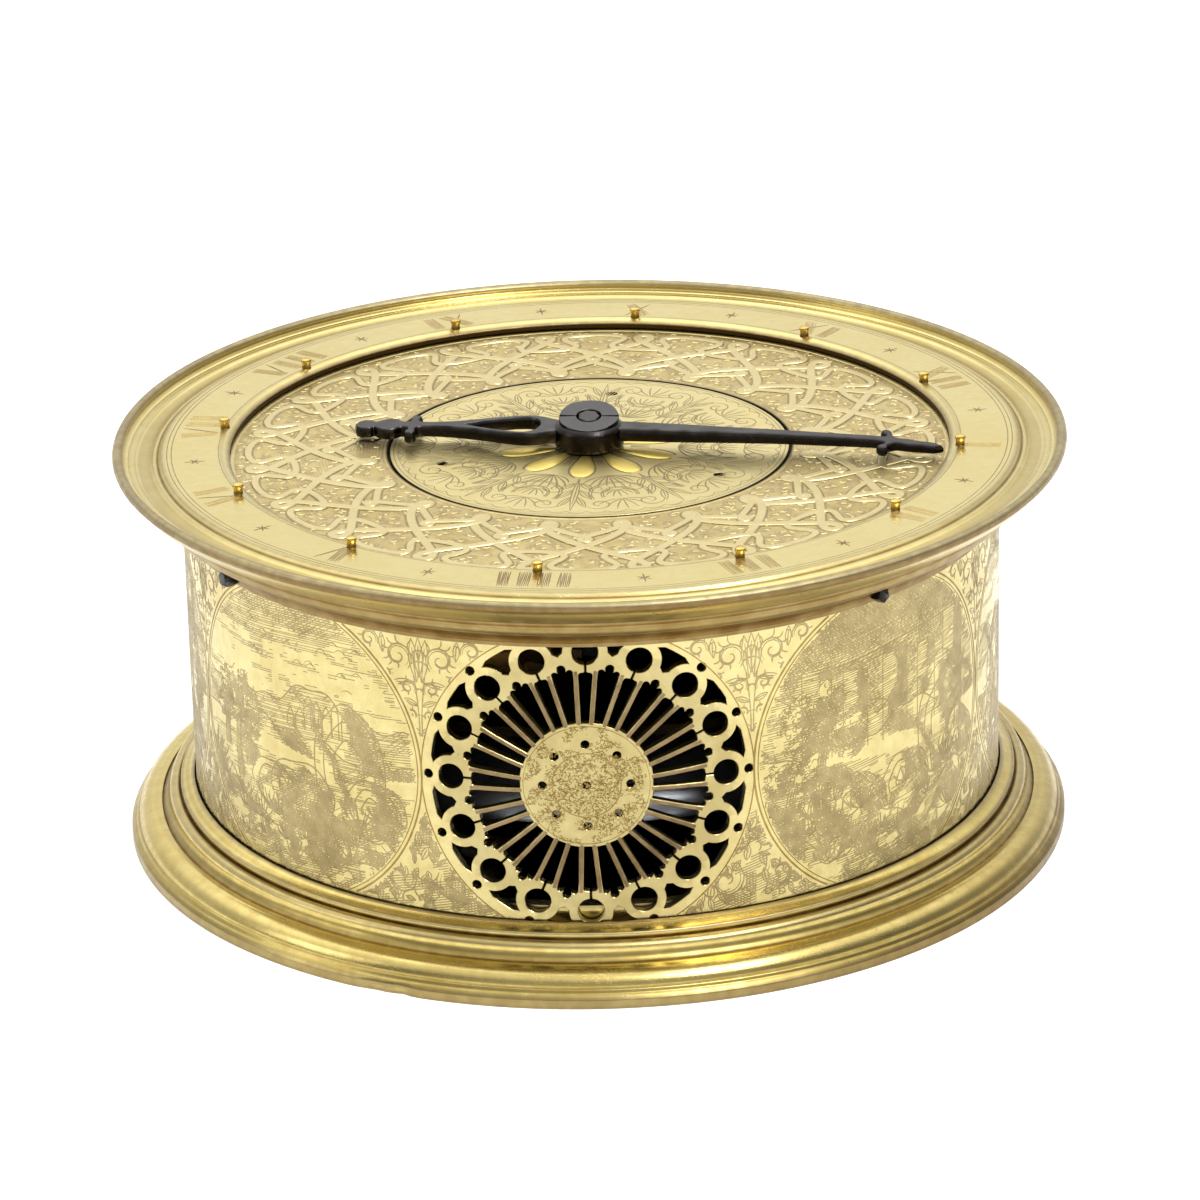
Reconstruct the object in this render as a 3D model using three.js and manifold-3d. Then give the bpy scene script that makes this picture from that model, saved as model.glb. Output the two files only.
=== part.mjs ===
// A round table clock of gilt brass. It lies flat with its dial upwards and has one hand.
// Lengths are millimetres, angles are degrees, and +Z is up.
// The origin is the middle of the base's underside. The front rosette faces -Y.

import Module from 'manifold-3d';
import * as THREE from 'three';
import { mergeVertices } from 'three/addons/utils/BufferGeometryUtils.js';

// Fits
const clearance = 0.3; // between two pieces that touch
const overrun = 1.5; // how far a cut runs past the face that it opens
const flatness = 0.05; // how far a cut wall may be smoothed

// Round parts are drawn with these numbers of sides
const caseSides = 36;
const drumSides = 48;
const plateSides = 24;
const barrelSides = 12;
const arborSides = 6;
const pinSides = 8;

// Base
const baseFlare = 10.7; // how far the foot stands out from the drum
const baseHeight = 9.6; // from the floor to the moulding's top edge, against the drum
const grooveFloor = 4; // height of the floor of the groove that takes the drum
const coverRecess = 2.5; // depth of the recess that takes the cover
const ledgeThickness = 2;
const ledgeReach = 3.8; // how far the ledge reaches inwards from the spigot
const spigotHeight = 11.3; // height of the spigot's top, inside the drum
const spigotWall = 2;

// Cover in the base
const coverThickness = 1.5;
const coverLap = 5.3; // how far the cover reaches under the ledge
const windingHoleRadius = 4.5;
const windingHoleSides = 10;

// Drum
const drumRadius = 64.5;
const drumWall = 1.4;
const drumHeight = 55.7;

// Rosette, drawn on the developed wall
const rosetteDrop = 0.2; // of its middle, below the middle of the wall that shows
const ringCount = 16;
const ringCircleInset = 0.9; // from the mouldings' edges to the circle through the rings
const ringHoleRadius = 2.2;
const ringHoleSides = 8;
const ringRadius = 3.4;
const rosetteDiscRadius = 10.5;
const spokeWidth = 0.65;
const spokeSpread = 1.2; // from a ring's middle line to its spokes, beside the ring
const spokeSpreadAtDisc = 0.85;
const webWidth = 1.5; // metal between a ring's hole and the slot under it, which a kerf cuts
const kerfWidth = 0.4;
const lobeReach = 1.4; // how far a wide slot's end reaches between the rings
const openingDip = 0.8; // of a border opening's inner corner, from the rings' circle
const openingAngles = [68, 30]; // of its sides' points, round a ring
const drilledRadius = 0.7;
const drilledCircleRadius = 6.9;
const drilledCount = 8;
const drilledSides = 4;

// Rim with the hours
const rimOverhang = 10.5; // how far the rim stands out from the drum
const rimBeadRadius = 0.8;
const rimBeadRise = 0.4; // the bead's middle above the chapter flat
const rimBeadAngles = [160, 90, 30, -40];
const chapterWidth = 9.3; // of the chapter flat
const lipThickness = 1.4;
const lipBevel = 0.6;
const lipBevelWidth = 1.4;
const rimTopRelief = 1.2; // depth of the moulding outside the chapter flat
const skirtDepth = 8; // from the lip's underside to the skirt's lower edge
const skirtWall = 0.5;

// Dial
const rimLedge = 7.9; // how far the rim reaches inwards from the drum's outside
const dialThickness = 1.6;
const alarmDiscRadius = 31.6;
const alarmDiscThickness = 0.7;
const alarmLedge = 3.5; // width of the ledge that carries the alarm disc
const alarmPipeRadius = 3.4;
const alarmPipeDepth = 2.2;
const settingHoleRadius = 0.8;
const settingInset = 6.8; // from the alarm disc's edge to its holes
const settingHoleCount = 3;
const settingHoleAzimuth = 82.5;

// Touch pins, and the pins that hold the rim on the drum
const hours = 12;
const touchPinRadius = 0.8;
const touchPinHeight = 2;
const touchPinSides = 6;
const touchInset = 1.8; // from the rim's opening to the middles of the touch pins
const firstHourAzimuth = -6.6;
const retainingPinRadius = 0.9;
const retainingPinLength = 4.8;
const retainingPinRise = 1.35; // above the skirt's lower edge
const retainingPinProud = 1.2;
const retainingPinAzimuths = [-144.7, -48.1, 35.3, 131.9];

// Hand
const handAzimuth = -8;
const handThickness = 1.9;
const handLift = 0.4; // above the alarm disc
const bossRadius = 5.7;
const bossHeight = 3.8;
const bossChamfer = 0.4;
const capRadius = 5.2;
const capThickness = 1.5;
const capBevel = 1.1;
const slitWidth = 0.5;
const slitDepth = 0.7;
const tipGap = 0.8; // between the hand's point and the rim's opening
const wingSpan = 4.2; // from the hand's middle line to the wings' knobs
const tailProud = 6; // how far the tail reaches beyond the alarm disc
const tailHalfWidth = 4.3;

// Movement plates
const plateGap = 6.1; // between the plates and the drum's inside
const plateThickness = 1.5;
const plateSpacing = 17.7; // between the inner faces
const dialLegRadius = 2;
const dialLegLength = 3.6;
const dialLegInset = 9; // from the plate's edge
const dialLegAzimuths = [20, 140, 265];
const dialTenonRadius = 1;
const pillarRadius = 2;
const pillarWaistRadius = 1.3;
const pillarInset = 4; // from the plate's edge
const pillarAzimuths = [100, 220, 340];

// Wheels and arbors. A module is a pitch diameter divided by the number of teeth.
const arborRadius = 1.2;
const centreArborRadius = 1.8;
const pivotRadius = 0.7;
const wheelThickness = 1.4;
const motionWheelThickness = 0.7;
const motionPinionLength = 2.1;
const wheelRimWidth = 2.2;
const crossingCount = 4;
const crossingWidth = 2.4;
const wheelHubRadius = 4;
const greatWheelInset = 11.04; // from the plates' edge to the going great wheel's teeth
const secondModule = 1.08;
const lockingModule = 0.75;
const crownModule = 1;
const greatTeeth = 30;
const secondPinionLeaves = 6;
const secondTeeth = 24;
const thirdPinionLeaves = 6;
const contrateTeeth = 18;
const crownPinionLeaves = 6;
const crownTeeth = 15;
const hourTeeth = 36;
const motionPinionLeaves = 9;
const lockingPinionLeaves = 8;
const lockingTeeth = 40;
const greatWheelRise = 0.8; // above the lower plate
const secondWheelDrop = 2.4; // from the top plate to the second wheel's underside
const motionWheelRise = 0.6; // above the top plate
const windingStandoff = 3.5; // from the cover to the end of a winding square
const windingSquareWidth = 3;
const windingSquareLength = 8;
const windingArborRadius = 1.9;

// Going side
const fuseeAzimuth = 230;
const fuseeBaseRadius = 11;
const fuseeTopRadius = 5.6;
const fuseeGrooves = 3;
const fuseeGrooveDepth = 0.7;
const fuseeHeight = 10.6;
const barrelRadius = 12;
const barrelGap = 26; // from the clock's middle to the going barrel
const barrelAzimuth = 180;
const barrelBossHeight = 0.7;
const barrelBossRadius = 4;
const gutRadius = 0.4;
const secondAzimuth = -20; // from the fusee
const contrateAzimuth = 20; // from the second arbor
const contrateWall = 1.6;
const contrateDepth = 3.6;
const contrateWeb = 1;
const contrateDrop = 9.85; // from the top plate to the points of the contrate teeth
const crownAzimuth = 60; // from the contrate arbor
const crownArborRadius = 0.9;
const crownArborStart = 2.6; // distances along the crown arbor are from the contrate arbor
const crownArborEnd = 17.6;
const crownPinionStart = 7.2;
const crownPinionLength = 3.2;
const crownWheelReach = 20; // distance of the points of the crown wheel's teeth
const crownWheelRadius = 5.8;
const crownWheelWall = 1;
const crownWheelDepth = 3;
const crownToothDepth = 1.6;
const crownWebThickness = 1;
const potenceStart = 4;
const potenceArm = 1.8;
const potenceEnd = 14.4;
const potenceWidth = 4.4;
const potenceNose = 2.4; // metal below the crown arbor's middle
const vergeDistance = 22;
const vergeRadius = 0.7;
const vergePivotRadius = 0.35;
const palletReach = 1.7;
const palletHeight = 2;
const palletThickness = 0.6;
const palletAngle = 50;
const balanceRadius = 11;
const balanceRimWidth = 1.6;
const balanceThickness = 1.2;
const balanceDrop = 0.6; // below the lower plate
const balanceArmWidth = 2.2;
const balanceSides = 7; // of each opening's outer edge
const cockWidth = 5;
const cockNoseWidth = 3;
const cockThickness = 1.2;
const cockBlockLength = 4;

// Striking side
const strikeGap = 24.1; // from the clock's middle to the striking barrel
const strikeAzimuth = 48.4;
const liftingPinRadius = 0.6;
const liftingPinHeight = 1.2;
const liftingPinSides = 4;
const liftingPinCount = 8;
const liftingInset = 1.08; // from the great wheel's tooth gaps to the middles of the pins
const strikeSecondAzimuth = 200; // from the striking arbor
const flyAzimuth = 160; // from the second striking arbor
const flyReach = 8.5;
const flyThickness = 0.8;
const flyHeight = 9;
const flyBossRadius = 2;
const flyRise = 3;
const lockingAzimuth = 170; // of the count wheel, from the striking arbor
const lockingDrop = 0.5;
const lockingThickness = 0.9;
const lockingDiscInset = 2.4; // from the count wheel's pitch circle
const lockingDiscThickness = 1.1;
const lockingNotchDepth = 1.6;
const lockingNotchWidth = 0.7;
const lockingStudRadius = 1.3;
const lockingStudHead = 2.4;

// Bell and hammer
const bellInset = 7; // from the plate's edge to the bell's lip
const bellHeight = 11.5;
const bellWall = 1.2;
const bellLip = 1.6;
const bellDrop = 3.5; // from the lower plate to the end of the bell's screw
const bellPostRadius = 2.4;
const bellPostFlangeRadius = 6;
const bellPostFlange = 2;
const bellScrewRadius = 1.5;
const bellNutRadius = 3.4;
const bellNutHeight = 2;
const hammerInset = 2.7; // from the plate's edge to the hammer's arbor
const hammerAzimuth = 78;
const hammerArborRadius = 1;
const hammerTailWidth = 1.8;
const hammerArmLength = 12;
const hammerArmWidth = 1.8;
const hammerArmThickness = 1.6;
const hammerHeadRadius = 2.4;
const hammerHeadLength = 5.4;
const hammerHeadRise = 2.5; // above the bell's lip
const hammerGap = 0.8; // between the head and the bell at rest

// Radii and heights that follow
const clockTurn = 360;
const coverTop = coverRecess - clearance;
const drumBottom = grooveFloor + clearance;
const drumTop = drumBottom + drumHeight;
const baseRadius = drumRadius + baseFlare;
const rimRadius = drumRadius + rimOverhang;
const openingRadius = drumRadius - rimLedge;
const chapterRadius = openingRadius + lipBevelWidth + chapterWidth;
const touchCircleRadius = openingRadius + touchInset;
const settingCircleRadius = alarmDiscRadius - settingInset;
const tipReach = openingRadius - tipGap;
const tailReach = alarmDiscRadius + tailProud;
const drumInnerRadius = drumRadius - drumWall;
const baseInnerRadius = drumInnerRadius - clearance - spigotWall - ledgeReach;
const plateRadius = drumInnerRadius - plateGap;
const dialLegCircleRadius = plateRadius - dialLegInset;
const pillarCircleRadius = plateRadius - pillarInset;
const bellRadius = plateRadius - bellInset;
const barrelDistance = barrelRadius + barrelGap;
const strikeDistance = barrelRadius + strikeGap;
const hammerDistance = plateRadius - hammerInset;
const sleeveRadius = drumRadius + clearance; // bore of the rim's skirt and of the groove in the base
const dialUnderside = drumTop + clearance;
const dialTop = dialUnderside + dialThickness;
const lipUnderside = dialTop + clearance;
const chapterHeight = lipUnderside + lipThickness;
const skirtBottom = lipUnderside - skirtDepth;
const retainingPinZ = skirtBottom + retainingPinRise;
const rosetteHeight = (skirtBottom + baseHeight) / 2 - rosetteDrop;
const ringCircleRadius = (skirtBottom - baseHeight) / 2 - ringCircleInset;
const topPlateTop = dialUnderside - dialLegLength;
const topPlateBottom = topPlateTop - plateThickness;
const lowerPlateTop = topPlateBottom - plateSpacing;
const lowerPlateBottom = lowerPlateTop - plateThickness;
const greatWheelZ = lowerPlateTop + greatWheelRise;
const barrelZ = greatWheelZ + wheelThickness + clearance;
const secondWheelZ = topPlateBottom - secondWheelDrop;
const motionWheelZ = topPlateTop + motionWheelRise;
const handZ = dialTop + handLift;
const capZ = handZ + bossHeight + clearance;
const contrateTip = topPlateBottom - contrateDrop;
const balanceZ = lowerPlateBottom - balanceDrop - balanceThickness;
const cockTop = balanceZ - balanceDrop;
const lockingZ = lowerPlateBottom - lockingDrop - lockingThickness;
const windingEnd = coverTop + windingStandoff;
const bellRimHeight = lowerPlateBottom - bellDrop - bellNutHeight - bellHeight;
const hammerHeadHeight = bellRimHeight + hammerHeadRise;

// Teeth are V-shaped and measured in modules from the pitch circle
const toothTipShare = 0.8;
const toothRootShare = 1.35;

// The great wheels fill the room between the middle and the plates' edge
const modulesToEdge = (hourTeeth + motionPinionLeaves + greatTeeth) / 2 + toothTipShare;
const greatModule = (plateRadius - greatWheelInset) / modulesToEdge;
const liftingCircleRadius = (greatTeeth / 2 - toothRootShare) * greatModule - liftingInset;
const lockingDiscRadius = (lockingTeeth * lockingModule) / 2 - lockingDiscInset;

// Mouldings as hand-drawn profiles: [share of the width, share of the height], from the first
// corner of each moulding to its last
const rimTopShares = [[0, 0], [0.11, 0.5], [0.21, 0.5], [0.45, 1], [0.7, 0.44], [1, 0.06]];
const rimUnderShares = [
  [0.26, 0.24], [0.46, 0.38], [0.55, 0.45], [0.72, 0.68], [0.87, 0.75], [0.96, 0.86], [1, 1],
];
const baseShares = [
  [0, 0], [0.21, 0.09], [0.22, 0.2], [0.3, 0.165], [0.38, 0.27], [0.52, 0.46], [0.62, 0.47],
  [0.78, 0.53], [0.875, 0.67], [0.905, 0.76], [1, 0.83], [1, 1],
];

// Outlines of the hand's two arms, from the hub outwards on one side: [share of the reach,
// share of the half width]
const armShares = [
  [0.06, 0.39], [0.6, 0.28], [0.826, 0.25], [0.824, 0.62], [0.832, 0.96], [0.85, 0.92], [0.858, 0.6],
  [0.87, 0.27], [0.884, 0.2], [0.902, 0.31], [1, 0],
];
const tailShares = [
  [0.08, 0.6], [0.21, 0.92], [0.27, 1], [0.36, 0.72], [0.49, 0.35], [0.64, 0.21], [0.723, 0.23],
  [0.729, 0.6], [0.75, 0.86], [0.771, 0.6], [0.777, 0.23], [0.798, 0.24], [0.846, 0.59], [0.894, 0.28],
  [0.928, 0.42], [0.971, 0.38], [1, 0],
];
const loopShares = [[0.2, 0], [0.215, 0.4], [0.25, 0.76], [0.3, 0.72], [0.38, 0.36], [0.492, 0]];

// The touch pins' foot and shoulder, and the moulded ends of the pillars, as shares of the whole
const touchFootShare = 0.8;
const touchShoulderShare = 0.5;
const collarShare = 0.2;

const bellShares = [[0.05, 0], [0.38, 0.05], [0.7, 0.24], [0.92, 0.6], [1, 1]];

// Blows of the hours, which set the notches of the count wheel
const blows = Array.from({ length: hours }, (_, hour) => hour + 1);
const blowTotal = blows.reduce((sum, count) => sum + count, 0);

const wasm = await Module();
wasm.setup();

const gilt = new THREE.MeshStandardMaterial({ color: 0xd6b45a, roughness: 0.3, metalness: 1 });
const brass = new THREE.MeshStandardMaterial({ color: 0xb99a4e, roughness: 0.4, metalness: 1 });
const blackSteel = new THREE.MeshStandardMaterial({ color: 0x26262b, roughness: 0.42, metalness: 0.9 });
const steel = new THREE.MeshStandardMaterial({ color: 0x767a80, roughness: 0.38, metalness: 1 });
const bellMetal = new THREE.MeshStandardMaterial({ color: 0x7c828c, roughness: 0.32, metalness: 1 });
const gut = new THREE.MeshStandardMaterial({ color: 0x8a6c40, roughness: 0.75, metalness: 0 });

const clock = new THREE.Group();

function addPiece(name, geometry, material, spot = { x: 0, y: 0 }, z = 0, turn = 0, parent = clock) {
  const mesh = new THREE.Mesh(geometry, material);
  mesh.name = name;
  mesh.position.set(spot.x, spot.y, z);
  mesh.rotation.z = radians(turn);
  parent.add(mesh);
}

function radians(degrees) {
  return THREE.MathUtils.degToRad(degrees);
}

// The point at a distance and azimuth from another point
function polar(distance, azimuth, from = { x: 0, y: 0 }) {
  const angle = radians(azimuth);
  return new THREE.Vector2(from.x + distance * Math.cos(angle), from.y + distance * Math.sin(angle));
}

function azimuthTo(from, to) {
  return THREE.MathUtils.radToDeg(Math.atan2(to.y - from.y, to.x - from.x));
}

// Places round a circle, the first at a given azimuth
function spotsRound(count, distance, firstAzimuth = 0) {
  return Array.from({ length: count }, (_, i) => polar(distance, firstAzimuth + (i * clockTurn) / count));
}

// A closed mesh with its shared vertices merged, no empty triangles and its faces outwards
function closed(geometry) {
  const bare = geometry.index ? geometry.toNonIndexed() : geometry.clone();
  bare.deleteAttribute('normal');
  bare.deleteAttribute('uv');
  const mesh = mergeVertices(bare);
  const place = mesh.attributes.position;
  const corner = [new THREE.Vector3(), new THREE.Vector3(), new THREE.Vector3()];
  const kept = [];
  let volume = 0;
  for (let i = 0; i < mesh.index.count; i += 3) {
    const ids = [0, 1, 2].map((k) => mesh.index.getX(i + k));
    if (new Set(ids).size < ids.length) continue;
    ids.forEach((id, k) => corner[k].fromBufferAttribute(place, id));
    volume += corner[0].dot(corner[1].cross(corner[2]));
    kept.push(...ids);
  }
  mesh.setIndex(volume > 0 ? kept : kept.reverse());
  return mesh;
}

function solid(geometry) {
  const mesh = closed(geometry);
  return new wasm.Manifold(new wasm.Mesh({
    numProp: 3,
    vertProperties: new Float32Array(mesh.attributes.position.array),
    triVerts: new Uint32Array(mesh.index.array),
  }));
}

function geometryOf(body) {
  const mesh = body.getMesh();
  const geometry = new THREE.BufferGeometry();
  geometry.setAttribute('position', new THREE.BufferAttribute(mesh.vertProperties, mesh.numProp));
  geometry.setIndex(new THREE.BufferAttribute(mesh.triVerts, 1));
  return geometry;
}

function carved(geometry, cutters) {
  return cutters.reduce((body, cutter) => body.subtract(solid(cutter)), solid(geometry));
}

function cut(geometry, cutters) {
  return geometryOf(carved(geometry, cutters));
}

function join(...geometries) {
  return geometryOf(geometries.map(solid).reduce((body, other) => body.add(other)));
}

// A solid of revolution about +Z from [radius, height] corners. The profile starts and ends on
// the axis, or is closed by its first corner where it stays clear of the axis.
function turned(corners, sides) {
  const profile = corners.map(([radius, height]) => new THREE.Vector2(radius, height));
  const onAxis = profile[0].x === 0 && profile.at(-1).x === 0;
  if (!onAxis) profile.push(profile[0].clone());
  return closed(new THREE.LatheGeometry(profile, sides).rotateX(Math.PI / 2));
}

function extruded(outline, height, holes = []) {
  const shape = new THREE.Shape(outline);
  shape.holes = holes.map((hole) => new THREE.Path(hole));
  return closed(new THREE.ExtrudeGeometry(shape, { depth: height, bevelEnabled: false }));
}

function circle(radius, sides, middle = { x: 0, y: 0 }) {
  return spotsRound(sides, radius).map((spot) => new THREE.Vector2(spot.x + middle.x, spot.y + middle.y));
}

function rod(radius, bottom, top, sides = arborSides) {
  return turned([[0, bottom], [radius, bottom], [radius, top], [0, top]], sides);
}

function ring(inner, outer, bottom, top, sides) {
  return turned([[inner, bottom], [outer, bottom], [outer, top], [inner, top]], sides);
}

// A bar from a start to an end along +X, with its middle line at y = 0
function bar(start, end, width, bottom, height) {
  const half = width / 2;
  const outline = [[start, -half], [end, -half], [end, half], [start, half]];
  return extruded(outline.map(([x, y]) => new THREE.Vector2(x, y)), height).translate(0, 0, bottom);
}

// The corners of a moulding whose shares run from one corner to another
function moulding(shares, from, to) {
  return shares.map(([across, down]) => [
    from[0] + (to[0] - from[0]) * across,
    from[1] + (to[1] - from[1]) * down,
  ]);
}

// Case

function baseRing() {
  const coverRadius = baseInnerRadius + coverLap;
  const spigotRadius = drumInnerRadius - clearance;
  const ledgeTop = coverRecess + ledgeThickness;
  return turned([
    ...moulding(baseShares, [sleeveRadius, baseHeight], [baseRadius, 0]),
    [coverRadius, 0],
    [coverRadius, coverRecess],
    [baseInnerRadius, coverRecess],
    [baseInnerRadius, ledgeTop],
    [spigotRadius - spigotWall, ledgeTop],
    [spigotRadius - spigotWall, spigotHeight],
    [spigotRadius, spigotHeight],
    [spigotRadius, grooveFloor],
    [sleeveRadius, grooveFloor],
  ], caseSides);
}

function bottomCover() {
  const radius = baseInnerRadius + coverLap - clearance;
  const holes = windingSpots.map((spot) => circle(windingHoleRadius, windingHoleSides, spot));
  return extruded(circle(radius, caseSides), coverThickness, holes);
}

// Bends a cutter drawn on the developed wall round the drum, so that its sides stay radial
function wrappedOnDrum(geometry, innerRadius) {
  const place = geometry.attributes.position;
  for (let i = 0; i < place.count; i += 1) {
    const angle = place.getX(i) / drumRadius;
    const radius = innerRadius + place.getZ(i);
    place.setXYZ(i, radius * Math.sin(angle), -radius * Math.cos(angle), place.getY(i) + rosetteHeight);
  }
  return geometry;
}

// A point of the rosette from its distance outwards along a ring's middle line and to its side
function besideRing(azimuth, along, aside) {
  const angle = radians(azimuth);
  const [cos, sin] = [Math.cos(angle), Math.sin(angle)];
  return new THREE.Vector2(along * cos - aside * sin, along * sin + aside * cos);
}

// A ring's hole, joined by a saw kerf to the narrow slot between the ring's two spokes
function ringKeyhole(azimuth) {
  const slotEnd = ringCircleRadius - ringHoleRadius - webWidth;
  const nearDisc = spokeSpreadAtDisc - spokeWidth / 2;
  const nearRing = spokeSpread - spokeWidth / 2;
  const kerf = kerfWidth / 2;
  const side = [[rosetteDiscRadius, nearDisc], [slotEnd, nearRing], [slotEnd, kerf]];
  const gap = THREE.MathUtils.radToDeg(Math.asin(kerf / ringHoleRadius));
  const sweep = clockTurn - 2 * gap;
  const round = Array.from({ length: ringHoleSides + 1 }, (_, i) => {
    const turn = clockTurn / 2 - gap - (sweep * i) / ringHoleSides;
    const spot = polar(ringHoleRadius, turn, { x: ringCircleRadius, y: 0 });
    return [spot.x, spot.y];
  });
  const other = side.map(([along, aside]) => [along, -aside]).reverse();
  return [...side, ...round, ...other].map(([along, aside]) => besideRing(azimuth, along, aside));
}

// The wide slot between two rings, with a pointed outer end
function slotBetweenRings(azimuth, pitch) {
  const outer = ringCircleRadius - ringRadius;
  const nearDisc = spokeSpreadAtDisc + spokeWidth / 2;
  const nearRing = spokeSpread + spokeWidth / 2;
  const middle = azimuth + pitch / 2;
  return [
    besideRing(azimuth, rosetteDiscRadius, nearDisc),
    besideRing(azimuth, outer, nearRing),
    besideRing(middle, outer + lobeReach, 0),
    besideRing(azimuth + pitch, outer, -nearRing),
    besideRing(azimuth + pitch, rosetteDiscRadius, -nearDisc),
  ];
}

// The opening between two rings and the border, which the rings' round sides draw in
function openingAtBorder(azimuth, pitch) {
  const [low, high] = openingAngles.map(radians);
  const along = (angle) => ringCircleRadius + ringRadius * Math.cos(angle);
  const aside = (angle) => ringRadius * Math.sin(angle);
  return [
    besideRing(azimuth + pitch / 2, ringCircleRadius - openingDip, 0),
    besideRing(azimuth, along(low), aside(low)),
    besideRing(azimuth, along(high), aside(high)),
    besideRing(azimuth + pitch, along(high), -aside(high)),
    besideRing(azimuth + pitch, along(low), -aside(low)),
  ];
}

function rosetteCutters() {
  const pitch = clockTurn / ringCount;
  const drilled = [...spotsRound(drilledCount, drilledCircleRadius), new THREE.Vector2()];
  const outlines = drilled.map((spot) => circle(drilledRadius, drilledSides, spot));
  for (let i = 0; i < ringCount; i += 1) {
    const azimuth = i * pitch;
    outlines.push(ringKeyhole(azimuth), slotBetweenRings(azimuth, pitch), openingAtBorder(azimuth, pitch));
  }
  const depth = drumWall + 2 * overrun;
  const innerRadius = drumInnerRadius - overrun;
  return outlines.map((outline) => wrappedOnDrum(extruded(outline, depth), innerRadius));
}

function retainingPinAlong(azimuth, radius, start, end) {
  const pin = rod(radius, start, end).rotateY(Math.PI / 2);
  return pin.rotateZ(radians(azimuth)).translate(0, 0, retainingPinZ);
}

function retainingPinHoles() {
  const start = drumInnerRadius - overrun;
  return retainingPinAzimuths.map((azimuth) => (
    retainingPinAlong(azimuth, retainingPinRadius + clearance, start, rimRadius)));
}

function drumBand() {
  const wall = ring(drumInnerRadius, drumRadius, drumBottom, drumTop, drumSides);
  const holed = carved(wall, [...rosetteCutters(), ...retainingPinHoles()]);
  return geometryOf(holed.asOriginal().simplify(flatness));
}

function rimBead(middle) {
  return rimBeadAngles.map((turn) => {
    const spot = polar(rimBeadRadius, turn, middle);
    return [spot.x, spot.y];
  });
}

function rimRing() {
  const beadMiddle = { x: rimRadius - rimBeadRadius, y: chapterHeight + rimBeadRise };
  const beadFoot = [beadMiddle.x - rimBeadRadius, chapterHeight - rimTopRelief];
  const skirtRadius = sleeveRadius + skirtWall;
  const body = turned([
    [openingRadius, lipUnderside],
    [openingRadius, chapterHeight - lipBevel],
    [openingRadius + lipBevelWidth, chapterHeight],
    ...moulding(rimTopShares, [chapterRadius, chapterHeight], beadFoot),
    ...rimBead(beadMiddle),
    ...moulding(rimUnderShares, [rimRadius, chapterHeight], [skirtRadius, skirtBottom]),
    [sleeveRadius, skirtBottom],
    [sleeveRadius, lipUnderside],
  ], caseSides);
  return cut(body, retainingPinHoles());
}

function touchPin() {
  const foot = touchPinRadius * touchFootShare;
  const shoulder = touchPinHeight * touchShoulderShare;
  return turned([[0, 0], [foot, 0], [touchPinRadius, shoulder], [0, touchPinHeight]], touchPinSides);
}

// Dial plate with a stepped opening for the alarm disc, and feet with tenons
function dialPlate() {
  const seatRadius = alarmDiscRadius + clearance;
  const seatZ = dialTop - alarmDiscThickness - clearance;
  const plate = turned([
    [seatRadius - alarmLedge, dialUnderside], [drumRadius, dialUnderside], [drumRadius, dialTop],
    [seatRadius, dialTop], [seatRadius, seatZ], [seatRadius - alarmLedge, seatZ],
  ], caseSides);
  const feet = dialLegAzimuths.map((azimuth) => {
    const spot = polar(dialLegCircleRadius, azimuth);
    const neck = topPlateTop + clearance;
    return turned([
      [0, topPlateBottom], [dialTenonRadius, topPlateBottom], [dialTenonRadius, neck],
      [dialLegRadius, neck], [dialLegRadius, dialUnderside + dialThickness / 2],
      [0, dialUnderside + dialThickness / 2],
    ], pinSides).translate(spot.x, spot.y, 0);
  });
  return join(plate, ...feet);
}

// Alarm disc on its pipe, drilled with three holes that take a setting peg
function alarmDisc() {
  const bore = centreArborRadius + clearance;
  const underside = dialTop - alarmDiscThickness;
  const disc = turned([
    [bore, underside - alarmPipeDepth], [alarmPipeRadius, underside - alarmPipeDepth],
    [alarmPipeRadius, underside], [alarmDiscRadius, underside], [alarmDiscRadius, dialTop],
    [bore, dialTop],
  ], plateSides);
  const holes = spotsRound(settingHoleCount, settingCircleRadius, settingHoleAzimuth).map((spot) => (
    rod(settingHoleRadius, underside - overrun, dialTop + overrun, pinSides).translate(spot.x, spot.y, 0)));
  return cut(disc, holes);
}

// Hand

// A hand's arm along +X, whose outline is the same on both sides of its middle line
function mirrored(shares, reach, halfWidth) {
  const side = shares.map(([along, aside]) => [along * reach, aside * halfWidth]);
  const other = side.filter(([, aside]) => aside > 0).map(([along, aside]) => [along, -aside]);
  return [...side, ...other.reverse()].map(([x, y]) => new THREE.Vector2(x, y));
}

function hourHand() {
  const arm = extruded(mirrored(armShares, tipReach, wingSpan), handThickness);
  const tail = extruded(mirrored(tailShares, tailReach, tailHalfWidth), handThickness);
  const loop = extruded(mirrored(loopShares, tailReach, tailHalfWidth), bossHeight + 2 * overrun);
  const boss = turned([
    [0, 0], [bossRadius, 0], [bossRadius, bossHeight - bossChamfer],
    [bossRadius - bossChamfer, bossHeight], [0, bossHeight],
  ], pinSides * 2);
  const bore = rod(centreArborRadius + clearance, -overrun, bossHeight + overrun, pinSides);
  const loopCutter = loop.translate(0, 0, -overrun).rotateZ(Math.PI);
  return cut(join(boss, arm, tail.rotateZ(Math.PI)), [bore, loopCutter]);
}

function handCap() {
  const cap = turned([
    [0, 0], [capRadius, 0], [capRadius, capThickness - capBevel],
    [capRadius - capBevel, capThickness], [0, capThickness],
  ], pinSides * 2);
  const bore = rod(centreArborRadius + clearance, -overrun, capThickness + overrun, pinSides);
  const slit = bar(-capRadius - overrun, capRadius + overrun, slitWidth, capThickness - slitDepth, overrun);
  return cut(cap, [bore, slit]);
}

// Movement

function pierced(radius, holes, sides) {
  return extruded(circle(radius, sides), plateThickness, holes);
}

function plateHoles(radius, spots) {
  return spots.map((spot) => circle(radius + clearance, arborSides, spot));
}

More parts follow.
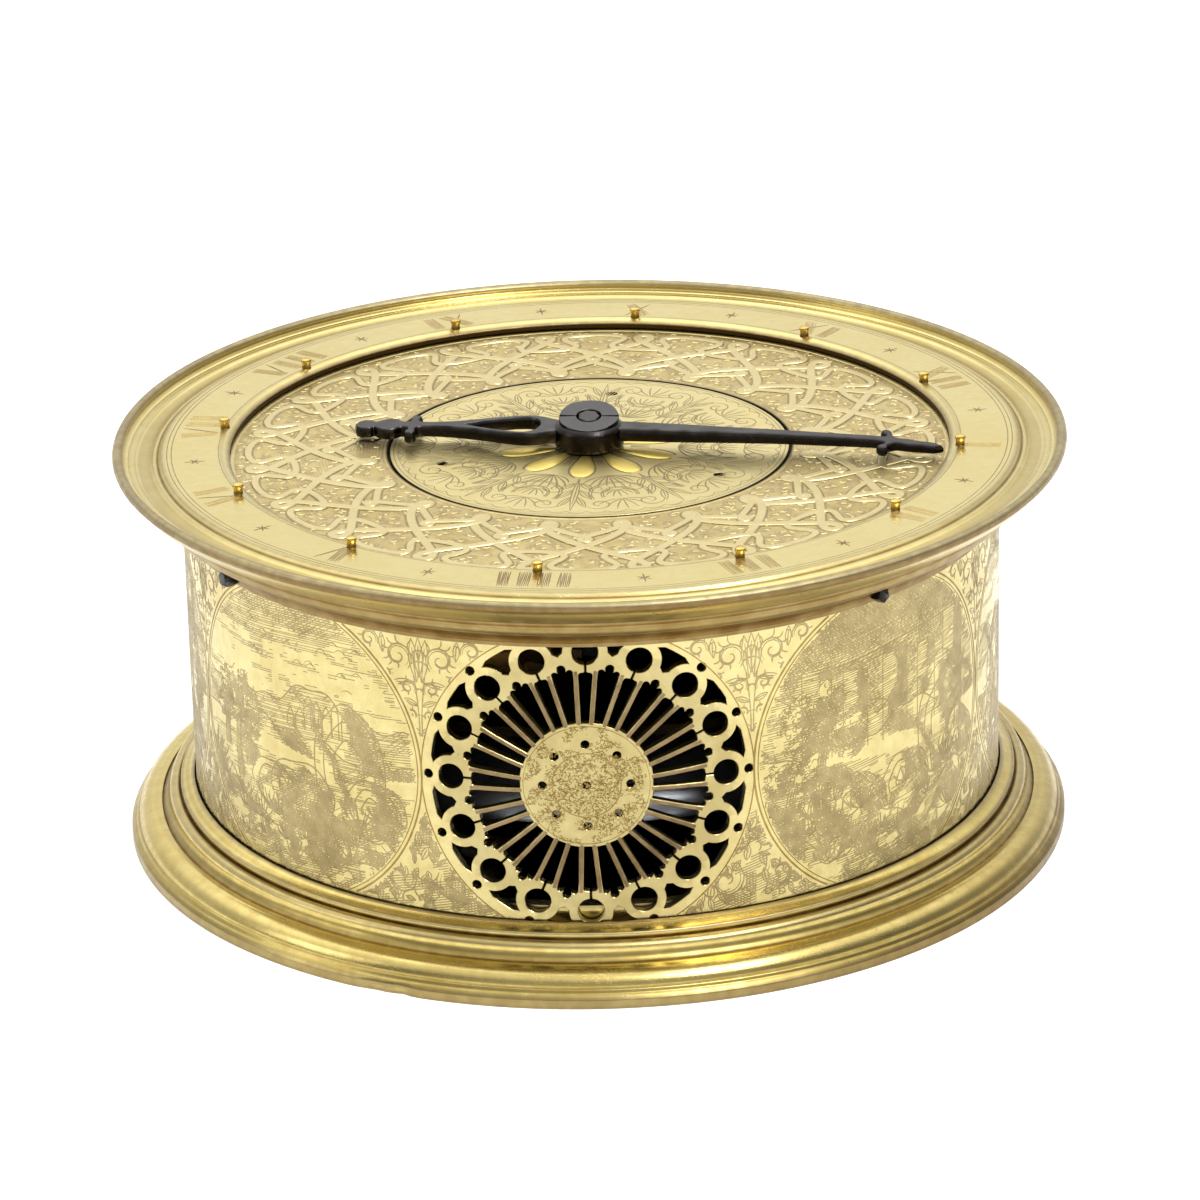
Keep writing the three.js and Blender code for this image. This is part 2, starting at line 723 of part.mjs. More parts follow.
function pillar() {
  const bottom = lowerPlateTop + clearance;
  const top = topPlateBottom - clearance;
  const collar = (top - bottom) * collarShare;
  return turned([
    [0, lowerPlateBottom], [pivotRadius, lowerPlateBottom], [pivotRadius, bottom], [pillarRadius, bottom],
    [pillarWaistRadius, bottom + collar], [pillarWaistRadius, top - collar], [pillarRadius, top],
    [pivotRadius, top], [pivotRadius, topPlateTop], [0, topPlateTop],
  ], arborSides);
}

// A gear outline with V-shaped teeth, one of them pointing along +X
function toothed(teeth, module) {
  const pitchRadius = (module * teeth) / 2;
  const halfPitch = clockTurn / teeth / 2;
  return Array.from({ length: teeth }, (_, i) => [
    polar(pitchRadius + toothTipShare * module, 2 * i * halfPitch),
    polar(pitchRadius - toothRootShare * module, (2 * i + 1) * halfPitch),
  ]).flat();
}

// The openings that leave a wheel its rim, its hub and crossed arms
function crossings(inner, outer) {
  const pitch = clockTurn / crossingCount;
  const edge = THREE.MathUtils.radToDeg(Math.asin(crossingWidth / 2 / outer));
  return Array.from({ length: crossingCount }, (_, i) => {
    const middle = (i + 1 / 2) * pitch;
    return [
      polar(inner, middle), polar(outer, middle - pitch / 2 + edge), polar(outer, middle),
      polar(outer, middle + pitch / 2 - edge),
    ];
  });
}

function wheel(teeth, module, boreRadius, thickness, openings = [], boreSides = arborSides) {
  const bore = circle(boreRadius + clearance, boreSides);
  return extruded(toothed(teeth, module), thickness, [bore, ...openings]);
}

function crossedWheel(teeth, module, boreRadius, thickness, boreSides) {
  const rimInner = (module * teeth) / 2 - toothRootShare * module - wheelRimWidth;
  return wheel(teeth, module, boreRadius, thickness, crossings(wheelHubRadius, rimInner), boreSides);
}

function pinion(leaves, module, bottom, length = wheelThickness + 2 * clearance) {
  return extruded(toothed(leaves, module), length).translate(0, 0, bottom);
}

// An arbor with its pinion, carried by pivots in the two plates
function arborWithPinion(leaves, module, pinionBottom, turn) {
  const bottom = lowerPlateTop + clearance;
  const top = topPlateBottom - clearance;
  const staff = turned([
    [0, lowerPlateBottom], [pivotRadius, lowerPlateBottom], [pivotRadius, bottom], [arborRadius, bottom],
    [arborRadius, top], [pivotRadius, top], [pivotRadius, topPlateTop], [0, topPlateTop],
  ], arborSides);
  return join(staff, pinion(leaves, module, pinionBottom).rotateZ(radians(turn)));
}

// An arbor that ends below in a winding square, and above in a pivot
function windingArbor(top) {
  const bottom = windingEnd + windingSquareLength;
  const half = windingSquareWidth / 2;
  const staff = turned([
    [0, bottom], [windingArborRadius, bottom], [windingArborRadius, topPlateBottom - clearance],
    [arborRadius, topPlateBottom - clearance], [arborRadius, top], [0, top],
  ], arborSides);
  const square = bar(-half, half, windingSquareWidth, windingEnd, windingSquareLength + overrun);
  return join(staff, square);
}

// A spring barrel with a raised boss, turned solid round its bore
function springBarrel(bore) {
  const top = secondWheelZ - 2 * clearance;
  const shoulder = top - barrelBossHeight;
  return turned([
    [bore, barrelZ], [barrelRadius, barrelZ], [barrelRadius, shoulder - barrelBossHeight],
    [barrelRadius - barrelBossHeight, shoulder], [barrelBossRadius, shoulder], [barrelBossRadius, top],
    [bore, top],
  ], barrelSides);
}

// The fusee, whose grooves rise as the cone narrows
function fusee() {
  const bore = windingArborRadius + clearance;
  const step = fuseeHeight / (fuseeGrooves + 1);
  const slope = (fuseeBaseRadius - fuseeTopRadius) / fuseeGrooves;
  const grooves = Array.from({ length: fuseeGrooves }, (_, i) => {
    const radius = fuseeBaseRadius - slope * i;
    const z = barrelZ + step * (i + 1);
    return [[radius, z - step / 2], [radius - fuseeGrooveDepth, z]];
  });
  return turned([
    [bore, barrelZ], [fuseeBaseRadius, barrelZ], ...grooves.flat(),
    [fuseeTopRadius, barrelZ + fuseeHeight], [bore, barrelZ + fuseeHeight],
  ], barrelSides);
}

// The straight run of gut between two parallel round bodies, at the outside of both
function gutLine(fromSpot, fromRadius, toSpot, toRadius, z) {
  const length = fromSpot.distanceTo(toSpot);
  const lean = THREE.MathUtils.radToDeg(Math.acos((fromRadius - toRadius) / length));
  const azimuth = azimuthTo(fromSpot, toSpot) + lean;
  const [start, end] = [polar(fromRadius, azimuth, fromSpot), polar(toRadius, azimuth, toSpot)];
  const at = (spot) => new THREE.Vector3(spot.x, spot.y, z);
  const path = new THREE.LineCurve3(at(start), at(end));
  const section = new THREE.Shape(circle(gutRadius, arborSides));
  return closed(new THREE.ExtrudeGeometry(section, { steps: 1, extrudePath: path, bevelEnabled: false }));
}

// A cup whose edge is cut into V-shaped teeth. They point along +Z, their tips are at z = 0 and
// one of them lies at +X.
function edgeToothedCup(teeth, wallRadius, wall, depth, toothDepth, web, bore) {
  const inner = wallRadius - wall;
  const cup = turned([
    [bore, -depth], [wallRadius, -depth], [wallRadius, 0], [inner, 0], [inner, web - depth],
    [bore, web - depth],
  ], teeth * 2);
  const place = cup.attributes.position;
  const halfPitch = Math.PI / teeth;
  for (let i = 0; i < place.count; i += 1) {
    const step = Math.round(Math.atan2(place.getY(i), place.getX(i)) / halfPitch);
    if (place.getZ(i) > -toothDepth && step % 2 !== 0) place.setZ(i, -toothDepth);
  }
  return cup;
}

// The bracket under the top plate whose two arms carry the crown arbor
function potence(axisZ) {
  const bottom = axisZ - potenceNose;
  const height = topPlateBottom - clearance - bottom;
  const block = bar(potenceStart, potenceEnd, potenceWidth, bottom, height);
  const gap = bar(potenceStart + potenceArm, potenceEnd - potenceArm, potenceWidth + overrun,
    bottom - overrun, height - potenceArm + overrun);
  const bore = rod(crownArborRadius + clearance, potenceStart - overrun, potenceEnd + overrun);
  return cut(block, [gap, bore.rotateY(Math.PI / 2).translate(0, 0, axisZ)]);
}

function crownArbor(axisZ) {
  const staff = rod(crownArborRadius, crownArborStart, crownArborEnd);
  const leaves = pinion(crownPinionLeaves, crownModule, crownPinionStart, crownPinionLength);
  return join(staff, leaves).rotateY(Math.PI / 2).translate(0, 0, axisZ);
}

// Verge staff with two pallets that face the crown wheel, which lies along -X
function vergeStaff(axisZ) {
  const lowerShoulder = cockTop + clearance;
  const upperShoulder = topPlateBottom - clearance;
  const staff = turned([
    [0, cockTop - cockThickness], [vergePivotRadius, cockTop - cockThickness],
    [vergePivotRadius, lowerShoulder], [vergeRadius, lowerShoulder], [vergeRadius, upperShoulder],
    [vergePivotRadius, upperShoulder], [vergePivotRadius, topPlateTop], [0, topPlateTop],
  ], arborSides);
  const pallets = [1, -1].map((side) => {
    const middle = axisZ + side * (crownWheelRadius - crownWheelWall);
    return bar(0, palletReach, palletThickness, middle - palletHeight / 2, palletHeight)
      .rotateZ(Math.PI - side * radians(palletAngle));
  });
  return join(staff, ...pallets);
}

function balanceWheel() {
  const inner = balanceRadius - balanceRimWidth;
  const edge = THREE.MathUtils.radToDeg(Math.asin(balanceArmWidth / 2 / inner));
  const sweep = clockTurn / 2 - 2 * edge;
  const opening = Array.from({ length: balanceSides + 1 }, (_, i) => (
    polar(inner, edge + (sweep * i) / balanceSides)));
  opening.push(polar(vergeRadius + balanceArmWidth, clockTurn / 4));
  const other = opening.map((spot) => new THREE.Vector2(-spot.x, -spot.y));
  return extruded(circle(balanceRadius, plateSides), balanceThickness, [
    circle(vergeRadius + clearance, arborSides), opening, other,
  ]);
}

// Cock below the balance. Its foot meets the lower plate outside the balance, along +X.
function balanceCock() {
  const footStart = balanceRadius + 2 * clearance;
  const footEnd = footStart + cockBlockLength;
  const bottom = cockTop - cockThickness;
  const side = [[-cockNoseWidth, cockNoseWidth / 2], [footEnd, cockWidth / 2]];
  const other = side.map(([x, y]) => [x, -y]).reverse();
  const outline = [...side, ...other].map(([x, y]) => new THREE.Vector2(x, y));
  const arm = extruded(outline, cockThickness, [circle(vergePivotRadius + clearance, arborSides)]);
  const foot = bar(footStart, footEnd, cockWidth, bottom, lowerPlateBottom - clearance - bottom);
  return join(arm.translate(0, 0, bottom), foot);
}

// Striking

function strikeGreatWheel() {
  const great = wheel(greatTeeth, greatModule, windingArborRadius, wheelThickness);
  const end = wheelThickness + liftingPinHeight;
  const pins = spotsRound(liftingPinCount, liftingCircleRadius).map((spot) => (
    rod(liftingPinRadius, wheelThickness / 2, end, liftingPinSides).translate(spot.x, spot.y, 0)));
  return join(great, ...pins);
}

// The air brake: a thin blade on a tube, in one piece with its arbor
function fly() {
  const bottom = lowerPlateTop + flyRise;
  const tube = rod(flyBossRadius, bottom, bottom + flyHeight);
  const blade = bar(-flyReach, flyReach, flyThickness, bottom, flyHeight);
  const staff = arborWithPinion(thirdPinionLeaves, secondModule, secondWheelZ - clearance, 0);
  return join(staff, tube, blade);
}

// The count wheel under the lower plate: a toothed wheel with a disc notched at each hour's blows
function countWheel() {
  const bore = lockingStudRadius + clearance;
  const toothedPart = wheel(lockingTeeth, lockingModule, lockingStudRadius, lockingThickness);
  const stepAngle = clockTurn / blowTotal;
  const half = THREE.MathUtils.radToDeg(lockingNotchWidth / 2 / lockingDiscRadius);
  let passed = 0;
  const outline = blows.flatMap((count) => {
    const start = passed * stepAngle;
    passed += count;
    const floor = lockingDiscRadius - lockingNotchDepth;
    const middle = start + (count * stepAngle) / 2;
    return [
      polar(floor, start), polar(lockingDiscRadius, start + half),
      polar(lockingDiscRadius, middle), polar(lockingDiscRadius, passed * stepAngle - half),
    ];
  });
  const disc = extruded(outline, lockingDiscThickness + lockingThickness / 2, [circle(bore, arborSides)]);
  return join(toothedPart, disc.translate(0, 0, -lockingDiscThickness)).translate(0, 0, lockingZ);
}

function lowerPlate(pivots, countSpot) {
  const plate = pierced(plateRadius, pivots, plateSides).translate(0, 0, lowerPlateBottom);
  const studEnd = lockingZ - lockingDiscThickness - clearance;
  const stud = turned([
    [0, studEnd - lockingDrop], [lockingStudHead, studEnd - lockingDrop], [lockingStudHead, studEnd],
    [lockingStudRadius, studEnd], [lockingStudRadius, lowerPlateBottom + plateThickness / 2],
    [0, lowerPlateBottom + plateThickness / 2],
  ], arborSides).translate(countSpot.x, countSpot.y, 0);
  return join(plate, stud);
}

// Bell and hammer

// An open bell, mouth down, with two holes for the winding arbors
function bell() {
  const top = bellRimHeight + bellHeight;
  const outside = moulding(bellShares, [0, top], [bellRadius, bellRimHeight]);
  const inside = moulding(bellShares, [0, top - bellWall], [bellRadius - bellLip, bellRimHeight]);
  const bore = bellScrewRadius + clearance;
  outside[0] = [bore, top];
  inside[0] = [bore, top - bellWall];
  const shell = turned([...outside, ...inside.reverse()], plateSides);
  const holes = windingSpots.map((spot) => (
    rod(windingHoleRadius, bellRimHeight, top + overrun, windingHoleSides).translate(spot.x, spot.y, 0)));
  return cut(shell, holes);
}

function bellPost() {
  const bottom = coverTop + clearance;
  const shoulder = bellRimHeight + bellHeight - bellWall - clearance;
  const end = bellRimHeight + bellHeight + bellNutHeight;
  return turned([
    [0, bottom], [bellPostFlangeRadius, bottom], [bellPostFlangeRadius, bottom + bellPostFlange],
    [bellPostRadius, bottom + bellPostFlange * 2], [bellPostRadius, shoulder], [bellScrewRadius, shoulder],
    [bellScrewRadius, end], [0, end],
  ], arborSides);
}

function bellNut() {
  const bottom = bellRimHeight + bellHeight + clearance;
  return ring(bellScrewRadius + clearance, bellNutRadius, bottom, bottom + bellNutHeight, arborSides);
}

// The hammer: an upright arbor, a tail towards the lifting pins and an arm with its head at the
// bell. The tail points along +X.
function hammer(tailLength, armTurn) {
  const armBottom = hammerHeadHeight - hammerArmThickness / 2;
  const tailZ = greatWheelZ + wheelThickness + clearance;
  const staff = turned([
    [0, armBottom], [hammerArborRadius, armBottom], [hammerArborRadius, topPlateBottom - clearance],
    [pivotRadius, topPlateBottom - clearance], [pivotRadius, topPlateTop], [0, topPlateTop],
  ], arborSides);
  const tail = bar(0, tailLength, hammerTailWidth, tailZ, liftingPinHeight);
  const arm = bar(0, hammerArmLength, hammerArmWidth, armBottom, hammerArmThickness);
  const head = rod(hammerHeadRadius, -hammerHeadLength / 2, hammerHeadLength / 2, pinSides)
    .rotateX(Math.PI / 2).translate(hammerArmLength, 0, hammerHeadHeight);
  return join(staff, tail, join(arm, head).rotateZ(radians(armTurn)));
}

// Places of the arbors
const centre = new THREE.Vector2(0, 0);
const spacing = (module, first, second) => (module * (first + second)) / 2;
const greatDistance = spacing(greatModule, greatTeeth, secondPinionLeaves);
const secondDistance = spacing(secondModule, secondTeeth, thirdPinionLeaves);
const fuseeSpot = polar(spacing(greatModule, hourTeeth, motionPinionLeaves), fuseeAzimuth);
const barrelSpot = polar(barrelDistance, barrelAzimuth);
const secondSpot = polar(greatDistance, secondAzimuth, fuseeSpot);
const contrateSpot = polar(secondDistance, contrateAzimuth, secondSpot);
const vergeSpot = polar(vergeDistance, crownAzimuth, contrateSpot);
const strikeSpot = polar(strikeDistance, strikeAzimuth);
const strikeSecondSpot = polar(greatDistance, strikeSecondAzimuth, strikeSpot);
const flySpot = polar(secondDistance, flyAzimuth, strikeSecondSpot);
const countDistance = spacing(lockingModule, lockingTeeth, lockingPinionLeaves);
const countSpot = polar(countDistance, lockingAzimuth, strikeSpot);
const hammerSpot = polar(hammerDistance, hammerAzimuth);
const windingSpots = [fuseeSpot, strikeSpot];

// A wheel's tooth points at its mate, and the mate has a gap there
const halfPitchOf = (teeth) => clockTurn / teeth / 2;
const turnAway = (from, to, teeth) => azimuthTo(from, to) + halfPitchOf(teeth);

function addCase() {
  addPiece('base_ring', baseRing(), gilt);
  addPiece('bottom_cover', bottomCover(), gilt, centre, coverTop - coverThickness);
  addPiece('drum_band', drumBand(), gilt);
  addPiece('rim_ring', rimRing(), gilt);
  retainingPinAzimuths.forEach((azimuth, i) => {
    const end = sleeveRadius + skirtWall + retainingPinProud;
    const pin = retainingPinAlong(azimuth, retainingPinRadius, end - retainingPinLength, end);
    addPiece(`retaining_pin_${i + 1}`, pin, blackSteel);
  });
}

function addDial() {
  addPiece('dial_plate', dialPlate(), gilt);
  addPiece('alarm_disc', alarmDisc(), gilt);
  for (let hour = 1; hour <= hours; hour += 1) {
    const azimuth = firstHourAzimuth - ((hour - 1) * clockTurn) / hours;
    const name = `touch_pin_${String(hour).padStart(2, '0')}`;
    addPiece(name, touchPin(), gilt, polar(touchCircleRadius, azimuth), chapterHeight);
  }
}

function addHand() {
  addPiece('hour_hand', hourHand(), blackSteel, centre, handZ, handAzimuth);
  addPiece('hand_cap', handCap(), blackSteel, centre, capZ, handAzimuth);
  const shoulder = topPlateTop + clearance;
  const end = capZ + capThickness;
  addPiece('hour_arbor', turned([
    [0, topPlateBottom], [pivotRadius, topPlateBottom], [pivotRadius, shoulder],
    [centreArborRadius, shoulder], [centreArborRadius, end], [0, end],
  ], pinSides), steel);
  const hourWheel = crossedWheel(hourTeeth, greatModule, centreArborRadius, motionWheelThickness, pinSides);
  addPiece('hour_wheel', hourWheel, brass, centre, motionWheelZ, azimuthTo(centre, fuseeSpot));
}

function addPlates() {
  const feet = dialLegAzimuths.map((azimuth) => polar(dialLegCircleRadius, azimuth));
  const pillars = pillarAzimuths.map((azimuth) => polar(pillarCircleRadius, azimuth));
  const small = [secondSpot, contrateSpot, strikeSecondSpot, flySpot];
  const lower = [
    ...plateHoles(pivotRadius, [...small, ...pillars, barrelSpot]),
    ...plateHoles(windingArborRadius, windingSpots),
    ...plateHoles(vergeRadius, [vergeSpot]), ...plateHoles(hammerArborRadius, [hammerSpot]),
  ];
  const upper = [
    ...plateHoles(pivotRadius, [...small, ...pillars, barrelSpot, hammerSpot, centre]),
    ...plateHoles(arborRadius, windingSpots), ...plateHoles(vergePivotRadius, [vergeSpot]),
    ...plateHoles(dialTenonRadius, feet),
  ];
  addPiece('lower_plate', lowerPlate(lower, countSpot), brass);
  addPiece('top_plate', pierced(plateRadius, upper, plateSides), brass, centre, topPlateBottom);
  pillars.forEach((spot, i) => addPiece(`pillar_${i + 1}`, pillar(), steel, spot));
}

function addGoingTrain() {
  const great = wheel(greatTeeth, greatModule, windingArborRadius, wheelThickness);
  addPiece('going_great_wheel', great, brass, fuseeSpot, greatWheelZ, azimuthTo(fuseeSpot, secondSpot));
  addPiece('fusee', fusee(), brass, fuseeSpot);
  addPiece('fusee_arbor', windingArbor(dialUnderside - clearance), steel, fuseeSpot);
  const motionPinion = wheel(motionPinionLeaves, greatModule, arborRadius, motionPinionLength);
  addPiece('motion_pinion', motionPinion, steel, fuseeSpot, motionWheelZ,
    turnAway(fuseeSpot, centre, motionPinionLeaves));
  const barrelArbor = turned([
    [0, lowerPlateBottom], [pivotRadius, lowerPlateBottom], [pivotRadius, lowerPlateTop + clearance],
    [windingArborRadius, lowerPlateTop + clearance], [windingArborRadius, topPlateBottom - clearance],
    [pivotRadius, topPlateBottom - clearance], [pivotRadius, topPlateTop], [0, topPlateTop],
  ], arborSides);
  addPiece('barrel_arbor', barrelArbor, steel, barrelSpot);
  addPiece('going_barrel', springBarrel(windingArborRadius + clearance), brass, barrelSpot);
  const gutZ = barrelZ + fuseeHeight / 2;
  const fuseeMiddle = (fuseeBaseRadius + fuseeTopRadius) / 2 + fuseeGrooveDepth;
  const stand = gutRadius + clearance;
  const gutShape = gutLine(barrelSpot, barrelRadius + stand, fuseeSpot, fuseeMiddle + stand, gutZ);
  addPiece('gut_line', gutShape, gut);
  const secondArbor = arborWithPinion(secondPinionLeaves, greatModule, greatWheelZ - clearance,
    turnAway(secondSpot, fuseeSpot, secondPinionLeaves));
  addPiece('second_arbor', secondArbor, steel, secondSpot);
  const second = crossedWheel(secondTeeth, secondModule, arborRadius, wheelThickness);
  addPiece('second_wheel', second, brass, secondSpot, secondWheelZ, azimuthTo(secondSpot, contrateSpot));
}

function addEscapement() {
  const contrateRadius = (crownModule * contrateTeeth) / 2 + contrateWall / 2;
  const toothDepth = (toothTipShare + toothRootShare) * crownModule;
  const axisZ = contrateTip - toothTipShare * crownModule + (crownModule * crownPinionLeaves) / 2;
  const contrateArbor = arborWithPinion(thirdPinionLeaves, secondModule, secondWheelZ - clearance,
    turnAway(contrateSpot, secondSpot, thirdPinionLeaves));
  addPiece('contrate_arbor', contrateArbor, steel, contrateSpot);
  const contrate = edgeToothedCup(contrateTeeth, contrateRadius, contrateWall, contrateDepth, toothDepth,
    contrateWeb, arborRadius + clearance);
  const contrateTurn = crownAzimuth + halfPitchOf(contrateTeeth);
  addPiece('contrate_wheel', contrate, brass, contrateSpot, contrateTip, contrateTurn);
  const line = new THREE.Group();
  line.position.set(contrateSpot.x, contrateSpot.y, 0);
  line.rotation.z = radians(crownAzimuth);
  clock.add(line);
  const addToLine = (name, geometry, material) => addPiece(name, geometry, material, centre, 0, 0, line);
  addToLine('potence', potence(axisZ), brass);
  addToLine('crown_arbor', crownArbor(axisZ), steel);
  const crown = edgeToothedCup(crownTeeth, crownWheelRadius, crownWheelWall, crownWheelDepth,
    crownToothDepth, crownWebThickness, crownArborRadius + clearance).rotateY(Math.PI / 2);
  addToLine('crown_wheel', crown.translate(crownWheelReach, 0, axisZ), brass);
  addToLine('verge_staff', vergeStaff(axisZ).translate(vergeDistance, 0, 0), steel);
  addPiece('balance_wheel', balanceWheel(), steel, vergeSpot, balanceZ, crownAzimuth);
  addPiece('balance_cock', balanceCock(), brass, vergeSpot, 0, azimuthTo(centre, vergeSpot));
}

function addStrikingTrain() {
  const greatTurn = azimuthTo(strikeSpot, strikeSecondSpot);
  addPiece('strike_great_wheel', strikeGreatWheel(), brass, strikeSpot, greatWheelZ, greatTurn);
  addPiece('strike_barrel', springBarrel(windingArborRadius + clearance), brass, strikeSpot);
  const countLength = lockingThickness + 2 * clearance;
  const countPinion = pinion(lockingPinionLeaves, lockingModule, lockingZ - clearance, countLength);
  countPinion.rotateZ(radians(turnAway(strikeSpot, countSpot, lockingPinionLeaves)));
  addPiece('strike_arbor', join(windingArbor(topPlateTop), countPinion), steel, strikeSpot);
  const secondArbor = arborWithPinion(secondPinionLeaves, greatModule, greatWheelZ - clearance,
    turnAway(strikeSecondSpot, strikeSpot, secondPinionLeaves));
  addPiece('strike_second_arbor', secondArbor, steel, strikeSecondSpot);
  const second = crossedWheel(secondTeeth, secondModule, arborRadius, wheelThickness);
  const secondTurn = azimuthTo(strikeSecondSpot, flySpot);
  addPiece('strike_second_wheel', second, brass, strikeSecondSpot, secondWheelZ, secondTurn);
  addPiece('fly', fly(), steel, flySpot, 0, turnAway(flySpot, strikeSecondSpot, thirdPinionLeaves));
  addPiece('count_wheel', countWheel(), brass, countSpot, 0, azimuthTo(countSpot, strikeSpot));
}

// Where the resting hammer's head stands, a gap outside the bell's lip
function hammerHeadSpot() {
  const reach = bellRadius + hammerGap + hammerHeadLength / 2;
  const inward = Math.acos((hammerDistance ** 2 + hammerArmLength ** 2 - reach ** 2)
    / (2 * hammerDistance * hammerArmLength));
  const armAzimuth = hammerAzimuth + clockTurn / 2 - THREE.MathUtils.radToDeg(inward);
  return polar(hammerArmLength, armAzimuth, hammerSpot);
}

function addBellAndHammer() {
  addPiece('bell', bell(), bellMetal);
  addPiece('bell_post', bellPost(), steel);
  addPiece('bell_nut', bellNut(), steel);
  const tailTurn = azimuthTo(hammerSpot, strikeSpot);
  const pinReach = liftingCircleRadius + liftingPinRadius + clearance;
  const tailLength = hammerSpot.distanceTo(strikeSpot) - pinReach;
  const armTurn = azimuthTo(hammerSpot, hammerHeadSpot());
  addPiece('hammer', hammer(tailLength, armTurn - tailTurn), steel, hammerSpot, 0, tailTurn);
}

addCase();
addDial();
addHand();
addPlates();
addGoingTrain();
addEscapement();
addStrikingTrain();
addBellAndHammer();

export default clock;
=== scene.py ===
"""Looks of a round table clock of gilt brass with one hand of blackened steel.

Each part of the clock is a class whose fields hold its sizes, and whose build method makes its pieces.

Lengths are millimetres until a mesh is written, and the clock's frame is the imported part's:
the origin is the middle of the base's underside, +Z is up and the pierced rosette faces -Y.
On the drum a place is (s, z): s runs along the wall from the rosette's middle line towards +X.

BAYS counts the round fields on the drum, the rosette among them. WALL_SHOWN holds the heights between
which rim and base leave the drum's wall open to view. The retaining pins and the winding holes pass
through several pieces, so their places stand here too.
"""

import logging
import math
from collections.abc import Callable, Iterable
from dataclasses import dataclass, field
from enum import Enum

import bpy
import numpy as np
from mathutils import Matrix
from mathutils.geometry import delaunay_2d_cdt

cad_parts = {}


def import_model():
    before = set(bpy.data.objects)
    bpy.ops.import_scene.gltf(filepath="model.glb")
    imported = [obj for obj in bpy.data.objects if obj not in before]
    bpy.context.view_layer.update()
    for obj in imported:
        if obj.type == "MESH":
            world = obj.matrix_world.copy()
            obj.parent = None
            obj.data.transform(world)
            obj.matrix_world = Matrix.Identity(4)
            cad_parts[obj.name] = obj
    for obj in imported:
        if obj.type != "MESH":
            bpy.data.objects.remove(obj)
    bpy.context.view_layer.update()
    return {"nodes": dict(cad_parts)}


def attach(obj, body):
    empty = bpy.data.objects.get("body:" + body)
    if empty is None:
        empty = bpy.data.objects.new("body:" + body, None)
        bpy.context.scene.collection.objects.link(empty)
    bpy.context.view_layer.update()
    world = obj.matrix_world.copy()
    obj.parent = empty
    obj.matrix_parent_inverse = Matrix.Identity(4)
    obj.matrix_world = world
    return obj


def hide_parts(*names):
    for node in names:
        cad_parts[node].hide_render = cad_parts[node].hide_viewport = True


Array = np.ndarray
Socket = bpy.types.NodeSocket
Colour = tuple[float, float, float]
Place = Callable[[Array, Array], Array]

LOG = logging.getLogger("clock")
METRES = 0.001
TURN = 2 * math.pi
NOTHING = 1e-12
GRAIN_HEIGHT = 0.04

BAYS = 8
WALL_SHOWN = (9.7, 54.1)
PIN_AZIMUTHS = (-144.7, -48.1, 35.3, 131.9)
PIN_HEIGHT = 55.55
WINDING_SPOTS = ((-17.3553, -20.6832), (23.9679, 26.9954))
WINDING_RADIUS = 4.5


# Shells: points and faces as whole arrays


@dataclass
class Shell:
    """Skins of one piece: points in millimetres, faces, and at each point its wear, in places a painted sheen, and its
    dirt, in places painted shade.
    """

    points: Array
    quads: Array = field(default_factory=lambda: np.zeros((0, 4), int))
    tris: Array = field(default_factory=lambda: np.zeros((0, 3), int))
    wear_and_sheen: Array | None = None
    dirt_and_shade: Array | None = None

    def marks(self) -> tuple[Array, Array]:
        """Wear and dirt at each point, in places painted sheen and painted shade, nothing where they weren't given."""
        none = np.zeros(len(self.points))
        return (none if self.wear_and_sheen is None else self.wear_and_sheen, none if self.dirt_and_shade is None else self.dirt_and_shade)

    def across(self) -> Array:
        """Distance of each point from the axis."""
        return np.hypot(self.points[:, 0], self.points[:, 1])

    def moved(self, matrix: Array) -> "Shell":
        """The shell turned and moved.

        Args:
            matrix: Four by four numbers, in millimetres.

        Returns:
            A new shell.
        """
        points = self.points @ matrix[:3, :3].T + matrix[:3, 3]
        return Shell(points, self.quads, self.tris, self.wear_and_sheen, self.dirt_and_shade)

    def compact(self) -> "Shell":
        """The shell without the points that no face uses.

        Returns:
            A new shell, its faces renumbered.
        """
        used = np.unique(np.concatenate([self.quads.ravel(), self.tris.ravel()]))
        index = np.zeros(len(self.points), int)
        index[used] = np.arange(len(used))
        wear_and_sheen, dirt_and_shade = self.marks()
        return Shell(self.points[used], index[self.quads], index[self.tris], wear_and_sheen[used], dirt_and_shade[used])

    def outward(self) -> "Shell":
        """The shell with its faces turned outwards: the sum of the signed volumes under them is positive.

        Returns:
            This shell.
        """
        corners = np.vstack([self.tris, self.quads[:, [0, 1, 2]], self.quads[:, [0, 2, 3]]])
        a, b, c = (self.points[corners[:, k]] for k in range(3))
        if np.einsum("ij,ij->i", a, np.cross(b, c)).sum() < 0:
            self.quads, self.tris = self.quads[:, ::-1], self.tris[:, ::-1]
        return self


def rays(angle: Array) -> Array:
    """Unit vectors at angles: their cosine and sine in a last axis."""
    return np.stack([np.cos(angle), np.sin(angle)], -1)


def turn_matrix(angle: float) -> Array:
    """The matrix that turns rows of flat points counter-clockwise by an angle when they are multiplied by it."""
    return np.array([[math.cos(angle), math.sin(angle)], [-math.sin(angle), math.cos(angle)]])


def leftwards(way: Array) -> Array:
    """Flat vectors turned a quarter turn to the left."""
    return np.stack([-way[..., 1], way[..., 0]], -1)


def joined(shells: Iterable[Shell]) -> Shell:
    """All shells as one, each with its own points.

    Args:
        shells: The shells.

    Returns:
        One shell.
    """
    parts = list(shells)
    starts = np.cumsum([0] + [len(part.points) for part in parts[:-1]])
    marks = [part.marks() for part in parts]
    return Shell(
        np.vstack([part.points for part in parts]),
        np.vstack([part.quads + start for part, start in zip(parts, starts)]),
        np.vstack([part.tris + start for part, start in zip(parts, starts)]),
        np.concatenate([wear_and_sheen for wear_and_sheen, _ in marks]),
        np.concatenate([dirt_and_shade for _, dirt_and_shade in marks]),
    )


